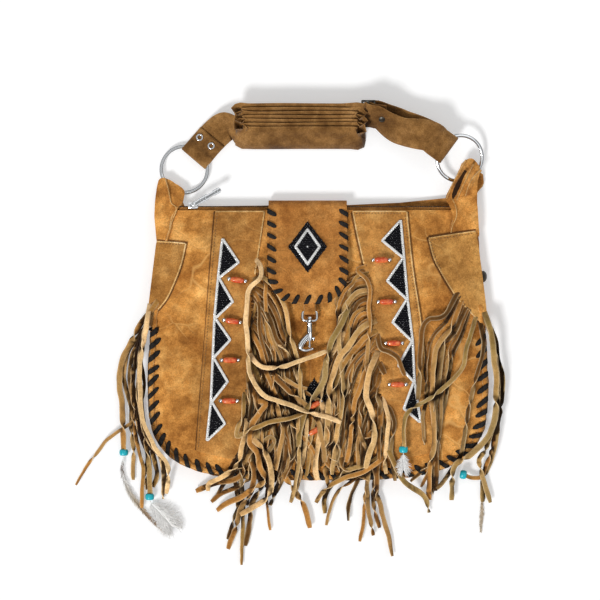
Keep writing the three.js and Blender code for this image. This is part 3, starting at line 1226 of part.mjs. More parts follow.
function ringTab(ring, towards, tail) {
  const { points, across } = ringLoop(ring, towards, TAB_WIDE, LEATHER);
  const flat = new THREE.Vector3(1, 0, 0);
  const sign = Math.sign(across.x) || 1;
  const lower = points.slice(0, 7);
  const upper = points.slice(6);
  const shapes = [ribbon(lower, lower.map(() => across), TAB_WIDE, LEATHER),
    ribbon(upper, upper.map(() => across), TAB_WIDE, LEATHER)];
  const start = points[0].clone().add(points[points.length - 1]).multiplyScalar(0.5);
  const back = points[1].clone().add(points[points.length - 2]).multiplyScalar(0.5);
  const way = start.clone().sub(back).normalize();
  const stations = [start.clone().addScaledVector(way, -1.2), start.clone().addScaledVector(way, 2), ...tail];
  const widths = stations.map((p, i) => across.clone().multiplyScalar(sign).lerp(flat, clamp((i - 1) / 2, 0, 1)));
  shapes.push(ribbon(stations, widths, TAB_WIDE, LEATHER * 2));
  return mainPiece(joined(shapes).subtract(ringShape(ring, WIRE_CLEAR)));
}

const v3 = (x, y, z) => new THREE.Vector3(x, y, z);

add('ring_left', ringShape(RING_LEFT), CHROME);
add('ring_right', ringShape(RING_RIGHT), CHROME);
const TAIL_LEFT = [v3(-159.5, 151, 6.4), v3(-155.8, 143, 6.8), v3(-155, 128, 6.8)];
const TAIL_RIGHT = [v3(162, 157, 6), v3(156.5, 144, 6.8), v3(155, 128, 6.8)];
add('ring_tab_left', ringTab(RING_LEFT, [-0.51, -0.86], TAIL_LEFT), SUEDE_BODY);
add('ring_tab_right', ringTab(RING_RIGHT, [0.6, -0.8], TAIL_RIGHT), SUEDE_BODY);

// The shoulder strap, folded in a stack between the rings

const LEAN = v3(0, Math.cos(STRAP_LEAN), Math.sin(STRAP_LEAN));
const FACE = v3(0, -Math.sin(STRAP_LEAN), Math.cos(STRAP_LEAN));
const SLIDER_AT = v3(55, FIRST_FOLD_Y + FOLD_PITCH * (FOLD_COUNT - 1) + 1, STACK_Z + SLIDER_RISE);

function strapSlider(extra = 0) {
  const rodAt = (t, reach) => {
    const a = SLIDER_AT.clone().add(v3(t, 0, 0)).addScaledVector(LEAN, -reach);
    const b = SLIDER_AT.clone().add(v3(t, 0, 0)).addScaledVector(LEAN, reach);
    return rod(a.toArray(), b.toArray(), SLIDER_BAR + extra, 8);
  };
  const half = STRAP_WIDE / 2 + 2;
  const rails = [-half, half].map((w) => {
    const a = SLIDER_AT.clone().add(v3(-SLIDER_PITCH, 0, 0)).addScaledVector(LEAN, w);
    const b = SLIDER_AT.clone().add(v3(SLIDER_PITCH, 0, 0)).addScaledVector(LEAN, w);
    return rod(a.toArray(), b.toArray(), SLIDER_BAR + extra, 8);
  });
  return joined([...[-SLIDER_PITCH, 0, SLIDER_PITCH].map((t) => rodAt(t, half)), ...rails]);
}

// A stretch of strap as its own closed ribbon, to be joined to the next one.
function strapRun(stations) {
  return ribbon(stations.map((s) => s[0]), stations.map((s) => s[1]), STRAP_WIDE, STRAP_THICK);
}

const FOLD_Y_OF = (k) => FIRST_FOLD_Y + k * FOLD_PITCH;

function strap() {
  const shapes = [];
  // The left end: a tail over the ring, the strap coming from under it
  const left = ringLoop(RING_LEFT, [0.65, 0.76], STRAP_WIDE, STRAP_THICK);
  const over = left.across.x < 0 ? left.across : left.across.clone().negate();
  const limb = (points) => points.map((p) => [p, over]);
  shapes.push(strapRun(limb(left.points.slice(0, 7))));
  const tailEnd = left.points[11].clone().addScaledVector(left.out, 15).add(v3(0, 0, 0.2));
  shapes.push(strapRun(limb([...left.points.slice(6), tailEnd])));
  const first = left.points[0].clone();
  const before = left.points[1].clone();
  const away = first.clone().sub(before).normalize();
  const leftRun = [
    [first.clone().addScaledVector(away, -1.5), over],
    [first.clone().addScaledVector(left.out, 6), over],
    [v3(-111, 229.5, 4.4), v3(-0.72, 0.69, 0.05)],
    [v3(-101, 236, 7.5), v3(-0.5, 0.8, 0.3)],
    [v3(-92, 233, 11), v3(-0.15, 0.85, 0.5)],
    [v3(-85, 226, 13.4), v3(0.05, 0.75, 0.66)],
    [v3(-77, FOLD_Y_OF(0), STACK_Z), LEAN],
    [v3(FOLD_X[1], FOLD_Y_OF(0), STACK_Z), LEAN],
  ];
  shapes.push(strapRun(leftRun));
  // The stack
  for (let k = 0; k < FOLD_COUNT; k++) {
    const y = FOLD_Y_OF(k);
    const rightWard = k % 2 === 0;
    const [from, to] = rightWard ? FOLD_X : [FOLD_X[1], FOLD_X[0]];
    if (k > 0) shapes.push(strapRun([[v3(from, y, STACK_Z), LEAN], [v3(to, y, STACK_Z), LEAN]]));
    if (k === FOLD_COUNT - 1) break;
    const turn = [];
    const side = rightWard ? 1 : -1;
    for (let i = -1; i <= 3; i++) {
      const angle = (Math.PI * clamp(i, 0, 2)) / 2;
      const lead = i < 0 || i > 2 ? -1.5 : 0;
      const x = to + side * (2 * Math.sin(angle) + lead);
      turn.push([v3(x, mix(y, y + FOLD_PITCH, (1 - Math.cos(angle)) / 2), STACK_Z), LEAN]);
    }
    shapes.push(strapRun(turn));
  }
  // Through the slider to the right ring and back to the slider's middle bar
  const right = ringLoop(RING_RIGHT, [-0.81, 0.59], STRAP_WIDE, STRAP_THICK);
  const rim = right.across.y > 0 ? right.across : right.across.clone().negate();
  const at = (t, n) => SLIDER_AT.clone().add(v3(t, 0, 0)).addScaledVector(FACE, n);
  const toward = (share) => LEAN.clone().lerp(rim, share).normalize();
  const lowEnd = right.points[0].clone();
  const highEnd = right.points[11].clone();
  shapes.push(strapRun([
    [v3(FOLD_X[1] - 2, FOLD_Y_OF(6), STACK_Z), LEAN],
    [at(-9.5, 0.6), LEAN], [at(-6.6, 2.2), LEAN], [at(0, -4.4), LEAN], [at(5.2, -2.6), LEAN],
    [at(12, -2.2), LEAN],
    [v3(92, 239, 13.4), toward(0.4)],
    [lowEnd.clone().addScaledVector(right.out, 12), toward(0.85)],
    [lowEnd, rim],
    ...right.points.slice(1, 7).map((p) => [p, rim]),
  ]));
  shapes.push(strapRun([
    ...right.points.slice(6, 11).map((p) => [p, rim]),
    [highEnd, rim],
    [highEnd.clone().addScaledVector(right.out, 12).add(v3(0, 0, 1.2)), toward(0.85)],
    [v3(90, 230, 20.5), toward(0.4)],
    [at(12, 6.6), LEAN], [at(6.6, 5.2), LEAN], [at(0, 2.2), LEAN], [at(-2.4, 0.2), LEAN],
  ]));
  const tail = [[-2.4, 0.9], [-2.2, -0.6], [0, -2.3], [SLIDER_PITCH, 2.6], [20, 4.9]];
  shapes.push(strapRun(tail.map(([t, n]) => [at(t, n), LEAN])));
  return joined(shapes);
}

function rivetShape(at, out, radius, length, extra = 0) {
  const a = at.clone().addScaledVector(out, -length / 2);
  const b = at.clone().addScaledVector(out, length / 2);
  const cap = a.clone().addScaledVector(out, -1);
  const top = b.clone().addScaledVector(out, 1.2);
  return joined([
    rod(a.toArray(), b.toArray(), 1.5 + extra, 10),
    rod(cap.toArray(), a.clone().addScaledVector(out, 0.01).toArray(), radius + extra, 12),
    rod(b.clone().addScaledVector(out, -0.01).toArray(), top.toArray(), radius + extra, 12),
  ]);
}

const RIVET_AT = SLIDER_AT.clone().add(v3(15.5, 0, 0)).addScaledVector(FACE, 5.9);
const EYELETS = [v3(-130.8, 223.6, 4.9), v3(-118, 214.2, 4.9)];

function eyeletShape(at, extra = 0) {
  const geometry = new THREE.LatheGeometry([
    [2.2 - extra, -3.2 - extra], [2.8 + extra, -3.2 - extra], [2.8 + extra, 1.5], [3.9 + extra, 1.5 - extra],
    [3.9 + extra, 2.3 + extra], [2.2 - extra, 2.3 + extra], [2.2 - extra, -3.2 - extra],
  ].map(([r, h]) => new THREE.Vector2(r, h)), 14);
  geometry.rotateX(Math.PI / 2);
  geometry.translate(...at.toArray());
  return solid(geometry);
}

{
  let whole = strap();
  whole = whole.subtract(ringShape(RING_LEFT, WIRE_CLEAR)).subtract(ringShape(RING_RIGHT, WIRE_CLEAR));
  whole = whole.subtract(strapSlider(0.3)).subtract(rivetShape(RIVET_AT, FACE, RIVET_RADIUS, RIVET_LENGTH, 0.2));
  for (const at of EYELETS) {
    whole = whole.subtract(rod([at.x, at.y, -2], [at.x, at.y, 12], 3, 14));
  }
  add('shoulder_strap', mainPiece(whole.simplify(0.15)), SUEDE_STRAP);
}
add('strap_slider', strapSlider(), DARK_METAL);
add('strap_rivet', rivetShape(RIVET_AT, FACE, RIVET_RADIUS, RIVET_LENGTH), DARK_METAL);
EYELETS.forEach((at, i) => add(`strap_eyelet_${i + 1}`, eyeletShape(at), CHROME));

export default bag;
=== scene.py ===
"""Looks of a fringed suede shoulder bag that lies on its back, seen from straight above.

Lengths in the classes are millimetres in the bag's own frame: +X right, +Y from the bottom of the
bag to its mouth, +Z up from the floor. A mesh is brought to metres as it is made.
"""

from __future__ import annotations

import logging
import math
import random
from abc import ABC, abstractmethod
from dataclasses import dataclass, field
from enum import Enum
from typing import Callable, Iterable, Sequence

import bpy
from bpy.types import Material, Node, NodeSocket, NodeTree, Object
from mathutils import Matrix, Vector, noise

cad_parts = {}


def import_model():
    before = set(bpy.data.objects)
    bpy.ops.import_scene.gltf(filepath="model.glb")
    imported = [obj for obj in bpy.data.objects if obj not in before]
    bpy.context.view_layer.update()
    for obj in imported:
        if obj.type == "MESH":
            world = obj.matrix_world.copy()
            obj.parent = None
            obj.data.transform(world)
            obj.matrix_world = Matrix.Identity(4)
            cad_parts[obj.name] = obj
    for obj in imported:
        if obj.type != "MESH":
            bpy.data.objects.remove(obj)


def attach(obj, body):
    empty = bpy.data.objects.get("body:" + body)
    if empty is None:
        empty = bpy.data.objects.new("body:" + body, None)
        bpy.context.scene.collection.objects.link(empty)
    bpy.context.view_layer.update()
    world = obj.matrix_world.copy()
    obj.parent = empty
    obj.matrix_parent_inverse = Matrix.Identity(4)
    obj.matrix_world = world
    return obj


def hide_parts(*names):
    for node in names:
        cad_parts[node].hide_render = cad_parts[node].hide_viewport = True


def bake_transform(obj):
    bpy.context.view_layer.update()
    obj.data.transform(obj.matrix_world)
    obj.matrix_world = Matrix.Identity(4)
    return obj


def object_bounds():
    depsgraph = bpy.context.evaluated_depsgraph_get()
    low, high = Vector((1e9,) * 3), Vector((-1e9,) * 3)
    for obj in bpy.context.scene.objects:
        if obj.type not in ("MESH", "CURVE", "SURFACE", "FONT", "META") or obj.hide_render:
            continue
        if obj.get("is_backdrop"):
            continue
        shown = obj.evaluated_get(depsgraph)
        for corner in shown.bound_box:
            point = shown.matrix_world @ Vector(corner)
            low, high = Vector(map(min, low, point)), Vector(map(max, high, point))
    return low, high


LOG = logging.getLogger("bag")
MM = 0.001
CUT_SHIFT = 0.037  # keeps the cuts of a sheet off the corners of its outline

Point = tuple[float, float]
Face = tuple[int, ...]
Height = Callable[[float, float], float]
Colour = tuple[float, float, float]
Tint = tuple[float, float, float, float]

RIGHT = Vector((1.0, 0.0, 0.0))
AHEAD = Vector((0.0, 1.0, 0.0))
UP = Vector((0.0, 0.0, 1.0))
WHITE = (1.0, 1.0, 1.0)
BLACK = (0.0, 0.0, 0.0)


def clamp(value: float, low: float, high: float) -> float:
    """Returns value, kept between low and high."""
    return min(high, max(low, value))


def smooth(share: float) -> float:
    """Returns share from 0 to 1 with an eased start and end."""
    t = clamp(share, 0.0, 1.0)
    return t * t * (3 - 2 * t)


def mix(a: float, b: float, share: float) -> float:
    """Returns the value that lies a share of the way from a to b."""
    return a + (b - a) * share


def ripple(x: float, y: float, size: float, seed: float = 0.0) -> float:
    """Returns smooth noise from about -1 to 1.

    Args:
        x: place along the first direction, in millimetres.
        y: place along the second direction.
        size: distance over which the noise changes.
        seed: picks one of many such fields.
    """
    return noise.noise(Vector((x / size, y / size, seed)))


@dataclass(frozen=True)
class BagShape:
    """The outline and the swell of the bag, as the solid model has them."""

    half_width: float = 189.0
    mouth_half_width: float = 175.0
    widest_y: float = -40.0
    mouth_y: float = 148.0
    front_mouth_y: float = 143.0
    bottom_depth: float = 116.0
    corner_power: float = 3.6
    seam_z: float = 14.0
    crown_z: float = 30.0
    crown_power: float = 2.6
    mouth_ease: float = 95.0
    seam_inset: float = 8.0
    shoulder_run: float = 26.0

    def half(self, y: float, inset: float = 0.0) -> float:
        """Returns half the bag's width at y, taken in by inset."""
        if y >= self.widest_y:
            share = (y - self.widest_y) / (self.mouth_y - self.widest_y)
            return mix(self.half_width, self.mouth_half_width, max(share, 0.0) ** 1.2) - inset
        depth = clamp((self.widest_y - y) / (self.bottom_depth - inset), 0.0, 1.0)
        return (self.half_width - inset) * (1 - depth**self.corner_power) ** (1 / self.corner_power)

    def rim(self, inset: float, top_y: float, sides: int = 24, corners: int = 96) -> list[Point]:
        """Returns the U-shaped outline from the left of the mouth round the bottom to the right."""
        left = []
        for i in range(sides):
            y = mix(top_y, self.widest_y, i / sides)
            left.append((-self.half(y, inset), y))
        bottom = []
        power = 2 / self.corner_power
        for i in range(corners + 1):
            angle = math.pi * (1 + i / corners)
            c, s = math.cos(angle), math.sin(angle)
            reach_x = (self.half_width - inset) * math.copysign(abs(c) ** power, c)
            bottom.append((reach_x, self.widest_y - (self.bottom_depth - inset) * abs(s) ** power))
        return left + bottom + [(-x, y) for x, y in reversed(left)]

    def outside(self, x: float, y: float) -> float:
        """Returns how far a point lies outside the outline, negative inside."""
        if y >= self.widest_y:
            return abs(x) - self.half(y)
        u = abs(x) / self.half_width
        v = (self.widest_y - y) / self.bottom_depth
        ring = (u**self.corner_power + v**self.corner_power) ** (1 / self.corner_power)
        return math.hypot(x, y - self.widest_y) * (1 - 1 / ring) if ring > 1e-6 else -self.bottom_depth

    def front(self, x: float, y: float) -> float:
        """Returns the height of the front panel with its soft unevenness."""
        u = abs(x) / self.half(max(y, self.widest_y), self.seam_inset)
        v = max(0.0, self.widest_y - y) / (self.bottom_depth - self.seam_inset)
        ring = clamp((u**self.corner_power + v**self.corner_power) ** (1 / self.corner_power), 0.0, 1.0)
        easing = mix(0.07, 1.0, smooth((self.mouth_y - y) / self.mouth_ease))
        swell = (self.crown_z - self.seam_z) * (1 - ring**self.crown_power) * easing
        wave = 0.9 * ripple(x, y, 46, 3.1) + 0.35 * ripple(x, y, 15, 8.7)
        return self.seam_z + swell + wave * (0.35 + 0.65 * (1 - ring))

    def raised(self, lift: float) -> Height:
        """Returns the surface that lies some height above the front panel."""
        return lambda x, y: self.front(x, y) + lift

    def drape(self, x: float, y: float) -> float:
        """Returns the height of what hangs over the edge of the bag down to the floor."""
        fall = smooth((self.outside(x, y) + 4) / (self.shoulder_run + 4))
        return self.front(x, y) * (1 - fall)


SHAPE = BagShape()


def left_of(way: Vector) -> Vector:
    """Returns the flat direction to the left of another one."""
    return Vector((-way.y, way.x, 0.0))


def crossing(way: Vector) -> Vector:
    """Returns a direction across another one, level unless that one is upright."""
    way = way.normalized()
    return way.cross(UP if abs(way.z) < 0.9 else RIGHT).normalized()


def ways(points: Sequence[Vector]) -> list[Vector]:
    """Returns the direction of a chain of points at each of them."""
    befores = [points[0], *points]
    afters = [*points[1:], points[-1]]
    return [(after - before).normalized() for before, after in zip(befores, afters)]


class Line:
    """A smooth line through a few points, read by the length along it."""

    def __init__(self, points: Iterable[Sequence[float]], step: float = 1.5) -> None:
        """Makes the line.

        Args:
            points: the points that it runs through, in two or three dimensions.
            step: the spacing of the points that are kept.
        """
        knots = [Vector((*p, 0.0)) if len(p) == 2 else Vector(p) for p in points]
        knots = [2 * knots[0] - knots[1], *knots, 2 * knots[-1] - knots[-2]]
        dense: list[Vector] = []
        for a, b, c, d in zip(knots, knots[1:], knots[2:], knots[3:]):
            count = max(2, int((c - b).length / step) + 1)
            for i in range(count):
                dense.append(self.between(a, b, c, d, i / count))
        dense.append(knots[-2])
        self.points = dense
        self.lengths = [0.0]
        for a, b in zip(dense, dense[1:]):
            self.lengths.append(self.lengths[-1] + (b - a).length)
        self.length = self.lengths[-1]

    @staticmethod
    def between(a: Vector, b: Vector, c: Vector, d: Vector, t: float) -> Vector:
        """Returns the point at share t from b to c on the smooth line through a, b, c and d."""
        tangent_b = (c - a) * 0.5
        tangent_c = (d - b) * 0.5
        t2, t3 = t * t, t * t * t
        return (
            (2 * t3 - 3 * t2 + 1) * b + (t3 - 2 * t2 + t) * tangent_b
            + (3 * t2 - 2 * t3) * c + (t3 - t2) * tangent_c
        )

    def at(self, length: float) -> Vector:
        """Returns the point at a length along the line."""
        length = clamp(length, 0.0, self.length)
        low, high = 0, len(self.lengths) - 1
        while high - low > 1:
            middle = (low + high) // 2
            if self.lengths[middle] <= length:
                low = middle
            else:
                high = middle
        span = self.lengths[high] - self.lengths[low]
        share = (length - self.lengths[low]) / span if span > 1e-9 else 0.0
        return self.points[low].lerp(self.points[high], share)

    def way(self, length: float, reach: float = 1.5) -> Vector:
        """Returns the direction of the line at a length along it."""
        return (self.at(length + reach) - self.at(length - reach)).normalized()

    def inward(self, length: float, inset: float) -> Vector:
        """Returns the point at a length along a flat line, moved to the left of its direction."""
        return self.at(length) + left_of(self.way(length)).normalized() * inset

    def marks(self, count: int) -> list[float]:
        """Returns count + 1 even lengths, from the start of the line to its end."""
        return [self.length * i / count for i in range(count + 1)]

    def samples(self, count: int) -> list[Vector]:
        """Returns the points at count + 1 even lengths."""
        return [self.at(s) for s in self.marks(count)]


class Shell:
    """Vertices and faces of one piece while it is being made."""

    def __init__(self) -> None:
        """Starts with nothing."""
        self.points: list[tuple[float, float, float]] = []
        self.faces: list[Face] = []
        self.marks: list[int] = []
        self.tints: list[Tint] = []

    def add(self, point: Sequence[float], tint: Tint | None = None) -> int:
        """Adds a vertex, with a tint if the piece has tints, and returns its number."""
        self.points.append((point[0] * MM, point[1] * MM, point[2] * MM))
        if tint is not None:
            self.tints.append(tint)
        return len(self.points) - 1

    def settle(self, level: float = 2.0) -> None:
        """Presses what hangs below a level, in millimetres, together so that it stays above the floor."""
        low = level * MM
        self.points = [(x, y, z if z > low else low * math.exp(z / low - 1)) for x, y, z in self.points]

    def face(self, ring: Iterable[int], mark: int = 0) -> None:
        """Adds a face from its vertices, with the number of its finish."""
        self.faces.append(tuple(ring))
        self.marks.append(mark)

    def bridge(self, near: Sequence[int], far: Sequence[int], marks: Sequence[int] = ()) -> None:
        """Joins two rings of vertices with quads.

        Args:
            near: the first ring.
            far: the second one, with as many vertices.
            marks: the number of the finish of each quad, 0 if none is given.
        """
        count = len(near)
        for i in range(count):
            j = (i + 1) % count
            self.face((near[i], near[j], far[j], far[i]), marks[i] if marks else 0)

    def sweep(self, rings: Sequence[Sequence[int]], marks: Sequence[int] = ()) -> None:
        """Joins rings of vertices in turn and closes both ends."""
        for near, far in zip(rings, rings[1:]):
            self.bridge(near, far, marks)
        for end in (rings[0], rings[-1]):
            self.face(end, marks[0] if marks else 0)

    def circle(self, centre: Vector, side: Vector, up: Vector, radius: float, sides: int) -> list[int]:
        """Adds a ring of vertices round a centre, in the plane of two directions."""
        ring = []
        for k in range(sides):
            angle = 2 * math.pi * k / sides
            ring.append(self.add(centre + (side * math.cos(angle) + up * math.sin(angle)) * radius))
        return ring

    def rod(
        self, points: Sequence[Vector], radius: float | Callable[[float], float], sides: int = 10
    ) -> None:
        """Adds a round bar along some points.

        Args:
            points: the points of its middle line.
            radius: its radius, or one read at the share of its length from 0 to 1.
            sides: sides of its section.
        """
        rings = []
        side = crossing(points[1] - points[0])
        for i, (point, way) in enumerate(zip(points, ways(points))):
            side = (side - way * side.dot(way)).normalized()
            size = radius(i / (len(points) - 1)) if callable(radius) else radius
            rings.append(self.circle(point, side, way.cross(side), size, sides))
        self.sweep(rings)

    def turned(
        self, centre: Vector, axis: Vector, profile: Sequence[Point], sides: int = 16, mark: int = 0
    ) -> None:
        """Adds a solid of revolution.

        Args:
            centre: the middle of the profile's axis.
            axis: the direction of that axis.
            profile: pairs of radius and length along the axis, from one end to the other.
            sides: sides of its section.
            mark: the number of its finish.
        """
        axis = axis.normalized()
        side = crossing(axis)
        up = axis.cross(side)
        rings = [self.circle(centre + axis * along, side, up, max(r, 0.02), sides) for r, along in profile]
        self.sweep(rings, [mark] * sides)

    def ring(
        self, centre: Vector, side: Vector, up: Vector, axis: Vector, profile: Sequence[Point], sides: int
    ) -> None:
        """Adds a ring round an open hole.

        Args:
            centre: its middle.
            side: a direction across its axis, where the first segment starts.
            up: the direction across both.
            axis: the direction of its hole.
            profile: pairs of radius and length along the axis, once round its section.
            sides: segments round the hole.
        """
        rings = []
        for k in range(sides):
            angle = 2 * math.pi * k / sides
            way = side * math.cos(angle) + up * math.sin(angle)
            rings.append([self.add(centre + axis * h + way * r) for r, h in profile])
        for near, far in zip(rings, [*rings[1:], rings[0]]):
            self.bridge(near, far)

    def bead(self, centre: Vector, size: Sequence[float], heading: float = 0.0) -> None:
        """Adds a small rounded bead of a few faces, with half its size along each direction."""
        c, s = math.cos(heading), math.sin(heading)
        rings = []
        for level in (-0.72, 0.0, 0.72):
            reach = math.sqrt(1 - level * level)
            ring = []
            for k in range(8):
                angle = math.pi * (k + 0.5) / 4
                x = size[0] * reach * math.cos(angle)
                y = size[1] * reach * math.sin(angle)
                ring.append(self.add(centre + Vector((x * c - y * s, x * s + y * c, size[2] * level * 1.2))))
            rings.append(ring)
        self.sweep(rings)

    def piece(
        self, name: str, finishes: Sequence[Look | Finish], slot: str, *nodes: str,
        body: str = "bag", crisp: float = 0.0,
    ) -> None:
        """Makes the mesh object.

        Args:
            name: the piece's name.
            finishes: its finishes, in the order of their numbers.
            slot: not used.
            nodes: the nodes of the solid model that it stands for.
            body: the moving body that it rides on.
            crisp: from how many degrees on its edges stay crisp, 0 for none.
        """
        made = mesh_object(name, self.points, self.faces, finishes)
        if self.tints:
            layer = made.data.color_attributes.new("strand", "FLOAT_COLOR", "POINT")
            layer.data.foreach_set("color", [v for tint in self.tints for v in tint])
        made.data.polygons.foreach_set("material_index", self.marks)
        made.data.validate()
        turn_out(made)
        smooth_faces(made)
        if crisp:
            bpy.ops.object.shade_smooth_by_angle(angle=math.radians(crisp))
        stand_in(made, nodes, body)


def mesh_object(
    name: str, points: Sequence[Sequence[float]], faces: Sequence[Face], finishes: Sequence[Look | Finish]
) -> Object:
    """Returns a new mesh object with its materials, linked to the scene."""
    mesh = bpy.data.meshes.new(name)
    mesh.from_pydata(points, [], faces)
    for finish in finishes:
        mesh.materials.append(finish.get())
    made = bpy.data.objects.new(name, mesh)
    bpy.context.collection.objects.link(made)
    return made


def only(made: Object) -> None:
    """Selects one object and makes it the active one."""
    bpy.ops.object.select_all(action="DESELECT")
    made.select_set(True)
    bpy.context.view_layer.objects.active = made


def turn_out(made: Object) -> None:
    """Merges doubled vertices and turns every face of a closed piece outwards."""
    only(made)
    bpy.ops.object.mode_set(mode="EDIT")
    bpy.ops.mesh.select_all(action="SELECT")
    bpy.ops.mesh.remove_doubles(threshold=0.00001)
    bpy.ops.mesh.normals_make_consistent(inside=False)
    bpy.ops.object.mode_set(mode="OBJECT")


def smooth_faces(made: Object) -> None:
    """Shades every face of a piece smoothly."""
    for polygon in made.data.polygons:
        polygon.use_smooth = True


def stand_in(made: Object, nodes: Sequence[str], body: str) -> None:
    """Hangs a piece on the body that it rides on and hides the nodes of the solid model that it stands for.
    """
    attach(made, body)
    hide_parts(*nodes)


def leather_sheet(
    name: str,
    outline: Sequence[Point],
    surface: Height,
    finishes: Sequence[Finish],
    slot: str = "",
    *nodes: str,
    body: str = "bag",
    thick: float = 1.5,
    step: float = 4.0,
    edge: float = 0.55,
    bend: Callable[[float, float], Sequence[float]] | None = None,
) -> Object:
    """Cuts a sheet of leather to an outline and lays it on a surface.

    Args:
        name: the piece's name.
        outline: the flat outline, in order.
        surface: height of the sheet's underside.
        finishes: the face's finish, then that of the cut edge.
        slot: not used.
        nodes: the nodes that it stands for. With none, the caller says it.
        body: the moving body that it rides on.
        thick: thickness of the leather.
        step: spacing of the cuts that let the sheet bend.
        edge: how much of the face's rim is rounded off.
        bend: where a point of the flat sheet ends up, used in place of the surface.

    Returns:
        The new object.
    """
    flat = [(x * MM, y * MM, 0.0) for x, y in outline]
    made = mesh_object(name, flat, [tuple(range(len(flat)))], finishes)
    mesh = made.data
    only(made)
    bpy.ops.object.mode_set(mode="EDIT")
    for axis, normal in enumerate(((1.0, 0.0, 0.0), (0.0, 1.0, 0.0))):
        low = min(p[axis] for p in outline)
        high = max(p[axis] for p in outline)
        place = math.ceil(low / step) * step + CUT_SHIFT
        while place < high:
            bpy.ops.mesh.select_all(action="SELECT")
            spot = [c * place * MM for c in normal]
            bpy.ops.mesh.bisect(plane_co=spot, plane_no=normal, threshold=0.000001)
            place += step
    bpy.ops.object.mode_set(mode="OBJECT")
    for vertex in mesh.vertices:
        x, y = vertex.co.x / MM, vertex.co.y / MM
        spot = bend(x, y) if bend else (x, y, surface(x, y))
        vertex.co = [v * MM for v in spot]
    if mesh.polygons and sum(p.normal.z for p in mesh.polygons) < 0:
        mesh.flip_normals()
    wall = made.modifiers.new("wall", "SOLIDIFY")
    wall.thickness = thick * MM
    wall.offset = 1.0
    wall.material_offset_rim = 1
    rounding = made.modifiers.new("edge", "BEVEL")
    rounding.width = edge * MM
    rounding.segments = 2
    rounding.limit_method = "ANGLE"
    rounding.angle_limit = math.radians(60)
    rounding.material = 1
    only(made)
    for modifier in list(made.modifiers):
        bpy.ops.object.modifier_apply(modifier=modifier.name)
    smooth_faces(made)
    if nodes:
        stand_in(made, nodes, body)
    return made


def rounded(corners: Sequence[Point], radius: float, steps: int = 4) -> list[Point]:
    """Returns an outline with each of its corners rounded off.

    Args:
        corners: the outline's points.
        radius: how far from each corner the rounding starts.
        steps: segments of each rounding.
    """
    made: list[Point] = []
    count = len(corners)
    for i in range(count):
        here = Vector(corners[i])
        before = Vector(corners[i - 1]) - here
        after = Vector(corners[(i + 1) % count]) - here
        start = here + before.normalized() * min(radius, before.length * 0.45)
        end = here + after.normalized() * min(radius, after.length * 0.45)
        for k in range(steps + 1):
            t = k / steps
            p = start * (1 - t) ** 2 + here * 2 * t * (1 - t) + end * t * t
            made.append((p.x, p.y))
    return made


class Tree:
    """A short way to lay out nodes."""

    def __init__(self, tree: NodeTree) -> None:
        """Takes the tree that the nodes go into."""
        self.tree = tree

    def node(self, kind: str, **settings: object) -> Node:
        """Adds a node and sets its properties or, by their names, its inputs."""
        made = self.tree.nodes.new(kind)
        for key, value in settings.items():
            title = key.replace("_", " ").title()
            if title in made.inputs:
                made.inputs[title].default_value = value
            else:
                setattr(made, key, value)
        return made

    def link(self, source: NodeSocket, target: NodeSocket) -> None:
        """Joins two sockets."""
        self.tree.links.new(source, target)

    def fill(self, target: NodeSocket, value: object) -> None:
        """Gives an input a socket to read, a colour or a number."""
        if isinstance(value, NodeSocket):
            self.link(value, target)
        else:
            target.default_value = (*value, 1.0) if isinstance(value, tuple) else value

    def ramp(self, source: NodeSocket, *stops: tuple[float, Colour]) -> NodeSocket:
        """Returns a colour read off a ramp at a value."""
        made = self.node("ShaderNodeValToRGB")
        elements = made.color_ramp.elements
        while len(elements) < len(stops):
            elements.new(0.5)
        for element, (place, colour) in zip(elements, stops):
            element.position = place
            element.color = (*colour, 1.0)
        self.link(source, made.inputs["Fac"])
        return made.outputs["Color"]

    def sum(self, a: NodeSocket, b: NodeSocket | float, way: str = "ADD") -> NodeSocket:
        """Returns two values put together by a rule of arithmetic."""
        made = self.node("ShaderNodeMath", operation=way)
        for target, value in zip(made.inputs, (a, b)):
            self.fill(target, value)
        return made.outputs[0]


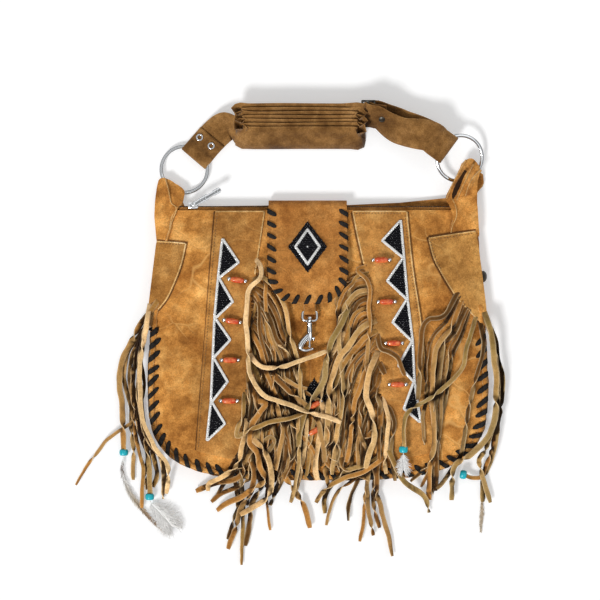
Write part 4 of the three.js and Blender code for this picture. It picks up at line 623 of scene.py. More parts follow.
class Nodes(Tree):
    """The nodes of a material with a Principled shader."""

    def __init__(self, name: str) -> None:
        """Makes the material."""
        self.material = bpy.data.materials.new(name)
        self.material.use_nodes = True
        super().__init__(self.material.node_tree)
        self.shader = self.tree.nodes["Principled BSDF"]
        self.place = self.node("ShaderNodeTexCoord").outputs["Object"]

    def noise(
        self, scale: float, detail: float = 3.0, rough: float = 0.55, output: str = "Fac"
    ) -> NodeSocket:
        """Returns smooth noise over the piece, scale features to a metre."""
        made = self.node("ShaderNodeTexNoise", scale=scale, detail=detail, roughness=rough)
        self.link(self.place, made.inputs["Vector"])
        return made.outputs[output]

    def blend(self, share: NodeSocket | float, a: object, b: object, way: str = "MIX") -> NodeSocket:
        """Returns two colours mixed.

        Args:
            share: how much of b shows.
            a: a colour or a socket that gives one.
            b: the other one.
            way: the name of the mixing rule.
        """
        made = self.node("ShaderNodeMix", data_type="RGBA", blend_type=way)
        for socket, value in ((made.inputs[0], share), (made.inputs[6], a), (made.inputs[7], b)):
            self.fill(socket, value)
        return made.outputs[2]

    def worn(
        self, share: float, colour: NodeSocket, source: NodeSocket, *stops: tuple[float, Colour]
    ) -> NodeSocket:
        """Returns a colour multiplied by a ramp of tones that is read at a value."""
        return self.blend(share, colour, self.ramp(source, *stops), "MULTIPLY")

    def strand(self) -> list[NodeSocket]:
        """Returns the red, green, blue and alpha of the vertices' tints."""
        tint = self.node("ShaderNodeAttribute", attribute_name="strand")
        parts = self.node("ShaderNodeSeparateColor")
        self.link(tint.outputs["Color"], parts.inputs["Color"])
        return [*parts.outputs, tint.outputs["Alpha"]]

    def relief(self, *heights: tuple[NodeSocket, float]) -> None:
        """Gives the shader a bump of several heights, each with its depth in millimetres."""
        normal = None
        for source, depth in heights:
            bump = self.node("ShaderNodeBump", strength=1.0, distance=depth * MM)
            self.link(source, bump.inputs["Height"])
            if normal is not None:
                self.link(normal, bump.inputs["Normal"])
            normal = bump.outputs["Normal"]
        self.link(normal, self.shader.inputs["Normal"])

    def surface(
        self, colour: object, rough: object, shine: float, sheen: float = 0.0, metal: float = 0.0,
        coat: float = 0.0,
    ) -> Material:
        """Fills in the shader and returns the material.

        Args:
            colour: a colour or a socket that gives one.
            rough: the roughness or a socket that gives it.
            shine: level of the plain reflections.
            sheen: weight of the nap's pale rim.
            metal: how much of it is metal.
            coat: weight of the clear coat.
        """
        for title, value in (
            ("Base Color", colour), ("Roughness", rough), ("Specular IOR Level", shine),
            ("Sheen Weight", sheen), ("Metallic", metal), ("Coat Weight", coat),
        ):
            self.fill(self.shader.inputs[title], value)
        return self.material


@dataclass(frozen=True)
class Look(ABC):
    """A finish that its material is made from."""

    name: str

    def get(self) -> Material:
        """Returns the material, made once."""
        return bpy.data.materials.get(self.name) or self.make()

    @abstractmethod
    def make(self) -> Material:
        """Makes the material."""


@dataclass(frozen=True)
class Suede(Look):
    """Napped leather, mottled where the nap lies another way, with a few creases."""

    base: Colour
    dark: Colour
    light: Colour
    crease: float = 0.35

    def make(self) -> Material:
        """Makes the material."""
        nodes = Nodes(self.name)
        nap = nodes.noise(760.0, 3.0, 0.7)
        patches = nodes.noise(34.0, 4.0, 0.62)
        colour = nodes.ramp(patches, (0.30, self.dark), (0.50, self.base), (0.70, self.light))
        for share, source, stops in (
            (0.9, nodes.noise(11.0, 2.0, 0.5), ((0.36, (0.70, 0.66, 0.60)), (0.60, (1.14, 1.14, 1.13)))),
            (0.85, nap, ((0.38, (0.76, 0.73, 0.68)), (0.50, WHITE), (0.62, (1.22, 1.22, 1.20)))),
            (0.9, nodes.noise(75.0, 5.0, 0.68), ((0.40, (0.70, 0.65, 0.58)), (0.60, (1.14, 1.14, 1.13)))),
        ):
            colour = nodes.worn(share, colour, source, *stops)
        bent = nodes.noise(14.0, 2.0, 0.5, "Color")
        cells = nodes.node("ShaderNodeTexVoronoi", feature="DISTANCE_TO_EDGE", scale=17.0)
        nodes.link(nodes.blend(0.06, nodes.place, bent, "LINEAR_LIGHT"), cells.inputs["Vector"])
        lines = nodes.ramp(cells.outputs["Distance"], (0.0, WHITE), (0.035, BLACK))
        here = nodes.worn(1.0, lines, nodes.noise(8.0, 1.0), (0.50, BLACK), (0.62, WHITE))
        colour = nodes.blend(nodes.blend(self.crease, BLACK, here), colour, self.light)
        nodes.relief((nodes.noise(60.0, 3.0), 1.6), (lines, -0.3), (nap, 0.30))
        return nodes.surface(colour, 0.95, 0.12, 0.12)


@dataclass(frozen=True)
class FringeSuede(Look):
    """The cut fringe: each strip has its own tone, a paler back and pale cut edges, with painted shade in the
    gaps under the strips.
    """

    tones: tuple[Colour, ...]
    back: Colour
    edge: Colour
    # colour of the painted shade in the gaps under the strips
    painted_gap_shade: Colour

    def make(self) -> Material:
        """Makes the material."""
        nodes = Nodes(self.name)
        tone, back, edge, depth = nodes.strand()
        count = len(self.tones) - 1
        colour = nodes.ramp(tone, *((i / count, part) for i, part in enumerate(self.tones)))
        patches = nodes.noise(70.0, 3.0, 0.6)
        colour = nodes.worn(0.9, colour, patches, (0.34, (0.76, 0.72, 0.66)), (0.62, (1.14, 1.13, 1.10)))
        colour = nodes.blend(back, colour, self.back)
        nap = nodes.noise(430.0, 4.0, 0.75)
        colour = nodes.worn(0.8, colour, nap, (0.38, (0.80, 0.77, 0.72)), (0.62, (1.18, 1.18, 1.16)))
        colour = nodes.blend(edge, colour, self.edge)
        # painted shade: the tint's alpha darkens the colour towards the gap colour where a strip lies deep
        # under others
        colour = nodes.worn(1.0, colour, depth, (0.0, WHITE), (1.0, self.painted_gap_shade))
        nodes.relief((nodes.noise(160.0, 2.0), 0.6), (nap, 0.2))
        return nodes.surface(colour, 0.93, 0.12, 0.10)


@dataclass(frozen=True)
class Glossy(Look):
    """A hard finish: beads, lace or metal, with slight changes of colour."""

    colour: Colour
    other: Colour
    rough: float
    metal: float = 0.0
    scale: float = 90.0
    coat: float = 0.0
    depth: float = 0.05
    shine: float = 0.5

    def make(self) -> Material:
        """Makes the material."""
        nodes = Nodes(self.name)
        colour = nodes.ramp(nodes.noise(self.scale, 3.0, 0.6), (0.38, self.colour), (0.62, self.other))
        worn = nodes.noise(self.scale * 2.3, 2.0)
        rough = nodes.ramp(worn, (0.3, (self.rough * 0.8,) * 3), (0.7, (self.rough * 1.25,) * 3))
        nodes.relief((nodes.noise(self.scale * 6, 2.0), self.depth))
        return nodes.surface(colour, rough, self.shine, metal=self.metal, coat=self.coat)


@dataclass(frozen=True)
class Feathered(Look):
    """A feather's barbs, whose colour runs along the feather."""

    stops: tuple[tuple[float, Colour], ...]

    def make(self) -> Material:
        """Makes the material."""
        nodes = Nodes(self.name)
        along, *_ = nodes.strand()
        nodes.relief((nodes.noise(700.0, 2.0), 0.015))
        return nodes.surface(nodes.ramp(along, *self.stops), 0.9, 0.1, 0.4)


class Finish(Enum):
    """Every finish of the bag."""

    BODY = Suede("body_suede", (0.64, 0.286, 0.066), (0.34, 0.127, 0.023), (0.88, 0.48, 0.15), 0.7)
    OVERLAY = Suede("overlay_suede", (0.64, 0.325, 0.088), (0.46, 0.215, 0.053), (0.80, 0.46, 0.150), 0.2)
    # painted shadow: near-black suede for the slit between the folds of the right corner
    FOLD_SHADOW = Suede("painted_fold_shadow", (0.040, 0.018, 0.007), (0.022, 0.010, 0.004), (0.070, 0.032, 0.012), 0.0)
    PANEL = Suede("panel_suede", (0.56, 0.262, 0.068), (0.42, 0.180, 0.042), (0.70, 0.38, 0.120), 0.3)
    SIDE = Suede("side_suede", (0.42, 0.195, 0.048), (0.29, 0.122, 0.026), (0.56, 0.30, 0.095), 0.3)
    # painted shadow: a dark brown band laid on the bag beside a panel's edge
    GROOVE = Suede("edge_groove", (0.20, 0.085, 0.023), (0.12, 0.050, 0.013), (0.30, 0.135, 0.038), 0.0)
    FLAP = Suede("flap_suede", (0.50, 0.212, 0.050), (0.39, 0.150, 0.032), (0.60, 0.29, 0.085), 0.1)
    STRAP = Suede("strap_suede", (0.25, 0.125, 0.038), (0.155, 0.072, 0.020), (0.35, 0.19, 0.070), 0.2)
    STRAP_EDGE = Suede("strap_edge", (0.36, 0.185, 0.060), (0.25, 0.12, 0.036), (0.48, 0.27, 0.10), 0.0)
    FACING = Suede("mouth_suede", (0.48, 0.218, 0.056), (0.35, 0.152, 0.036), (0.62, 0.31, 0.098), 0.1)
    EDGE = Suede("cut_edge", (0.80, 0.52, 0.22), (0.64, 0.38, 0.14), (0.90, 0.66, 0.36), 0.0)
    FRINGE = FringeSuede(
        "fringe_suede",
        # tones from dark to pale; the dark end goes to strips that lie under others, as painted shade
        ((0.085, 0.040, 0.010), (0.27, 0.115, 0.025), (0.54, 0.245, 0.058), (0.30, 0.20, 0.064),
         (0.72, 0.42, 0.16), (1.0, 0.68, 0.36)),
        (0.50, 0.33, 0.135),
        (1.0, 0.76, 0.45),
        # painted shade colour of the gaps under the strips
        (0.055, 0.040, 0.018),
    )
    LACE = Glossy(
        "black_lace", (0.006, 0.005, 0.005), (0.018, 0.015, 0.013), 0.6, scale=300.0, depth=0.12, shine=0.2
    )
    THREAD = Glossy("tan_thread", (0.20, 0.105, 0.035), (0.30, 0.17, 0.065), 0.8, scale=400.0)
    BLACK_BEAD = Glossy(
        "black_bead", (0.004, 0.003, 0.005), (0.014, 0.007, 0.014), 0.25, scale=260.0, shine=0.28
    )
    WHITE_BEAD = Glossy("white_bead", (0.99, 0.99, 0.99), (0.95, 0.96, 0.97), 0.3, scale=260.0, depth=0.006)
    ORANGE = Glossy("orange_glass", (0.62, 0.050, 0.014), (0.85, 0.22, 0.060), 0.2, scale=230.0, coat=0.3)
    TURQUOISE = Glossy("turquoise_bead", (0.0, 0.40, 0.50), (0.01, 0.50, 0.60), 0.2, scale=60.0, coat=0.4)
    CHROME = Glossy("chrome", (0.82, 0.83, 0.85), (0.88, 0.89, 0.91), 0.10, 1.0, 60.0, depth=0.01)
    DARK_METAL = Glossy("dark_metal", (0.25, 0.22, 0.195), (0.38, 0.35, 0.32), 0.28, 1.0, 120.0)
    FELT = Glossy("black_felt", (0.004, 0.004, 0.005), (0.010, 0.008, 0.010), 0.9, scale=200.0, shine=0.0)
    CLOTH = Glossy("zip_cloth", (0.20, 0.095, 0.030), (0.28, 0.14, 0.045), 0.9, scale=500.0)

    def get(self) -> Material:
        """Returns the finish's material."""
        return self.value.get()


@dataclass
class Studio:
    """The pale floor, the soft light and the camera straight above."""

    pitch: float = 1.1
    photo_size: float = 600.0
    photo_origin: Point = (318.0, 340.0)
    camera_height: float = 2600.0
    face_height: float = 18.0
    sensor: float = 36.0
    floor_tone: float = 0.76
    floor_glow: float = 0.34
    surround: float = 0.40
    mirrored: tuple[Point, ...] = (
        (0.0, 0.03), (0.42, 0.10), (0.66, 0.42), (0.80, 1.15), (0.90, 0.95), (0.97, 0.30),
    )
    lamps: tuple[tuple[str, tuple[float, float, float], float, float], ...] = (
        ("key", (36, -28, 0), 2.15, 14), ("fill", (-35, 42, 0), 0.40, 50),
    )

    def floor(self) -> None:
        """Lays the floor."""
        bpy.ops.mesh.primitive_plane_add(size=8.0, location=(0, 0, -0.0004))
        plane = bpy.context.object
        plane.name = "floor"
        nodes = Nodes("floor_paper")
        nodes.shader.inputs["Emission Color"].default_value = (*WHITE, 1.0)
        seen = nodes.node("ShaderNodeLightPath").outputs["Is Camera Ray"]
        nodes.link(nodes.sum(seen, self.floor_glow, "MULTIPLY"), nodes.shader.inputs["Emission Strength"])
        plane.data.materials.append(nodes.surface((self.floor_tone,) * 3, 0.9, 0.0))
        plane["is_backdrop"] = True

    def lights(self) -> None:
        """Sets a soft key light, a weak fill and a surround, which metal mirrors as bands."""
        for name, angles, strength, spread in self.lamps:
            lamp = bpy.data.lights.new(name, "SUN")
            lamp.energy = strength
            lamp.angle = math.radians(spread)
            made = bpy.data.objects.new(name, lamp)
            made.rotation_euler = [math.radians(a) for a in angles]
            bpy.context.collection.objects.link(made)
        world = bpy.data.worlds.new("surround")
        world.use_nodes = True
        world.node_tree.nodes.clear()
        nodes = Tree(world.node_tree)
        split = nodes.node("ShaderNodeSeparateXYZ")
        nodes.link(nodes.node("ShaderNodeTexCoord").outputs["Generated"], split.inputs[0])
        bands = nodes.ramp(split.outputs["Z"], *((place, (level,) * 3) for place, level in self.mirrored))
        plain = nodes.node("ShaderNodeBackground", color=(*WHITE, 1.0), strength=self.surround)
        shown = nodes.node("ShaderNodeBackground", strength=1.0)
        nodes.link(bands, shown.inputs["Color"])
        rays = nodes.node("ShaderNodeLightPath").outputs
        choose = nodes.node("ShaderNodeMixShader")
        mirror = nodes.sum(rays["Is Glossy Ray"], rays["Is Transmission Ray"], "MAXIMUM")
        for target, source in zip(choose.inputs, (mirror, plain.outputs[0], shown.outputs[0])):
            nodes.link(source, target)
        nodes.link(choose.outputs[0], nodes.node("ShaderNodeOutputWorld").inputs["Surface"])
        bpy.context.scene.world = world

    def camera(self) -> None:
        """Hangs the camera over the middle of the photograph's frame."""
        middle = self.photo_size / 2
        x = (middle - self.photo_origin[0]) * self.pitch
        y = (self.photo_origin[1] - middle) * self.pitch
        data = bpy.data.cameras.new("camera")
        data.sensor_width = self.sensor
        data.lens = self.sensor * (self.camera_height - self.face_height) / (self.photo_size * self.pitch)
        data.clip_end = 20.0
        made = bpy.data.objects.new("camera", data)
        made.location = (x * MM, y * MM, self.camera_height * MM)
        bpy.context.collection.objects.link(made)
        bpy.context.scene.camera = made
        bpy.context.scene.view_settings.view_transform = "Standard"


STITCH_PITCH = 3.4
STITCH_SHAPE = ((0.14, 0.2, -0.15), (0.305, 1.0, 0.35), (0.635, 1.0, 0.35), (0.8, 0.2, -0.15))
THREAD_RADIUS = 0.42


def sewn_line(name: str, paths: Sequence[Sequence[Point]], surface: Height, slot: str, node: str) -> None:
    """Sews rows of short stitches along some lines.

    Args:
        name: the piece's name.
        paths: the lines, each of flat points.
        surface: height of the leather's face.
        slot: not used.
        node: the node that it stands for.
    """
    shell = Shell()
    for path in paths:
        line = Line(path)
        for i in range(int(line.length / STITCH_PITCH)):
            rows = []
            side = left_of(line.way((i + 0.5) * STITCH_PITCH))
            for share, swell, lift in STITCH_SHAPE:
                spot = line.at((i + share) * STITCH_PITCH)
                spot.z = surface(spot.x, spot.y) + lift
                rows.append(shell.circle(spot, side, UP, THREAD_RADIUS * swell, 5))
            shell.sweep(rows)
    shell.piece(name, [Finish.THREAD], slot, node)


def of_photo(points: Iterable[Point]) -> list[Point]:
    """Returns points read off the photograph, in its pixels, as places on the bag."""
    studio = Studio()
    cx, cy = studio.photo_origin
    return [((px - cx) * studio.pitch, (cy - py) * studio.pitch) for px, py in points]


def flat_section(wide: float, thick: float) -> list[tuple[float, float, float]]:
    """Returns the section of a leather strip: across, up, and how much it is a cut edge."""
    h, t = wide / 2, thick / 2
    bevel = min(0.45, h * 0.3)
    quarter = [(h - bevel, t, 0.25), (h * 0.45, t * 1.06, 0.0)]
    upper = [*quarter, *((-u, v, edge) for u, v, edge in reversed(quarter))]
    return [(h, 0.0, 1.0), *upper, (-h, 0.0, 1.0), *((u, -v, edge) for u, v, edge in reversed(upper))]


EDGE_MARKS = (1, 0, 0, 0, 1, 1, 0, 0, 0, 1)
LACE_THICK = 0.95


def band(
    shell: Shell, spots: Sequence[Vector], acrosses: Sequence[Vector], wide: float | Callable[[float], float],
    thick: float, mark: int = 0, edge_mark: int = 1,
) -> None:
    """Adds a leather band through some points.

    Args:
        shell: takes the new faces.
        spots: the points of its middle line.
        acrosses: the direction of its width at each point.
        wide: its width, or one read at the share of its length.
        thick: its thickness.
        mark: the number of its face's finish.
        edge_mark: the number of its cut edge's finish.
    """
    rings = []
    for i, (spot, across, way) in enumerate(zip(spots, acrosses, ways(spots))):
        side = (across - way * across.dot(way)).normalized()
        up = side.cross(way)
        width = wide(i / (len(spots) - 1)) if callable(wide) else wide
        rings.append([shell.add(spot + side * u + up * v) for u, v, _ in flat_section(width, thick)])
    shell.sweep(rings, [edge_mark if m else mark for m in EDGE_MARKS])


def stitch(shell: Shell, spots: Sequence[Vector], across: Vector, wide: float) -> None:
    """Adds one lace stitch that narrows towards both of its holes."""
    points = Line(spots, 1.2).samples(12)
    band(
        shell, points, [across] * len(points),
        lambda t: wide * (0.5 + 0.5 * smooth(min(t / 0.2, (1 - t) / 0.28))), LACE_THICK, 0, 0,
    )


def beside(path: Sequence[Point], x: float, y: float) -> tuple[float, int]:
    """Returns how far a point lies from a line of straight pieces, and on which side, 1 for its left."""
    best, side = 1e9, 1
    for (x0, y0), (x1, y1) in zip(path, path[1:]):
        dx, dy = x1 - x0, y1 - y0
        t = clamp(((x - x0) * dx + (y - y0) * dy) / (dx * dx + dy * dy), 0.0, 1.0)
        off = math.hypot(x - x0 - t * dx, y - y0 - t * dy)
        if off < best:
            best = off
            side = 1 if dx * (y - y0) - dy * (x - x0) > 0 else -1
    return best, side


@dataclass(frozen=True)
class Corner:
    """A folded corner of the mouth that holds a ring.

    Attributes:
        name: the side of the bag that it is on.
        inner: 1 if the bag's middle lies to its right, -1 if it lies to its left.
        tip_y: where its tip ends.
        tip_z: the height of its tip.
        free_y: from where on it comes out of the side panel.
        ridge: the height of the ridge along its crease.
        outline: its outline in the photograph's pixels.
        crease: its crease, in the same way.
    """

    name: str
    inner: int
    tip_y: float
    tip_z: float
    free_y: float
    ridge: float
    outline: tuple[Point, ...]
    crease: tuple[Point, ...]

    def make(self) -> None:
        """Makes the corner."""
        crease = of_photo(self.crease)

        def height(x: float, y: float) -> float:
            free = smooth((y - self.free_y) / 12)
            over = SHAPE.front(x, min(y, MOUTH_EDGE_Y)) - 1.4 + 1.9 * free
            off, side = beside(crease, x, y)
            reach = 1.8 if side * self.inner < 0 else 5.0
            pucker = 0.8 * ripple(x + 0.35 * self.inner * y, 0, 5, self.tip_y) * smooth((y - 125) / 30)
            rise = pucker + self.ridge * math.exp(-((off / reach) ** 2))
            return mix(over, self.tip_z, smooth((y - 140) / (self.tip_y - 140))) + rise * free

        leather_sheet(
            f"corner_{self.name}", rounded(of_photo(self.outline), 5, 5), height, [Finish.BODY, Finish.EDGE],
            "suede_body", f"ring_tab_{self.name}", thick=1.6, step=3.0,
        )


MOUTH_EDGE_Y = 146.0
CORNERS = (
    Corner(
        "left", 1, 172.0, 7.8, 106.0, 1.6,
        ((156.8, 246), (154, 215), (155.5, 192), (158, 178), (165, 177.2), (175, 183), (185, 190),
         (182.5, 204),
         (178, 207), (171, 218), (169.5, 230), (165, 241)),
        ((165, 179), (168, 190), (170.5, 204), (176, 209), (171, 222), (168.5, 232), (165.5, 242)),
    ),
    Corner(
        "right", -1, 188.0, 13.5, 117.0, 2.4,
        ((445, 199), (453, 183), (459, 171), (463, 161), (471, 157.5), (475.5, 160), (481, 168), (477.5, 184),
         (477.5, 205), (479, 225), (480, 238), (462, 238), (449.5, 232), (453.5, 216), (450, 205)),
        ((463, 168), (458, 180), (452, 196), (455, 206), (456, 216), (451.5, 226), (450.5, 240)),
    ),
)


@dataclass
class Body:
    """The suede body: front, back, the gusset between them and its laced seam."""

    thick: float = 1.4
    rim_low: float = 3.0
    rim_high: float = 7.6
    rim_top_y: float = 46.0
    lacing_top_y: float = 12.0
    stitch_pitch: float = 13.6
    stitch_wide: float = 5.3
    stitch_slant: float = -9.5
    gusset: tuple[Point, ...] = (
        (14, 1.75), (5.8, 1.7), (2.6, 2.9), (0.5, 5.4), (0.0, 8.2), (0.9, 10.9), (3.0, 12.4), (14, 12.5),
        (14, 11.2), (3.6, 11.1), (2.2, 10.1), (1.5, 8.2), (1.9, 6.0), (3.6, 4.2), (6.4, 3.1), (14, 3.1),
    )

    def make(self) -> None:
        """Makes all pieces of the body."""
        self.skins()
        self.side()
        self.seam()
        self.lacing()
        self.corners()
        LOG.info("body made")

    def skins(self) -> None:
        """Makes the front and the back sheet."""
        finishes = [Finish.BODY, Finish.EDGE]
        leather_sheet(
            "front_skin", SHAPE.rim(self.rim_low, SHAPE.front_mouth_y), SHAPE.raised(-self.thick),
            finishes, "suede_body", "front_panel", thick=self.thick,
        )
        notch = [(32.2, 148.0), (32.2, 144.3), (-54.9, 144.3), (-54.9, 148.0)]
        leather_sheet(
            "back_skin", [*SHAPE.rim(6, SHAPE.mouth_y), *notch], lambda x, y: 0.02, finishes,
            "suede_body", "back_panel", thick=self.thick, step=12.0,
        )

    def side(self) -> None:
        """Makes the gusset, a channel that runs round the sides and the bottom."""
        shell = Shell()
        line = Line(SHAPE.rim(0, SHAPE.front_mouth_y), 3.0)
        rings = []
        for s in line.marks(int(line.length / 3)):
            fold = 1.1 * ripple(s, 0, 13, 2.2) + 0.6 * ripple(s, 0, 5, 6.1)
            ring = []
            for inset, z in self.gusset:
                loose = math.exp(-((z - 8.2) / 3.4) ** 2) if inset < 6 else 0.0
                spot = line.inward(s, inset + 0.35 + loose * (0.5 + fold))
                ring.append(shell.add((spot.x, spot.y, z)))
            rings.append(ring)
        shell.sweep(rings)
        shell.piece("gusset_skin", [Finish.BODY], "suede_body", "side_gusset")

    def seam(self) -> None:
        """Makes the raised rim that the lace is wrapped over, drawn in at each stitch."""
        shell = Shell()
        line = Line(SHAPE.rim(0, self.rim_top_y), 3.0)
        rings = []
        for s in line.marks(int(line.length / 1.7)):
            pinch = 0.5 + 0.5 * math.cos(2 * math.pi * (s - 34.0) / self.stitch_pitch)
            low = self.rim_low - 0.9 + 1.0 * pinch
            high = self.rim_high + 0.7 - 0.9 * pinch + 0.4 * ripple(s, 0, 9, 4.0)
            top = 17.3 - 1.0 * pinch + 0.4 * ripple(s, 0, 7, 1.0)
            top = mix(14.6, top, smooth(min(s, line.length - s) / 12))
            section = [
                (low + 0.5, 12.7), (low, 14.2), (low + 0.7, top - 0.7), (low + 1.7, top),
                (high - 1.4, top - 0.1),
                (high - 0.5, top - 0.5), (high, top - 1.3), (high - 0.2, 13.2),
            ]
            rings.append([shell.add((*line.inward(s, inset).xy, z)) for inset, z in section])
        shell.sweep(rings, (1, 1, 0, 0, 0, 1, 1, 0))
        shell.piece("seam_rim", [Finish.BODY, Finish.EDGE], "suede_body", "side_gusset")

    def lacing(self) -> None:
        """Sews the lace over the rim."""
        shell = Shell()
        line = Line(SHAPE.rim(0, self.lacing_top_y), 3.0)
        rng = random.Random(5)
        count = int(line.length / self.stitch_pitch)
        over_rim = ((2.6, 13.0, -0.15), (1.9, 15.4, -0.05), (2.4, 17.4, 0.05), (4.4, 18.3, 0.22),
                    (6.8, 18.0, 0.42))
        on_front = ((8.8, 2.2, 0.62), (10.8, 1.5, 0.82), (12.8, 0.8, 0.97), (14.0, -0.7, 1.0))
        for i in range(count):
            s = (i + 0.5) * line.length / count
            slant = self.stitch_slant * rng.uniform(0.85, 1.2)
            spots = []
            for way_in, raised in ((over_rim, False), (on_front, True)):
                for inset, z, share in way_in:
                    spot = line.inward(s + slant * share, inset)
                    spots.append(Vector((*spot.xy, z + (SHAPE.front(spot.x, spot.y) if raised else 0.0))))
            stitch(shell, spots, line.way(s), self.stitch_wide * rng.uniform(0.92, 1.08))
        shell.piece("body_stitches", [Finish.LACE], "lace", "body_lacing")

    def corners(self) -> None:
        """Makes the folded corners of the mouth that hold the rings, and the facing of the mouth."""
        for corner in CORNERS:
            corner.make()
        self.folds()
        facing = of_photo(((160, 213), (160, 206), (266, 205), (348, 204.5), (400, 202.2), (447, 197.5),
                           (464, 199), (477.5, 206), (477.5, 213)))
        leather_sheet(
            "mouth_facing", facing, lambda x, y: 3.2 + 0.5 * ripple(x, y, 22, 5),
            [Finish.FACING, Finish.EDGE], "suede_body", "back_panel",
        )

    def folds(self) -> None:
        """Adds the gathered folds of the corners: raw edges on the left, puckers below the right ring, and a
        near-black band in the slit between the right corner's folds as painted shadow.
        """
        shell = Shell()
        for pixels, high, end, wide, tilt in (
            (((165, 179), (168, 190), (170.5, 203), (176, 208.5), (171.5, 221), (169, 231), (165.5, 241)),
             15.2, 12.8, 3.0, 0.9),
            (((178, 206.5), (172.5, 217), (170, 229), (166.5, 241)), 15.4, 15.4, 3.2, -0.7),
            (((452, 199), (455, 206), (456, 216), (452, 226), (451, 232.5)), 17.6, 17.6, 2.8, 0.9),
            (((447, 199), (453, 186), (460, 172), (466, 160)), 17.6, 18.4, 5.0, 0.75),
            (((456, 200), (461, 187), (467, 174), (473, 164)), 18.4, 19.0, 5.0, -0.7),
            (((466, 196), (470, 186), (475, 177), (481, 170)), 17.4, 18.6, 5.5, 0.7),
            (((451.5, 199.5), (456, 190), (461, 180), (466, 170.5)), 16.8, 18.2, 6.0, 0.0),
        ):
            line = Line(of_photo(pixels), 1.5)
            spots, acrosses = [], []
            for s in line.marks(int(line.length / 2)):
                spot = line.at(s)
                level = max(SHAPE.front(spot.x, min(spot.y, MOUTH_EDGE_Y)) + 2.2, high)
                spots.append(Vector((*spot.xy, mix(level, end, smooth((spot.y - 140) / 34)))))
                lean = tilt + 0.3 * ripple(s, end, 8, high) * (tilt != 0)
                acrosses.append(left_of(line.way(s)) * math.cos(lean) + UP * math.sin(lean))
            # the band with no tilt is a painted shadow in the slit between the folds
            shadow_mark = 2 if tilt == 0 else 0
            band(
                shell, spots, acrosses,
                lambda t, w=wide: w * (0.55 + 0.45 * math.sin(math.pi * clamp(t, 0.05, 0.95))),
                1.3, shadow_mark, shadow_mark or 1,
            )
        finishes = [Finish.BODY, Finish.EDGE, Finish.FOLD_SHADOW]
        shell.piece("corner_folds", finishes, "suede_body", "ring_tab_left", "ring_tab_right")


@dataclass(frozen=True)
class Strip:
    """One strip of a fringe: its layers on the bag and on the floor, and its middle line."""

    level: float
    land: float
    path: tuple[Point, ...]


def strips(*rows: tuple[float, float, tuple[Point, ...]]) -> tuple[Strip, ...]:
    """Returns the strips that some rows describe."""
    return tuple(Strip(*row) for row in rows)


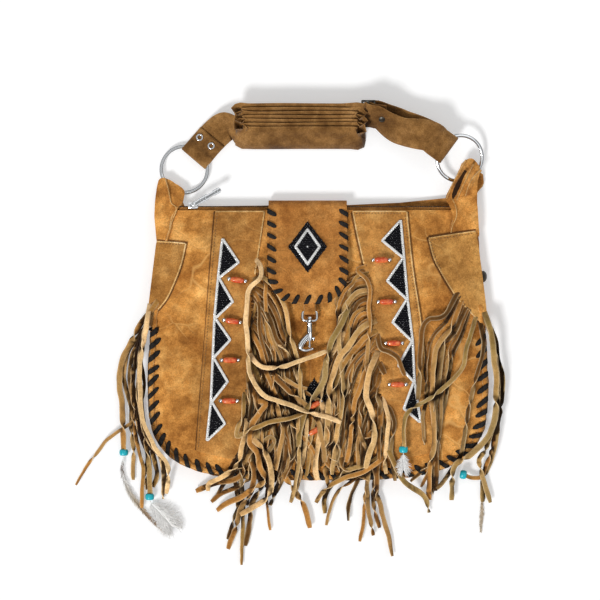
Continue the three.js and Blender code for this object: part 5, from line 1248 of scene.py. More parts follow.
STRIPS_LEFT = strips(
    (5, 5, ((-69, 89), (-63, 81), (-63, 69), (-75, 55), (-78, 33), (-78, 11), (-76, -13), (-74, -38),
     (-62, -58), (-44, -66), (-20, -75), (4, -82), (25, -90))),
    (0, 0, ((-73, 53), (-67, 44), (-72, 24), (-74, 6), (-70, -13), (-66, -38), (-68, -66), (-72, -88),
     (-73, -105), (-78, -123), (-85, -143), (-86, -165), (-88, -185))),
    (1, 1, ((-73, 44), (-62, 40), (-53, 24), (-46, 4), (-37, -13), (-33, -35), (-35, -59), (-36, -76),
     (-41, -95), (-36, -114), (-37, -134), (-44, -156), (-53, -183))),
    (0, 0, ((-73, 37), (-62, 30), (-55, 15), (-51, -2), (-44, -20), (-37, -40), (-31, -62), (-31, -88),
     (-31, -114), (-30, -134), (-36, -146), (-43, -160))),
    (2, 2, ((-72, 66), (-59, 68), (-46, 53), (-35, 32), (-32, 9), (-25, -14), (-20, -33), (-20, -53),
     (-21, -72), (-22, -94), (-21, -121), (-22, -143), (-25, -163), (-30, -180))),
    (5, 5, ((-76, -11), (-70, -22), (-59, -30), (-41, -28), (-20, -22), (9, -12))),
    (4, 4, ((-80, -57), (-81, -66), (-82, -82), (-88, -97), (-88, -106), (-74, -97), (-54, -90), (-33, -85),
     (-16, -80))),
    (1, 3, ((-78, -53), (-72, -66), (-73, -82), (-73, -101), (-68, -112), (-61, -113), (-53, -106),
     (-47, -110), (-55, -123), (-63, -128))),
    (3, 3, ((-77, -66), (-57, -68), (-64, -80), (-73, -92), (-75, -110), (-67, -123), (-64, -139),
     (-58, -153), (-73, -164), (-85, -173), (-100, -180), (-112, -188))),
    (0, 1, ((-77, -35), (-76, -66), (-82, -107), (-85, -131), (-86, -154), (-82, -179), (-84, -204),
     (-84, -228), (-85, -249))),
    (2, 2, ((-76, -44), (-66, -70), (-68, -99), (-73, -119), (-80, -134), (-87, -150), (-112, -158),
     (-135, -167))),
    (0, 1, ((-79, -90), (-78, -116), (-88, -128), (-94, -142), (-90, -163), (-88, -185))),
    (1, 1, ((-80, -108), (-70, -134), (-62, -160), (-72, -179), (-76, -204), (-80, -228))),
    (2, 2, ((-81, -117), (-70, -143), (-75, -167), (-86, -189), (-92, -211), (-100, -231))),
    (3, 3, ((-79, -99), (-59, -123), (-51, -147), (-54, -170), (-70, -183), (-86, -193))),
    (1, 2, ((-80, -110), (-57, -128), (-42, -143), (-33, -155), (-24, -170), (-16, -184), (-11, -200),
     (-9, -208))),
    (0, 1, ((-73, 24), (-62, 13), (-57, -6), (-51, -24), (-46, -48), (-48, -72), (-51, -94), (-47, -110),
     (-53, -129), (-57, -148))),
    (2, 3, ((-74, 11), (-65, -6), (-59, -24), (-53, -42), (-46, -62), (-43, -82), (-38, -101), (-42, -123),
     (-46, -143))),
    (0, 0, ((-75, -3), (-65, -24), (-61, -44), (-55, -66), (-55, -86), (-59, -106), (-62, -127),
     (-62, -145))),
    (1, 2, ((-76, -20), (-67, -37), (-62, -58), (-61, -79), (-66, -99), (-68, -119), (-73, -139),
     (-79, -152))),
    (3, 3, ((-78, -77), (-79, -99), (-84, -119), (-88, -134), (-99, -147), (-119, -157), (-121, -167))),
    (0, 1, ((-72, 59), (-57, 46), (-44, 24), (-37, 0), (-29, -24), (-23, -44), (-23, -66), (-26, -88),
     (-24, -110), (-23, -134))),
    (1, 1, ((-55, 11), (-36, -13), (-23, -38), (-16, -66), (-13, -94), (-15, -121), (-20, -148),
     (-24, -167))),
    (0, 0, ((-57, -11), (-37, -38), (-29, -66), (-20, -94), (-9, -121), (-4, -143))),
    (2, 1, ((-55, -31), (-33, -55), (-14, -70), (-1, -88), (4, -110), (7, -134))),
)
STRIPS_RIGHT = strips(
    (1, 3, ((54, 81), (43, 77), (53, 66), (57, 53), (56, 34), (56, 9), (54, -11), (51, -33), (47, -57),
     (45, -82), (46, -98), (43, -119), (45, -139), (51, -150))),
    (0, 0, ((57, 70), (37, 67), (25, 58), (21, 43), (22, 22), (20, 4), (13, -10), (8, -22), (7, -35),
     (10, -48), (12, -66), (12, -88), (11, -110), (7, -130))),
    (1, 1, ((58, 64), (43, 62), (34, 53), (28, 40), (24, 20), (23, -6), (20, -33), (15, -61), (13, -88),
     (15, -108), (11, -124), (11, -135), (21, -143))),
    (2, 2, ((59, 56), (42, 52), (32, 41), (25, 22), (23, 0), (25, -24), (28, -50), (25, -77), (21, -99),
     (18, -123), (16, -148))),
    (0, 0, ((59, 47), (44, 41), (36, 26), (38, 11), (34, -11), (31, -38), (30, -66), (31, -94), (28, -121),
     (25, -145))),
    (1, 3, ((63, 31), (47, 28), (40, 15), (37, -6), (37, -28), (35, -50), (32, -66), (36, -82), (30, -107),
     (24, -128), (29, -142), (42, -148), (57, -155))),
    (3, 3, ((64, 22), (51, 16), (42, 7), (33, -7), (22, -22), (15, -42), (12, -59), (11, -82), (11, -101),
     (9, -117))),
    (2, 2, ((65, 11), (50, 2), (38, -11), (26, -29), (19, -46), (15, -64), (12, -79), (11, -97),
     (9, -112))),
    (0, 0, ((65, -6), (46, -22), (38, -41), (34, -61), (33, -79), (34, -101), (37, -123), (37, -143))),
    (2, 2, ((66, -20), (52, -34), (46, -52), (40, -70), (37, -92), (35, -114), (31, -134))),
    (1, 2, ((67, -35), (65, -48), (55, -61), (47, -75), (46, -94), (50, -110), (59, -131), (64, -150),
     (64, -169), (69, -184), (77, -216), (83, -239))),
    (3, 3, ((67, -24), (70, -31), (73, -37))),
    (3, 2, ((65, 7), (68, -8), (76, -13), (86, -19), (91, -30), (95, -38))),
    (1, 1, ((69, -62), (73, -70), (77, -88), (76, -110), (74, -130), (75, -147))),
    (0, 1, ((68, -61), (58, -79), (56, -101), (54, -127), (54, -156), (51, -179), (50, -201), (46, -223))),
    (2, 4, ((69, -68), (67, -92), (59, -100), (51, -107))),
    (0, 0, ((70, -79), (69, -99), (67, -122), (65, -143), (61, -165), (62, -186), (69, -208))),
    (1, 1, ((70, -70), (78, -75), (82, -86), (82, -99), (80, -119), (82, -139), (84, -155))),
    (2, 2, ((74, -110), (80, -127), (87, -143), (96, -156), (110, -167), (119, -176), (123, -191))),
    (0, 2, ((75, -121), (57, -139), (37, -156), (23, -166), (13, -188), (9, -205))),
    (1, 1, ((76, -123), (53, -136), (29, -146), (15, -160), (7, -176), (8, -192))),
    (3, 3, ((77, -125), (53, -143), (35, -150), (18, -157), (9, -164), (2, -173), (-2, -180))),
    (0, 0, ((68, -53), (51, -68), (42, -86), (42, -106), (37, -121), (31, -134), (18, -141), (8, -141),
     (10, -152), (13, -161))),
    (3, 4, ((66, -11), (56, -35), (53, -59), (59, -81), (62, -106), (56, -123), (53, -141))),
    (1, 1, ((40, 20), (20, -6), (8, -31), (3, -57), (6, -86), (2, -110), (-3, -138), (0, -154))),
    (0, 0, ((42, -6), (22, -24), (11, -50), (-2, -77), (-7, -101), (-10, -127), (-13, -152))),
    (3, 2, ((37, 44), (24, 16), (14, -6), (9, -24), (7, -42), (-1, -57), (-12, -75), (-20, -99),
     (-21, -117))),
    (0, 1, ((37, -13), (24, -35), (16, -61), (13, -82), (8, -110), (4, -139))),
)
STRIPS_SIDE_LEFT = strips(
    (2, 2.8, ((-176, 44), (-185, 30), (-196, 16), (-206, 0), (-214, -18), (-219, -34), (-219, -51),
     (-217, -69), (-216, -94), (-215, -110), (-215, -127))),
    (1, 1, ((-179, 37), (-187, 20), (-198, 3), (-208, -11), (-213, -24), (-214, -42), (-211, -59),
     (-207, -76), (-206, -94), (-205, -118), (-204, -155))),
    (0, 2, ((-182, 31), (-189, 11), (-195, -11), (-202, -30), (-204, -46), (-206, -61), (-205, -79),
     (-201, -101), (-197, -125), (-193, -146), (-195, -169), (-195, -186))),
    (0, 3, ((-184, 29), (-193, 6), (-195, -13), (-193, -35), (-191, -55), (-195, -68), (-201, -80),
     (-207, -92), (-222, -103), (-237, -114), (-250, -132), (-268, -160))),
    (3, 2.8, ((-184, 31), (-194, -6), (-196, -33), (-195, -61), (-193, -88), (-188, -111), (-187, -133),
     (-186, -154), (-186, -176))),
    (4, 1, ((-185, 31), (-195, -11), (-196, -44), (-195, -77), (-189, -101), (-182, -123), (-178, -146),
     (-182, -163))),
    (5, 0, ((-185, 35), (-195, -22), (-197, -55), (-193, -88), (-185, -110), (-174, -128), (-170, -150),
     (-172, -176))),
    (6, 3, ((-185, 40), (-195, -28), (-196, -61), (-190, -94), (-179, -117), (-167, -134), (-165, -152),
     (-168, -170))),
)
STRIPS_SIDE_RIGHT = strips(
    (3, 3, ((154, 53), (138, 28), (121, 23), (114, 12), (111, -18), (110, -42), (109, -65))),
    (2, 1, ((158, 44), (145, 13), (131, -7), (127, -24), (125, -46), (125, -67), (128, -92), (127, -117),
     (123, -139), (123, -177))),
    (1, 2, ((163, 37), (148, 8), (138, -8), (133, -37), (130, -67), (129, -105), (130, -134), (130, -167))),
    (0, 0, ((167, 34), (156, 2), (148, -18), (143, -42), (140, -63), (135, -92), (132, -117), (124, -134),
     (114, -145), (102, -156))),
    (4, 4, ((174, 26), (163, -7), (160, -28), (143, -47), (118, -66), (99, -79), (94, -94), (94, -108),
     (94, -122))),
    (2, 3, ((178, 23), (181, -2), (179, -22), (172, -47), (165, -72), (161, -105), (155, -130), (142, -150),
     (132, -165))),
    (1, 2.8, ((184, 23), (195, -6), (199, -24), (201, -42), (199, -66), (196, -88), (194, -110),
     (188, -132), (182, -150), (172, -152), (159, -148))),
    (3, 1, ((185, 23), (194, 2), (198, -18), (204, -42), (202, -68), (199, -92), (196, -114), (189, -139),
     (183, -154), (182, -179))),
    (5, 3, ((183, 26), (191, 4), (196, -22), (198, -50), (197, -77), (191, -101), (185, -121), (177, -134),
     (185, -162), (190, -180))),
    (6, 4, ((183, 31), (190, 7), (194, -22), (196, -53), (194, -82), (187, -106), (172, -121), (151, -136),
     (148, -156), (147, -177))),
)


@dataclass
class Fringe:
    """The cut strips of one panel: wavy, twisting bands with pale edges."""

    name: str
    node: str
    strips: tuple[Strip, ...]
    extra: int
    seed: int
    step: float = 2.6
    thick: float = 1.15
    clear: float = 2.9
    layer: float = 1.5
    root_lift: float = 1.2
    root_run: float = 16.0
    cell: float = 3.0
    top_tones: tuple[float, ...] = (0.12, 0.28, 0.38, 0.42, 0.48, 0.60, 0.76, 0.86, 0.96, 1.0)
    # highest point in each cell, read for the painted shade in the gaps
    tops: dict[tuple[int, int], float] = field(default_factory=dict)

    def paint_gap_shade(self, shell: Shell) -> None:
        """Paints shade into the tints: darkens each vertex, and dims its pale edge, by how deep it lies under
        the strips beside it, as painted shade in the gaps, less near the roots.
        """
        cell = self.cell * MM
        for x, y, z in shell.points:
            key = (round(x / cell), round(y / cell))
            self.tops[key] = max(self.tops.get(key, 0.0), z)
        for i, (x, y, z) in enumerate(shell.points):
            kx, ky = round(x / cell), round(y / cell)
            around = [self.tops.get((kx + u, ky + v), z) for u in (-1, 0, 1) for v in (-1, 0, 1)]
            depth = (0.5 * max(around) + 0.5 * sum(around) / 9 - z) / MM
            r, g, b, free = shell.tints[i]
            shell.tints[i] = (r, g, b * (1 - 0.7 * smooth(depth / 5)), free * smooth((depth - 0.3) / 3.4))

    def make(self) -> None:
        """Makes the fringe as one piece."""
        shell = Shell()
        rng = random.Random(self.seed)
        self.tops.clear()
        strips = [*self.strips, *self.between(rng)]
        for order, strip in enumerate(strips):
            self.strand(shell, strip, order, rng, order >= len(self.strips) or strip.level < 0.5)
        self.paint_gap_shade(shell)
        shell.piece(self.name, [Finish.FRINGE], "suede_fringe", self.node)
        LOG.info("%s: %d strips", self.name, len(strips))

    def between(self, rng: random.Random) -> list[Strip]:
        """Returns more strips, each one led between two that start side by side."""
        ordered = sorted(self.strips, key=lambda strip: -strip.path[0][1])
        made = []
        for k in range(self.extra):
            i = k % (len(ordered) - 1)
            a, b = Line(ordered[i].path, 4.0), Line(ordered[i + 1].path, 4.0)
            share = rng.uniform(0.3, 0.7)
            length = mix(a.length, b.length, share) * rng.uniform(0.82, 1.0)
            count = max(3, int(length / 14))
            path = []
            for t in (j / count for j in range(count + 1)):
                spot = a.at(a.length * t).lerp(b.at(b.length * t), share)
                drift = smooth(t * 2) * 4.0
                aside = [drift * ripple(t * length, k * 31, 40, seed) for seed in (self.seed, self.seed + 9)]
                path.append((spot.x + aside[0], spot.y + aside[1]))
            made.append(Strip(rng.uniform(0, 1.4), rng.uniform(0, 1.6), tuple(path)))
        return made

    def height(self, x: float, y: float, strip: Strip, lift: float) -> float:
        """Returns the height of the middle of a strip over the bag or on the floor beside it."""
        away = smooth((SHAPE.outside(x, y) + 2) / (SHAPE.shoulder_run + 14))
        over = self.clear + strip.level * self.layer + lift
        return SHAPE.drape(x, y) + mix(over, 1.0 + strip.land * self.layer + lift * 0.5, away)

    def strand(self, shell: Shell, strip: Strip, order: int, rng: random.Random, under: bool) -> None:
        """Adds one strip, a thinner one with a darker tone, as painted shade, if it lies under the others."""
        line = Line(strip.path, 2.0)
        high = clamp((strip.level - 0.5) / 3.5, 0.0, 1.0)
        # painted shade and light: strips under others take the dark tones, and top strips get lighter the
        # higher they lie
        tone = rng.uniform(0.0, 0.55) if under else rng.choice(self.top_tones) + 0.12 * (high - 0.5)
        wide = rng.uniform(3.6, 5.6) if under else rng.uniform(4.8, 6.8)
        lift = (order % 5) * 0.22
        wind = rng.uniform(0, 90)
        flips = [rng.uniform(24, line.length) for _ in range(int(line.length / 90 + rng.uniform(0, 1)))]
        sense = [rng.choice((-1, 1)) for _ in flips]
        rings = []
        for s in line.marks(max(6, int(line.length / self.step))):
            free = smooth((s - 6) / 24)
            spot = line.at(s)
            side = left_of(line.way(s, 2.5)).normalized()
            spot += side * free * (1.5 * ripple(s, wind, 26, 1.7) + 0.5 * ripple(s, wind, 9, 4.4))
            roll = free * (1.15 * ripple(s, wind, 33, 8.2) + 0.35 * ripple(s, wind, 12, 2.9))
            for place, turn in zip(flips, sense):
                roll += turn * math.pi * smooth((s - place + 9) / 18) * smooth(place / 26)
            width = wide * (1 + 0.10 * ripple(s, wind, 15, 3.3))
            width *= 1 - 0.25 * smooth((s - line.length + 5) / 5)
            upright = abs(math.sin(roll)) * width / 2
            z = SHAPE.front(spot.x, spot.y) + self.root_lift
            z = mix(z, self.height(spot.x, spot.y, strip, lift), smooth(s / self.root_run))
            z += free * (0.8 + 0.8 * ripple(s, wind, 30, 6.6))
            floor = 0.15 + upright + self.thick / 2
            z = max(z + upright * 0.35, floor)
            c, d = math.cos(roll), math.sin(roll)
            shade = clamp(tone + 0.10 * ripple(s, wind, 50, 9.1), 0.0, 1.0)
            ring = []
            for k, (u, v, edge) in enumerate(flat_section(width, self.thick)):
                back = 0.45 if 6 <= k <= 8 else 0.0
                point = spot + side * (u * c - v * d) + UP * (z - spot.z + u * d + v * c)
                # the tint's alpha sets how much painted shade a point may take, less near the root
                ring.append(shell.add(point, (shade, back, edge * 0.9, 0.35 + 0.65 * smooth(s / 34))))
            rings.append(ring)
        shell.sweep(rings)


def edge_lines(name: str, lines: Sequence[Sequence[Point]], lift: float, finish: Finish, node: str) -> None:
    """Lays the pale fibres of a cut edge, or a dark band of painted shadow beside it, along some lines of a
    panel.
    """
    shell = Shell()
    for points in lines:
        line = Line(points, 2.0)
        spots, acrosses = [], []
        for s in line.marks(max(2, int(line.length / 2.5))):
            spot = line.at(s)
            spot.z = SHAPE.front(spot.x, spot.y) + lift + 0.12 * ripple(s, 0, 6, 1.5)
            spots.append(spot)
            acrosses.append(left_of(line.way(s)))
        band(shell, spots, acrosses, 1.5, 0.6, 0, 0)
    shell.piece(name, [finish], "suede_panel", node)


@dataclass
class Panel:
    """One of the four suede panels that the fringes are cut from."""

    name: str
    node: str
    corners: tuple[Point, ...]
    seams: tuple[tuple[Point, ...], ...]
    rims: tuple[tuple[Point, ...], ...]
    # dark bands of painted shadow on the bag along the panel's edges
    grooves: tuple[tuple[Point, ...], ...]
    fringe: Fringe
    finish: Finish = Finish.PANEL
    under_lift: float = 0.35
    rim_lift: float = 1.75
    groove_lift: float = 0.9
    face_lift: float = 1.85

    def make(self) -> None:
        """Makes the panel, its seams and its fringe."""
        leather_sheet(
            self.name, rounded(self.corners, 3, 3), SHAPE.raised(self.under_lift), [self.finish, Finish.EDGE],
            "suede_panel", self.node, step=3.6,
        )
        edge_lines(f"{self.name}_rim", self.rims, self.rim_lift, Finish.EDGE, self.node)
        # the dark bands beside the edges are painted shadow
        edge_lines(f"{self.name}_groove", self.grooves, self.groove_lift, Finish.GROOVE, self.node)
        sewn_line(f"{self.name}_seam", self.seams, SHAPE.raised(self.face_lift), "suede_panel", self.node)
        self.fringe.make()


def panels() -> list[Panel]:
    """Returns the four panels."""
    return [
        Panel(
            "panel_left", "beaded_panel_left",
            ((-113.3, 142), (-58.3, 142), (-66, 92), (-69, 60), (-71, 0), (-73, -60), (-77, -110),
             (-80, -134),
             (-134, -122)),
            (((-111, 139), (-116, 80), (-122, 0), (-128, -70), (-131.5, -119)),),
            (((-59, 141.2), (-66.4, 92), (-69.3, 72)), ((-112.6, 141.3), (-86, 141.5), (-59.4, 141.4))),
            (((-114.3, 141), (-119, 80), (-124.6, 0), (-130.4, -70), (-134.6, -121)),),
            Fringe("fringe_left", "beaded_panel_left", STRIPS_LEFT, 20, 11),
        ),
        Panel(
            "panel_right", "beaded_panel_right",
            ((37.4, 142), (98, 142), (104, 80), (113, 20), (119, -40), (128, -90), (133, -122), (72, -134),
             (66, -100), (62, -40), (60, 0), (56, 50), (50, 82)),
            (
                ((41, 139.2), (70, 139.4), (95, 139.2)),
                ((95.5, 138), (101.2, 80), (110.2, 20), (116.2, -40), (125.2, -90), (130, -119)),
            ),
            (((38.4, 141.2), (44, 112), (50.3, 84)), ((38, 141.4), (68, 141.5), (97.4, 141.4)),
             ((97.7, 141), (103.6, 80), (112.6, 20), (118.6, -40))),
            (((99.1, 141), (105.1, 80), (114.1, 20), (120.1, -40), (129.1, -90)),
             ((36.4, 140), (42.5, 110), (49, 82))),
            Fringe("fringe_right", "beaded_panel_right", STRIPS_RIGHT, 20, 23),
        ),
        Panel(
            "side_left", "side_overlay_left",
            ((-178, 109), (-144.9, 106.7), (-150, 84), (-157.8, 63), (-166, 45.5), (-176, 33), (-184.5, 24),
             (-186.5, 40)),
            (((-175, 106.3), (-162, 105.6), (-148, 104.2)),),
            (((-177.5, 108.4), (-162, 107.6), (-146, 106.2)),
             ((-145.4, 106.2), (-150.4, 84), (-158.2, 63), (-166.3, 46), (-176.2, 33.6), (-184, 25.5))),
            (((-143.9, 107.4), (-149, 83.8), (-156.8, 62.4), (-165.2, 44.8), (-175.2, 32)),
             ((-177, 110.2), (-162, 109.2), (-144.5, 107.6))),
            Fringe("fringe_side_left", "side_overlay_left", STRIPS_SIDE_LEFT, 3, 37),
            Finish.SIDE,
        ),
        Panel(
            "side_right", "side_overlay_right",
            ((121, 112.2), (174, 120.4), (180, 80), (185, 40), (187, 16), (183, 16), (175.5, 21.4),
             (165.7, 31.9),
             (153.5, 44.6), (142.6, 61), (133.7, 76.4), (127, 89.7)),
            (((124, 109.6), (147, 113.4), (171, 117.2)), ((123.6, 109), (129.3, 89.5), (135.8, 77))),
            (((122, 112), (148, 116.1), (173.5, 119.8)),
             ((121.8, 111.6), (127.6, 89.7), (134.4, 76.4), (143.2, 61.4), (154, 45.2), (166, 32.6),
              (175.6, 22.3))),
            (((120, 112.6), (125.8, 89.7), (132.6, 75.8), (141.4, 60.4), (152.4, 43.8), (164.6, 31.2)),
             ((121, 113.6), (147, 117.8), (173.5, 121.6))),
            Fringe(
                "fringe_side_right", "side_overlay_right", STRIPS_SIDE_RIGHT, 3, 41,
                top_tones=(0.06, 0.12, 0.24, 0.36, 0.42, 0.46, 0.58, 0.86),
            ),
            Finish.OVERLAY,
        ),
    ]


@dataclass
class Flap:
    """The laced flap that turns over the mouth, and the snap hook under its tip."""

    left: float = -54.5
    right: float = 31.8
    tip_y: float = 41.0
    corner: float = 33.0
    corner_reach: float = 29.0
    fold_y: float = 145.4
    fold_z: float = 8.6
    fold_inner: float = 7.1
    base: float = 16.0
    thick: float = 1.4
    stitch_pitch: float = 12.6
    stitch_wide: float = 4.8
    stitch_slant: float = 6.0
    loop_wide: float = 12.8
    loop_thick: float = 1.3
    wire: float = 1.45
    bill: float = 3.7
    hook_x: float = -9.2
    hook_z: float = 36.2
    bar_y: float = 31.2

    def under(self, x: float, y: float) -> float:
        """Returns the height of the underside of the flap's front."""
        lift = mix(0.6, 8.0, smooth((self.fold_y - y) / 72))
        return SHAPE.front(x, y) + lift + 0.3 * ripple(x, y, 24, 7.7) * smooth((self.fold_y - y) / 40)

    def top(self, x: float, y: float) -> float:
        """Returns the height of the face of the flap's front."""
        return self.under(x, y) + self.thick

    def outline(self, inset: float, top_y: float) -> list[Point]:
        """Returns the U-shaped edge of the flap, from its left down round its tip to its right."""
        left, right, tip = self.left + inset, self.right - inset, self.tip_y + inset
        height = self.corner - inset
        arc = []
        for angle in (math.pi / 2 * i / 12 for i in range(13)):
            arc.append((self.corner_reach * (1 - math.cos(angle)), tip + height * (1 - math.sin(angle))))
        levels = [mix(top_y, self.tip_y + self.corner, i / 5) for i in range(5)]
        return [
            *((left, y) for y in levels), *((left + x, y) for x, y in arc),
            *((right - x, y) for x, y in reversed(arc)), *((right, y) for y in reversed(levels)),
        ]

    def bend(self, x: float, y: float) -> tuple[float, float, float]:
        """Returns where a point of the flat flap lies once the flap is folded over the mouth."""
        beyond = y - self.fold_y
        half_turn = math.pi * self.fold_inner
        if beyond <= 0:
            level = self.fold_z + self.fold_inner
            return (x, y, mix(level, self.under(x, y), smooth(-beyond / 9)))
        if beyond < half_turn:
            angle = beyond / self.fold_inner
            across, up = self.fold_inner * math.sin(angle), self.fold_inner * math.cos(angle)
            return (x, self.fold_y + across, self.fold_z + up)
        return (x, self.fold_y - (beyond - half_turn), self.fold_z - self.fold_inner)

    def make(self) -> None:
        """Makes the flap and all that is on it."""
        full = self.fold_y + math.pi * self.fold_inner + self.base
        sheet = leather_sheet(
            "flap_skin", self.outline(0.0, full), self.under, [Finish.FLAP, Finish.EDGE],
            thick=self.thick, step=2.6, bend=self.bend,
        )
        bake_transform(sheet)
        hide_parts("flap", "flap_base")
        self.lacing()
        self.loop()
        self.hook()
        LOG.info("flap made")

    def lacing(self) -> None:
        """Sews the lace round the edge of the flap."""
        shell = Shell()
        line = Line(self.outline(0.0, self.fold_y + 1), 2.0)
        rng = random.Random(8)
        count = int(line.length / self.stitch_pitch)
        way_in = ((1.5, -0.7, 0.0), (-0.6, -0.3, 0.05), (-1.1, 0.8, 0.1), (-0.3, 2.1, 0.2), (2.2, 2.5, 0.42),
                  (5.2, 2.2, 0.7), (7.6, 1.9, 0.93), (9.2, 0.6, 1.0))
        for i in range(count):
            s = (i + 0.5) * line.length / count
            slant = self.stitch_slant * rng.uniform(0.8, 1.2)
            spots = []
            for inset, lift, share in way_in:
                spot = line.inward(s + slant * (share - 0.5), inset)
                spots.append(Vector((*spot.xy, self.under(spot.x, spot.y) + lift)))
            stitch(shell, spots, line.way(s), self.stitch_wide * rng.uniform(0.93, 1.07))
        shell.piece("flap_stitches", [Finish.LACE], "lace", "flap_lacing", body="flap")

    def loop(self) -> None:
        """Makes the small suede loop that holds the hook's eye."""
        shell = Shell()
        round_bar = [
            (self.bar_y + 2.5 * math.cos(a), 2.5 * math.sin(a))
            for a in (math.pi * (0.3 + 1.4 * i / 12) for i in range(13))
        ]
        limb = ((54.0, 0.8), (40.0, 0.8), (35.5, 1.2))
        section = [*limb, *round_bar, *((y, -z) for y, z in reversed(limb))]
        spots = Line([self.spot(0, y, z) for y, z in section], 1.0).samples(60)
        band(shell, spots, [RIGHT] * len(spots), self.loop_wide, self.loop_thick)
        shell.piece("hook_loop", [Finish.FLAP, Finish.EDGE], "suede_panel", "hook_tab", body="flap")

    def spot(self, x: float, y: float, z: float = 0.0) -> Vector:
        """Returns a place given from the hook's axis."""
        return Vector((self.hook_x + x, y, self.hook_z + z))

    def hook(self) -> None:
        """Makes the snap hook's eye, body and bolt."""
        shell = Shell()
        half = ((1.0, 21.4), (5.6, 21.5), (7.7, 23.4), (7.9, 27.0), (7.5, 30.4), (5.6, self.bar_y))
        eye = [*((-x, y) for x, y in half), (0, self.bar_y), *reversed(half)]
        shell.rod(Line([self.spot(x, y) for x, y in eye], 0.8).samples(64), self.wire, 12)
        shell.turned(self.spot(0, 21.5), AHEAD, (
            (1.7, -1.35), (2.7, -1.3), (3.1, -0.9), (3.1, 0.8), (2.7, 1.2), (1.7, 1.25), (1.6, 1.2),
            (1.6, -1.3),
        ), 24)
        shell.piece("eye", [Finish.CHROME], "chrome", "hook_eye", body="hook_eye", crisp=45)
        shell = Shell()
        shell.turned(self.spot(0, 0), AHEAD, (
            (0.9, -0.6), (3.0, -0.6), (3.6, -0.1), (3.5, 8.0), (3.2, 8.3), (3.2, 8.7), (3.5, 9.0),
            (3.3, 17.2),
            (3.6, 17.6), (3.6, 18.6), (3.0, 19.2), (1.4, 19.8), (1.3, 20.4), (1.3, 22.8), (2.3, 23.3),
            (2.5, 24.2),
            (2.3, 25.6), (1.4, 26.3), (0.2, 26.5),
        ), 28)
        bill = Line([(x, y, self.hook_z) for x, y in (
            (-10.8, 5.4), (-12.8, 3.4), (-15.0, 0.8), (-17.8, -3.0), (-19.2, -7.0), (-17.6, -10.2),
            (-13.6, -11.4),
            (-8.4, -10.2), (-5.4, -9.0),
        )], 0.8)
        shell.rod(
            bill.samples(48),
            lambda t: self.bill - 2.2 * smooth((t - 0.42) / 0.3) - 0.5 * smooth((0.25 - t) / 0.25), 14,
        )
        shell.piece("body", [Finish.CHROME], "chrome", "hook_body", body="hook_body", crisp=45)
        shell = Shell()
        shell.rod([self.spot(0, -8.0), self.spot(0, -7.6), self.spot(0, 7.0)], 1.15, 14)
        shell.rod([self.spot(1.2, 2.0), self.spot(3.2, 2.0)], 0.8, 10)
        shell.turned(self.spot(4.3, 2.0), RIGHT, (
            (0.1, -1.5), (1.5, -1.4), (1.9, -0.9), (1.9, 0.7), (1.5, 1.2), (0.1, 1.35),
        ), 18)
        shell.piece("bolt", [Finish.CHROME], "chrome", "hook_bolt", body="hook_bolt", crisp=45)


def inside(point: Point, polygon: Sequence[Point]) -> bool:
    """Returns whether a point lies inside a flat polygon."""
    x, y = point
    within = False
    for (x0, y0), (x1, y1) in zip(polygon, [*polygon[1:], polygon[0]]):
        if (y0 > y) != (y1 > y) and x < x0 + (y - y0) * (x1 - x0) / (y1 - y0):
            within = not within
    return within


def diamond(x: float, y: float, half_x: float, half_y: float) -> list[Point]:
    """Returns a diamond's corners."""
    return [(x - half_x, y), (x, y - half_y), (x + half_x, y), (x, y + half_y)]


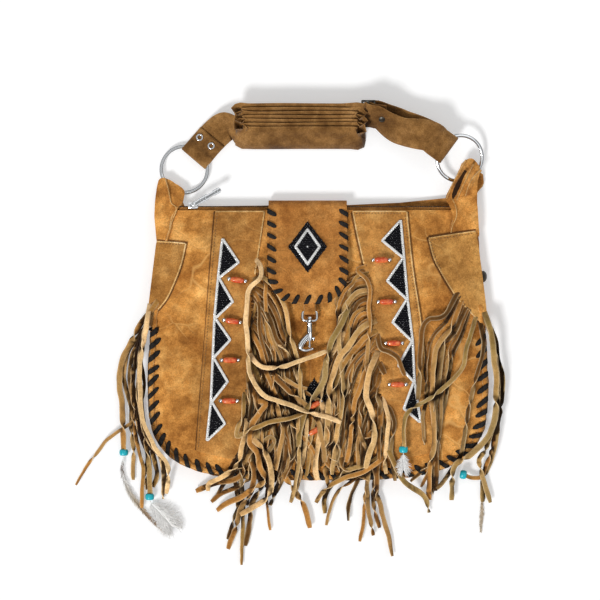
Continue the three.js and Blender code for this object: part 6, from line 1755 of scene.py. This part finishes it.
@dataclass
class Beadwork:
    """Seed beads in rows, lines of white beads and long glass beads between silver balls."""

    across: float = 1.62
    along: float = 1.95
    string_pitch: float = 2.3
    glass_half: float = 7.0
    glass_radius: float = 3.2
    glass_gap: float = 0.55
    ball_radius: float = 2.4

    def rows(
        self, name: str, polygon: Sequence[Point], surface: Height, node: str, body: str = "bag"
    ) -> None:
        """Fills an outline with rows of black beads over black felt."""
        leather_sheet(
            f"{name}_felt", polygon, surface, [Finish.FELT] * 2, "black_bead", node,
            body=body, thick=0.35, edge=0.1, step=6.0,
        )
        shell = Shell()
        rng = random.Random(len(name))
        (low_x, high_x), (low_y, high_y) = ((min(side), max(side)) for side in zip(*polygon))
        row = 0
        y = low_y + self.along * 0.5
        while y < high_y:
            x = low_x + self.across * (0.5 + 0.5 * (row % 2))
            while x < high_x:
                spot = (x + rng.uniform(-0.12, 0.12), y + rng.uniform(-0.1, 0.1))
                if inside(spot, polygon):
                    place = Vector((*spot, surface(*spot) + 0.95))
                    shell.bead(place, (0.78, 0.93, 0.78), rng.uniform(-0.15, 0.15))
                x += self.across
            y += self.along
            row += 1
        shell.piece(name, [Finish.BLACK_BEAD], "black_bead", node, body=body)

    def string(
        self, name: str, lines: Sequence[Sequence[Point]], surface: Height, node: str, body: str = "bag",
        lift: float = 1.35, size: float = 1.45,
    ) -> None:
        """Sews strings of white beads along lines."""
        shell = Shell()
        rng = random.Random(len(lines) * 7 + 1)
        for points in lines:
            for start, end in zip(points, points[1:]):
                a, b = Vector((*start, 0.0)), Vector((*end, 0.0))
                count = max(1, int((b - a).length / 6))
                spots = [a.lerp(b, i / count) for i in range(count + 1)]
                for spot in spots:
                    spot.z = surface(spot.x, spot.y) + lift
                band(shell, spots, [left_of(b - a).normalized()] * len(spots), size * 2.1, 0.5, 0, 0)
            for start, end in zip(points, points[1:]):
                a, b = Vector(start), Vector(end)
                count = max(1, round((b - a).length / self.string_pitch))
                for i in range(count + (1 if end is points[-1] else 0)):
                    spot = a.lerp(b, i / count)
                    x, y = spot.x + rng.uniform(-0.15, 0.15), spot.y + rng.uniform(-0.15, 0.15)
                    heading = math.atan2(b.y - a.y, b.x - a.x)
                    place = Vector((x, y, surface(x, y) + lift))
                    shell.bead(place, (size * 0.86, size, size * 0.34), heading)
        shell.piece(name, [Finish.WHITE_BEAD], "white_bead", node, body=body)

    def glass(self, name: str, x: float, y: float, angle: float, under: float) -> None:
        """Makes one long glass bead with a silver ball at each end."""
        shell = Shell()
        half, radius, ball = self.glass_half, self.glass_radius, self.ball_radius
        z = SHAPE.front(x, y) + under + radius + self.glass_gap
        heading = math.radians(angle)
        axis = Vector((math.cos(heading), math.sin(heading), 0.0))
        centre = Vector((x, y, z))
        end = ((1.0, 1.0), (2.0, 1.0), (2.7, 0.86), (3.1, 0.55))
        barrel = [*((r, -half * u) for r, u in end), (radius, 0), *((r, half * u) for r, u in reversed(end))]
        shell.turned(centre, axis, barrel, 20)
        angles = [math.pi * i / 10 for i in range(11)]
        for side in (-1, 1):
            place = centre + axis * side * (half + ball * 0.85)
            shell.turned(place, axis, [(ball * math.sin(a), -ball * math.cos(a)) for a in angles], 18, 1)
        shell.piece(f"{name}_glass", [Finish.ORANGE, Finish.CHROME], "orange_bead", name)

    def zigzag(self, name: str, points: Sequence[Point], side: int) -> None:
        """Makes one band of triangles: black rows, with white beads round each triangle.

        Args:
            name: the start of the names of its nodes.
            points: the corners of the zigzag, in turn on the straight edge and off it.
            side: 1 where the straight edge is on the right, -1 on the left.
        """
        on_panel = SHAPE.raised(1.9)
        straight = points[::2]
        edge = [(x - side * 1.2, y) for x, y in straight]
        ground = [*points, *reversed(edge)]
        self.rows(f"{name}_rows", ground, on_panel, f"{name}_ground")
        lines = [points, [(x - side * 0.8, y) for x, y in straight]]
        self.string(f"{name}_beads", lines, on_panel, f"{name}_line")

    def make(self, flap: Flap) -> None:
        """Makes all the beadwork."""
        x, y = -11.5, 102.3
        on_flap: Height = lambda u, v: flap.top(u, v) + 0.1
        self.rows("diamond_rows", diamond(x, y, 21.4, 28.2), on_flap, "diamond_black", "flap")
        ring = diamond(x, y, 13.2, 19.0)
        self.string("diamond_beads", [[*ring, ring[0]]], on_flap, "diamond_line", "flap", 1.55, 1.5)
        self.string("diamond_centre", [[(x, y), (x + 0.1, y)]], on_flap, "diamond_core", "flap", 1.8, 1.0)
        self.zigzag("zigzag_left", ZIGZAG_LEFT, 1)
        self.zigzag("zigzag_right", ZIGZAG_RIGHT, -1)
        self.rows("lower_rows", diamond(-4.4, -63.8, 15.4, 22), SHAPE.raised(0.25), "lower_diamond")
        for name, bx, by, angle, under in (
            ("bead_left_1", -88.4, 65.8, -8, 1.7), ("bead_left_2", -94, 20.8, -8, 1.7),
            ("bead_left_3", -96.3, -21.8, 0, 1.7), ("bead_left_4", -97.4, -66.4, 0, 1.7),
            ("bead_right_1", 69.3, 87.8, 0, 1.7), ("bead_right_2", 74.8, 42, 0, 1.7),
            ("bead_right_3", 82.9, -3.2, 0, 1.7), ("bead_right_4", 86.9, -48.4, 0, 1.7),
            ("bead_lower_1", -4.4, -71.1, 32, 1.9), ("bead_lower_2", -3.3, -99, 32, 0.0),
        ):
            self.glass(name, bx, by, angle, under)
        LOG.info("beadwork made")


ZIGZAG_LEFT = (
    (-104.4, 110.5), (-87.2, 85.2), (-108.7, 68.3), (-93.5, 42.1), (-112.7, 24), (-96.2, 0.4),
    (-114.5, -19.2),
    (-99.1, -45.4), (-116.5, -67.5), (-102.1, -91.5), (-121.1, -109.6),
)
ZIGZAG_RIGHT = (
    (90.2, 130.9), (70.6, 109.2), (93.4, 90.3), (75.7, 65), (97.1, 44.9), (81.6, 19.8), (102.8, -1.1),
    (88, -27.5),
    (104.8, -45.4), (94, -74.8), (111.4, -89.5),
)


@dataclass
class Ring:
    """A metal ring: its name, its centre and the axis of its hole."""

    name: str
    centre: Vector
    axis: Vector
    radius: float = 25.5
    wire: float = 2.1
    clear: float = 0.4

    def make(self) -> None:
        """Makes the ring."""
        bpy.ops.mesh.primitive_torus_add(
            major_segments=96, minor_segments=20, major_radius=self.radius * MM, minor_radius=self.wire * MM,
        )
        made = bpy.context.object
        made.name = f"{self.name}_wire"
        turn = UP.rotation_difference(self.axis).to_matrix()
        for vertex in made.data.vertices:
            vertex.co = turn @ vertex.co + self.centre * MM
        smooth_faces(made)
        made.data.materials.append(Finish.CHROME.get())
        stand_in(made, [self.name], self.name)

    def loop(self, towards: Point, wide: float, thick: float) -> tuple[list[Vector], Vector, Vector]:
        """Returns a strap's way round the ring.

        Args:
            towards: the flat direction in which the strap leaves.
            wide: width of the strap.
            thick: its thickness.

        Returns:
            The points of its middle, the direction of its width and the way out.
        """
        flat = Vector((*towards, 0.0))
        out = (flat - self.axis * flat.dot(self.axis)).normalized()
        lift = self.wire + self.clear + thick / 2
        near = math.sqrt(self.radius**2 - (wide / 2) ** 2) - lift
        far = self.radius + self.wire + 0.8
        upper = ((near, lift * 0.3), (near + 0.6, lift * 0.75), (near + 2.2, lift), (far - 3, lift),
                 (far, lift * 0.8), (far + 4, thick / 2))
        local = [*((u, -v) for u, v in reversed(upper)), *upper]
        points = [self.centre + out * u + self.axis * v for u, v in local]
        return points, self.axis.cross(out).normalized(), out


RING_LEFT = Ring("ring_left", Vector((-147.7, 188.3, 4.5)), UP)
RING_RIGHT = Ring("ring_right", Vector((156.2, 200.2, 12.8)), Vector((0.1854, -0.2472, 0.9511)).normalized())


@dataclass
class Strap:
    """The shoulder strap, folded in a stack between the rings, with its metal parts."""

    wide: float = 34.0
    tab_wide: float = 19.0
    slider_wire: float = 1.15
    thick: float = 1.5
    tilt: float = 0.83
    first_y: float = 222.8
    pitch: float = 4.2
    folds: int = 7
    ends: Point = (-82.0, 42.0)
    middle_z: float = 13.4
    slider_at: tuple[float, float, float] = (55.0, 249.0, 17.0)
    eyelets: tuple[tuple[float, float, float], ...] = ((-130.8, 223.6, 7.0), (-118.0, 214.2, 7.0))

    def __post_init__(self) -> None:
        """Sets the direction of the folded strap's width and the one that its face looks in."""
        self.lean = Vector((0, math.cos(self.tilt), math.sin(self.tilt)))
        self.facing = Vector((0, -math.sin(self.tilt), math.cos(self.tilt)))

    def run(self, shell: Shell, stations: Sequence[tuple[Vector, Vector]]) -> None:
        """Adds a stretch of strap through stations, each a point and the direction of its width."""
        path = Line([p for p, _ in stations], 1.2)
        turns = [0.0]
        for (a, _), (b, _) in zip(stations, stations[1:]):
            turns.append(turns[-1] + (b - a).length)
        count = max(4, int(path.length / 2.2))
        spots, acrosses = [], []
        for i in range(count + 1):
            share = turns[-1] * i / count
            k = max(0, min(len(turns) - 2, sum(1 for t in turns[1:-1] if t <= share)))
            t = smooth((share - turns[k]) / max(1e-6, turns[k + 1] - turns[k]))
            spots.append(path.at(path.length * i / count))
            acrosses.append(stations[k][1].lerp(stations[k + 1][1], t).normalized())
        band(shell, spots, acrosses, self.wide, self.thick)

    def on_face(self, t: float, n: float) -> Vector:
        """Returns a place by the strap's slider, t along the strap and n off its face."""
        return Vector(self.slider_at) + RIGHT * t + self.facing * n

    def make(self) -> None:
        """Makes the strap and its metal parts."""
        shell = Shell()
        self.left_end(shell)
        self.stack(shell)
        self.right_end(shell)
        shell.settle()
        shell.piece("strap_band", [Finish.STRAP, Finish.STRAP_EDGE], "suede_strap", "shoulder_strap")
        self.tabs()
        self.metal()
        RING_LEFT.make()
        RING_RIGHT.make()
        LOG.info("strap made")

    def left_end(self, shell: Shell) -> None:
        """Adds the strap at the left ring: a tail over it, and the strap that comes from under it."""
        points, across, out = RING_LEFT.loop((0.65, 0.76), self.wide, self.thick)
        over = across if across.x < 0 else -across
        tail = points[11] + out * 15 + Vector((0, 0, 0.4))
        away = (points[0] - points[1]).normalized()
        y = self.first_y
        self.run(shell, [
            *((p, over) for p in [tail, *reversed(points[1:])]),
            (points[0] + away * 0.5, over),
            (points[0] + out * 6, over),
            (Vector((-111, 229.5, 4.6)), Vector((-0.72, 0.69, 0.05))),
            (Vector((-101, 236, 7.5)), Vector((-0.5, 0.8, 0.3))),
            (Vector((-92, 233, 11)), Vector((-0.15, 0.85, 0.5))),
            (Vector((-85, 226, 13.4)), Vector((0.05, 0.75, 0.66))),
            (Vector((-77, y, self.middle_z)), self.lean),
            (Vector((-20, y, self.middle_z)), self.lean),
        ])

    def stack(self, shell: Shell) -> None:
        """Adds the folds of the strap, one behind the other, with a loose loop at each turn."""
        rng = random.Random(3)
        left, right = self.ends
        stations: list[tuple[Vector, Vector]] = [(Vector((-20, self.first_y, self.middle_z)), self.lean)]
        for k in range(self.folds):
            y = self.first_y + self.pitch * k
            sense = 1 if k % 2 == 0 else -1
            start, end = (left, right) if sense > 0 else (right, left)
            if k > 0:
                for t in (0.1, 0.35, 0.65):
                    wave = Vector((0, 0.45 * math.sin(5 * t + k), 0))
                    stations.append((Vector((mix(start, end, t), y, self.middle_z)) + wave, self.lean))
            stations.append((Vector((mix(start, end, 0.9), y, self.middle_z)), self.lean))
            if k == self.folds - 1:
                break
            reach = rng.uniform(5.0, 8.0)
            bulge = rng.uniform(0.7, 1.3)
            turn = ((-3.0, -bulge * 0.3), (reach * 0.45, -bulge), (reach * 0.93, self.pitch * 0.22))
            back = ((u, self.pitch - v) for u, v in reversed(turn))
            for u, v in (*turn, (reach, self.pitch * 0.5), *back):
                stations.append((Vector((end + sense * u, y + v, self.middle_z)), self.lean))
        self.run(shell, stations)

    def right_end(self, shell: Shell) -> None:
        """Adds the strap from the stack through its slider, round the right ring and back."""
        points, across, out = RING_RIGHT.loop((-0.81, 0.59), self.wide, self.thick)
        rim = across if across.y > 0 else -across

        def toward(share: float) -> Vector:
            return self.lean.lerp(rim, share).normalized()

        top_y = self.first_y + self.pitch * (self.folds - 1)
        self.run(shell, [
            (Vector((self.ends[1] - 12, top_y, self.middle_z)), self.lean),
            (self.on_face(-9.5, 0.6), self.lean), (self.on_face(-6.6, 2.2), self.lean),
            (self.on_face(0, -2.6), self.lean), (self.on_face(5.2, -2.6), self.lean),
            (self.on_face(12, -2.2), self.lean), (Vector((92, 239, 13.4)), toward(0.4)),
            (points[0] + out * 12, toward(0.85)), (points[0], rim),
            *((p, rim) for p in points[1:]),
            (points[11] + out * 12 + Vector((0, 0, 1.2)), toward(0.85)),
            (Vector((90, 230, 20.5)), toward(0.4)),
            (self.on_face(12, 6.6), self.lean), (self.on_face(6.6, 5.2), self.lean),
            (self.on_face(0, 2.4), self.lean), (self.on_face(-2.6, 0.3), self.lean),
            (self.on_face(-2.0, -1.3), self.lean), (self.on_face(2, -1.2), self.lean),
            (self.on_face(6.6, 2.4), self.lean), (self.on_face(20, 4.9), self.lean),
        ])

    def tabs(self) -> None:
        """Adds the suede tabs that hold the rings."""
        for ring, towards, tail in (
            (RING_LEFT, (-0.51, -0.86), ((-159.5, 151, 6.4), (-155.8, 143, 6.8), (-155, 128, 6.8))),
            (RING_RIGHT, (0.6, -0.8), ((162, 157, 6), (156.5, 144, 6.8), (155, 128, 6.8))),
        ):
            shell = Shell()
            points, across, _ = ring.loop(towards, self.tab_wide, self.thick)
            ends = [Vector(p) for p in tail]
            for limb, lift in ((points[:7], -0.8), (points[:5:-1], 0.8)):
                shift = Vector((0, 0, lift))
                line = [*reversed(limb), *(p + shift for p in ends)]
                flat = RIGHT if across.x > 0 else -RIGHT
                turns = [across] * len(limb) + [across.lerp(flat, t) for t in (0.5, 1.0, 1.0)]
                path = Line(line, 1.5)
                count = int(path.length / 2)
                sides = [turns[min(len(turns) - 1, int(i / count * len(turns)))] for i in range(count + 1)]
                band(shell, path.samples(count), sides, self.tab_wide, self.thick)
            shell.settle()
            finishes = [Finish.BODY, Finish.EDGE]
            shell.piece(f"{ring.name}_tab", finishes, "suede_body", ring.name.replace("ring", "ring_tab"))

    def metal(self) -> None:
        """Adds the strap's slider, its rivet and the eyelets of its tail."""
        shell = Shell()
        half = self.wide / 2 + 2
        at = Vector(self.slider_at)
        frame = [
            at + RIGHT * t + self.lean * w
            for t, w in ((-6.6, 0), (-6.6, half), (6.6, half), (6.6, -half), (-6.6, -half), (-6.6, 0))
        ]
        for a, b in zip(frame, frame[1:]):
            shell.rod([a, b], self.slider_wire, 12)
        for corner in frame[1:5]:
            shell.bead(corner, (1.2, 1.2, 1.2))
        shell.rod([at - self.lean * half, at + self.lean * half], self.slider_wire, 12)
        shell.piece("slider_frame", [Finish.DARK_METAL], "dark_metal", "strap_slider")
        shell = Shell()
        shell.turned(self.on_face(15.5, 5.9), self.facing, (
            (0.1, -4.4), (3.0, -4.3), (3.2, -3.4), (1.5, -3.2), (1.5, 3.0), (3.9, 3.1), (4.0, 3.5),
            (3.2, 4.2),
            (1.6, 4.6), (0.1, 4.7),
        ), 24)
        shell.piece("rivet", [Finish.DARK_METAL], "dark_metal", "strap_rivet", crisp=50)
        angles = [2 * math.pi * k / 12 for k in range(12)]
        profile = [(3.1 + 0.95 * math.cos(a), 0.55 * math.sin(a)) for a in angles]
        for i, place in enumerate(self.eyelets, 1):
            shell = Shell()
            shell.ring(Vector(place), RIGHT, AHEAD, UP, profile, 28)
            shell.piece(f"eyelet_{i}", [Finish.CHROME], "chrome", f"strap_eyelet_{i}")


@dataclass
class Mouth:
    """The zip with its slider and pull, and the stud on the bag's side."""

    low: float = 10.1
    slider_x: float = -137.5
    pull_pivot: tuple[float, float, float] = (-136.5, 149.0, 17.6)
    pull_angle: float = math.pi / 6
    pull_length: float = 34.0

    def make(self) -> None:
        """Makes the zip and the stud."""
        leather_sheet(
            "zip_tape", ((-154, 131), (154, 131), (154, 146.3), (-154, 146.3)), lambda x, y: 10.9,
            [Finish.FACING] * 2, "zip_cloth", "zip_tape_front", thick=0.9, step=20, edge=0.2,
        )
        shell = Shell()
        for i in range(154):
            shell.bead(Vector((-153 + 2.0 * i, 146.9, 11.4)), (0.7, 0.9, 1.0))
        shell.piece("zip_teeth", [Finish.DARK_METAL], "zip_cloth", "zip_tape_front")
        self.slider()
        self.pull()
        self.stud()

    def slider(self) -> None:
        """Makes the zip's slider."""
        shell = Shell()
        plates = (self.low - 1.0, self.low + 3.8)
        for z in plates:
            rings = []
            for x, y0, y1 in ((-5.5, 146.0, 151.0), (-4.6, 145.0, 151.8), (0, 144.7, 152.0),
                              (4.6, 145.0, 151.8), (5.5, 146.0, 151.0)):
                under = ((y0, -0.5), (y0 + 0.5, -0.75), (y1 - 0.5, -0.75), (y1, -0.5))
                section = (*under, *((y, -h) for y, h in reversed(under)))
                rings.append([shell.add((self.slider_x + x, y, z + h)) for y, h in section])
            shell.sweep(rings)
        shell.rod([Vector((self.slider_x, 150.6, z)) for z in plates], 1.4, 12)
        x, y, z = self.pull_pivot
        shell.rod([Vector((x, y, self.low + 3.6)), Vector((x, y, z + 1.4))], 1.0, 14)
        cap = ((0.1, -0.4), (1.8, -0.3), (1.9, 0.1), (1.4, 0.5), (0.1, 0.6))
        shell.turned(Vector((x, y, z + 1.6)), UP, cap, 18)
        shell.piece("zip_runner", [Finish.CHROME], "chrome", "zip_slider", body="zip_slider", crisp=40)

    def pull(self) -> None:
        """Makes the zip's long pull."""
        shell = Shell()
        pivot = Vector(self.pull_pivot)
        way = Vector((math.cos(self.pull_angle), math.sin(self.pull_angle), 0))
        side = left_of(way)
        length = self.pull_length
        outer = [(-2.6, 1.6), (-1.2, 2.8), (1.4, 2.9), (5.0, 2.4), (8.0, 3.1), (length * 0.5, 3.2),
                 (length * 0.56, 2.3), (length * 0.7, 2.3), (length * 0.75, 3.1), (length - 2.2, 3.0),
                 (length - 0.4, 2.2), (length, 0.8)]
        under = ((1.0, -0.3), (0.85, -0.6), (-0.85, -0.6), (-1.0, -0.3))
        section = (*under, *((v, -w) for v, w in reversed(under)))
        rings = []
        for u, half in outer:
            centre = pivot + UP * 0.1 + way * u
            rings.append([shell.add(centre + side * half * v + UP * w) for v, w in section])
        shell.sweep(rings)
        for u in (8.5, 11.5, 14.5, 26.5, 29.5):
            centre = pivot + UP * 0.75 + way * u
            shell.rod([centre - side * 2.1, centre + side * 2.1], 0.5, 8)
        shell.piece("zip_handle", [Finish.CHROME], "chrome", "zip_pull", body="zip_pull", crisp=50)

    def stud(self) -> None:
        """Makes the domed stud on the right side."""
        shell = Shell()
        y = 69.9
        shell.turned(Vector((SHAPE.half(y) + 0.2, y, 9.8)), Vector((0.72, 0, 0.69)), (
            (0.1, 0.0), (6.2, 0.0), (6.4, 0.5), (6.1, 1.0), (5.0, 1.9), (3.0, 2.8), (0.1, 3.2),
        ), 28)
        shell.piece("stud", [Finish.DARK_METAL], "dark_metal", "side_stud", crisp=50)


@dataclass
class Plume:
    """One feather: a quill with many thin barbs on both sides.

    Attributes:
        node: the node that it stands for.
        path: the points of its quill.
        lengths: the length of its barbs at the start, middle and end of the part that has them.
        start: the share of the quill where the barbs start.
        lean: the angle from the quill to a barb, in radians.
        curl: how far the barbs bend on.
        count: barbs on each side.
        stops: the colours along the feather.
        seed: picks its unevenness.
    """

    node: str
    path: tuple[tuple[float, float, float], ...]
    lengths: tuple[float, float, float, float]
    start: float
    lean: float
    curl: float
    count: int
    stops: tuple[tuple[float, Colour], ...]
    seed: int

    def make(self) -> None:
        """Makes the feather."""
        shell = Shell()
        rng = random.Random(self.seed)
        line = Line(self.path, 1.0)
        shell.rod(line.samples(40), lambda t: 0.62 - 0.45 * t, 6)
        shell.tints += [(i // 6 / 40, 0.0, 0.0, 1.0) for i in range(len(shell.points))]
        for i in range(self.count * 2):
            t = mix(self.start, 1.0, (i + rng.random()) / (self.count * 2))
            self.barb(shell, line, t, 1 if i % 2 else -1, rng)
        shell.piece(f"{self.node}_barbs", [Feathered(f"{self.node}_down", self.stops)], "feather", self.node)

    def barb(self, shell: Shell, line: Line, t: float, side: int, rng: random.Random) -> None:
        """Adds one barb that leaves the quill at a share of its length."""
        spot, way = line.at(line.length * t), line.way(line.length * t)
        base = spot.z
        share = (t - self.start) / (1 - self.start) * (len(self.lengths) - 1)
        k = min(len(self.lengths) - 2, int(share))
        length = mix(self.lengths[k], self.lengths[k + 1], share - k) * rng.uniform(0.72, 1.12)
        heading = math.atan2(way.y, way.x) + side * self.lean * rng.uniform(0.75, 1.25)
        bend = side * self.curl * rng.uniform(-0.4, 1.2)
        rise = rng.uniform(-0.1, 1.0)
        rings = []
        steps = 5
        tint = (clamp(t + rng.uniform(-0.05, 0.05), 0.0, 1.0), 0, 0, 1)
        for i in range(steps + 1):
            u = i / steps
            angle = heading - bend * u
            if i:
                spot = spot + Vector((math.cos(angle), math.sin(angle), 0)) * (length / steps)
            wave = 0.6 * ripple(spot.x, spot.y, 6, self.seed)
            z = max(0.35, base + rise * math.sin(math.pi * u * 0.8) * 1.6 + wave)
            across = Vector((-math.sin(angle), math.cos(angle), 0)) * (0.42 * (1 - 0.75 * u))
            ridge = UP * (0.16 * (1 - 0.5 * u))
            rings.append([shell.add(Vector((*spot.xy, z)) + off, tint) for off in (across, ridge, -across)])
        shell.sweep(rings)


@dataclass
class Ends:
    """The turquoise beads at the ends of four strips, and the feathers."""

    radius: float = 5.0
    half: float = 3.5
    hole: float = 2.2
    edge: float = 1.6
    beads: tuple[tuple[float, float, float, float, float], ...] = (
        (-214.5, -124.5, 2, 2.8, -math.pi / 2), (-186, -173.5, 3, 2.8, -math.pi / 2),
        (93.5, -119.6, 4, 4, -math.pi / 2), (160.4, -148.7, 1, 2.8, math.pi * 0.95),
    )

    def height(self, x: float, y: float, level: float, land: float) -> float:
        """Returns the height of a bead's middle on its strip."""
        away = smooth((SHAPE.outside(x, y) + 2) / (SHAPE.shoulder_run + 14))
        return SHAPE.drape(x, y) + mix(2.9 + level * 1.5, 0.9 + land * 1.5, away)

    def make(self) -> None:
        """Makes the beads and the feathers."""
        heights = []
        angles = [math.pi * (k / 8 - 0.5) for k in range(9)]
        inner = self.radius - self.edge
        outer = [(inner + self.edge * math.cos(a), self.half * math.sin(a)) for a in angles]
        profile = [(self.hole, -self.half), *outer, (self.hole, self.half)]
        for i, (x, y, level, land, heading) in enumerate(self.beads, 1):
            z = max(self.height(x, y, level, land), self.radius + 0.1)
            heights.append(z)
            shell = Shell()
            axis = Vector((math.cos(heading), math.sin(heading), 0))
            shell.ring(Vector((x, y, z)), axis.cross(UP), UP, axis, profile, 32)
            shell.piece(f"pony_{i}", [Finish.TURQUOISE], "turquoise_bead", f"pony_bead_{i}", crisp=50)
        white = (0.97, 0.96, 0.94)
        cream = (0.62, 0.50, 0.34)
        brown = (0.13, 0.075, 0.04)
        z0, z1, z2, _ = heights
        for plume in (
            Plume("feather_1", ((-214.5, -122, z0 - 1), (-215, -131, z0 - 1.6), (-216.8, -143, 2.4),
                                (-213, -158, 1.8), (-205, -174, 1.4), (-190, -193, 1.2), (-171, -212, 1)),
                  (3.0, 8.0, 6.0, 3.5), 0.10, 0.55, 0.3, 150,
                  ((0.0, white), (0.12, white), (0.19, brown), (0.27, white), (0.44, (0.66, 0.60, 0.52)),
                   (0.58, cream),
                   (0.78, (0.42, 0.27, 0.16)), (1.0, (0.50, 0.33, 0.20))), 2),
            Plume("feather_2", ((-186, -172, z1 - 1), (-185.4, -179.5, z1 - 1.5), (-178, -187.5, 4),
                                (-169, -197, 4.4), (-161, -207, 3.4)),
                  (9.0, 17.0, 19.0, 14.0), 0.22, 1.05, 0.9, 210, ((0.0, white), (1.0, (0.93, 0.91, 0.88))),
                  3),
            Plume("feather_3", ((93.5, -119, z2 - 1.2), (93.5, -126, z2 - 1.4), (93.5, -133, z2 - 1.6),
                                (93.5, -142, z2 - 2.4)),
                  (6.0, 10.0, 11.0, 9.0), 0.25, 0.8, 0.7, 110, ((0.0, white), (1.0, white)), 4),
            Plume("feather_4", ((181, -172, 1.2), (181.5, -180, 1.2), (181.5, -190, 1.2), (180.5, -204, 1.2),
                                (180.4, -212, 1.2)),
                  (3.0, 6.0, 4.0, 2.5), 0.12, 0.5, 0.3, 90, ((0.0, (0.55, 0.42, 0.27)),
                   (1.0, (0.66, 0.55, 0.4))), 5),
        ):
            plume.make()
        LOG.info("beads and feathers made")


def corners(low: Sequence[float], high: Sequence[float]) -> list[list[float]]:
    """Returns a box's two corners as plain lists of numbers."""
    return [[float(v) for v in low], [float(v) for v in high]]


def finish_rest() -> None:
    """Gives the solid model's own pieces that stay in view their finishes."""
    tape = bpy.data.objects.get("zip_tape_back")
    if tape is not None:
        tape.data.materials.clear()
        tape.data.materials.append(Finish.CLOTH.get())


def main() -> None:
    """Builds the looks of the bag and its setting."""
    logging.basicConfig(level=logging.INFO, format="%(levelname)s %(message)s")
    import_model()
    cad = corners(*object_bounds())
    Body().make()
    for panel in panels():
        panel.make()
    flap = Flap()
    flap.make()
    Beadwork().make(flap)
    Strap().make()
    Mouth().make()
    Ends().make()
    finish_rest()
    studio = Studio()
    studio.floor()
    studio.lights()
    studio.camera()
    visual = corners(*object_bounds())
    LOG.info("cad %s visual %s", cad, visual)


if __name__ == "__main__":
    main()
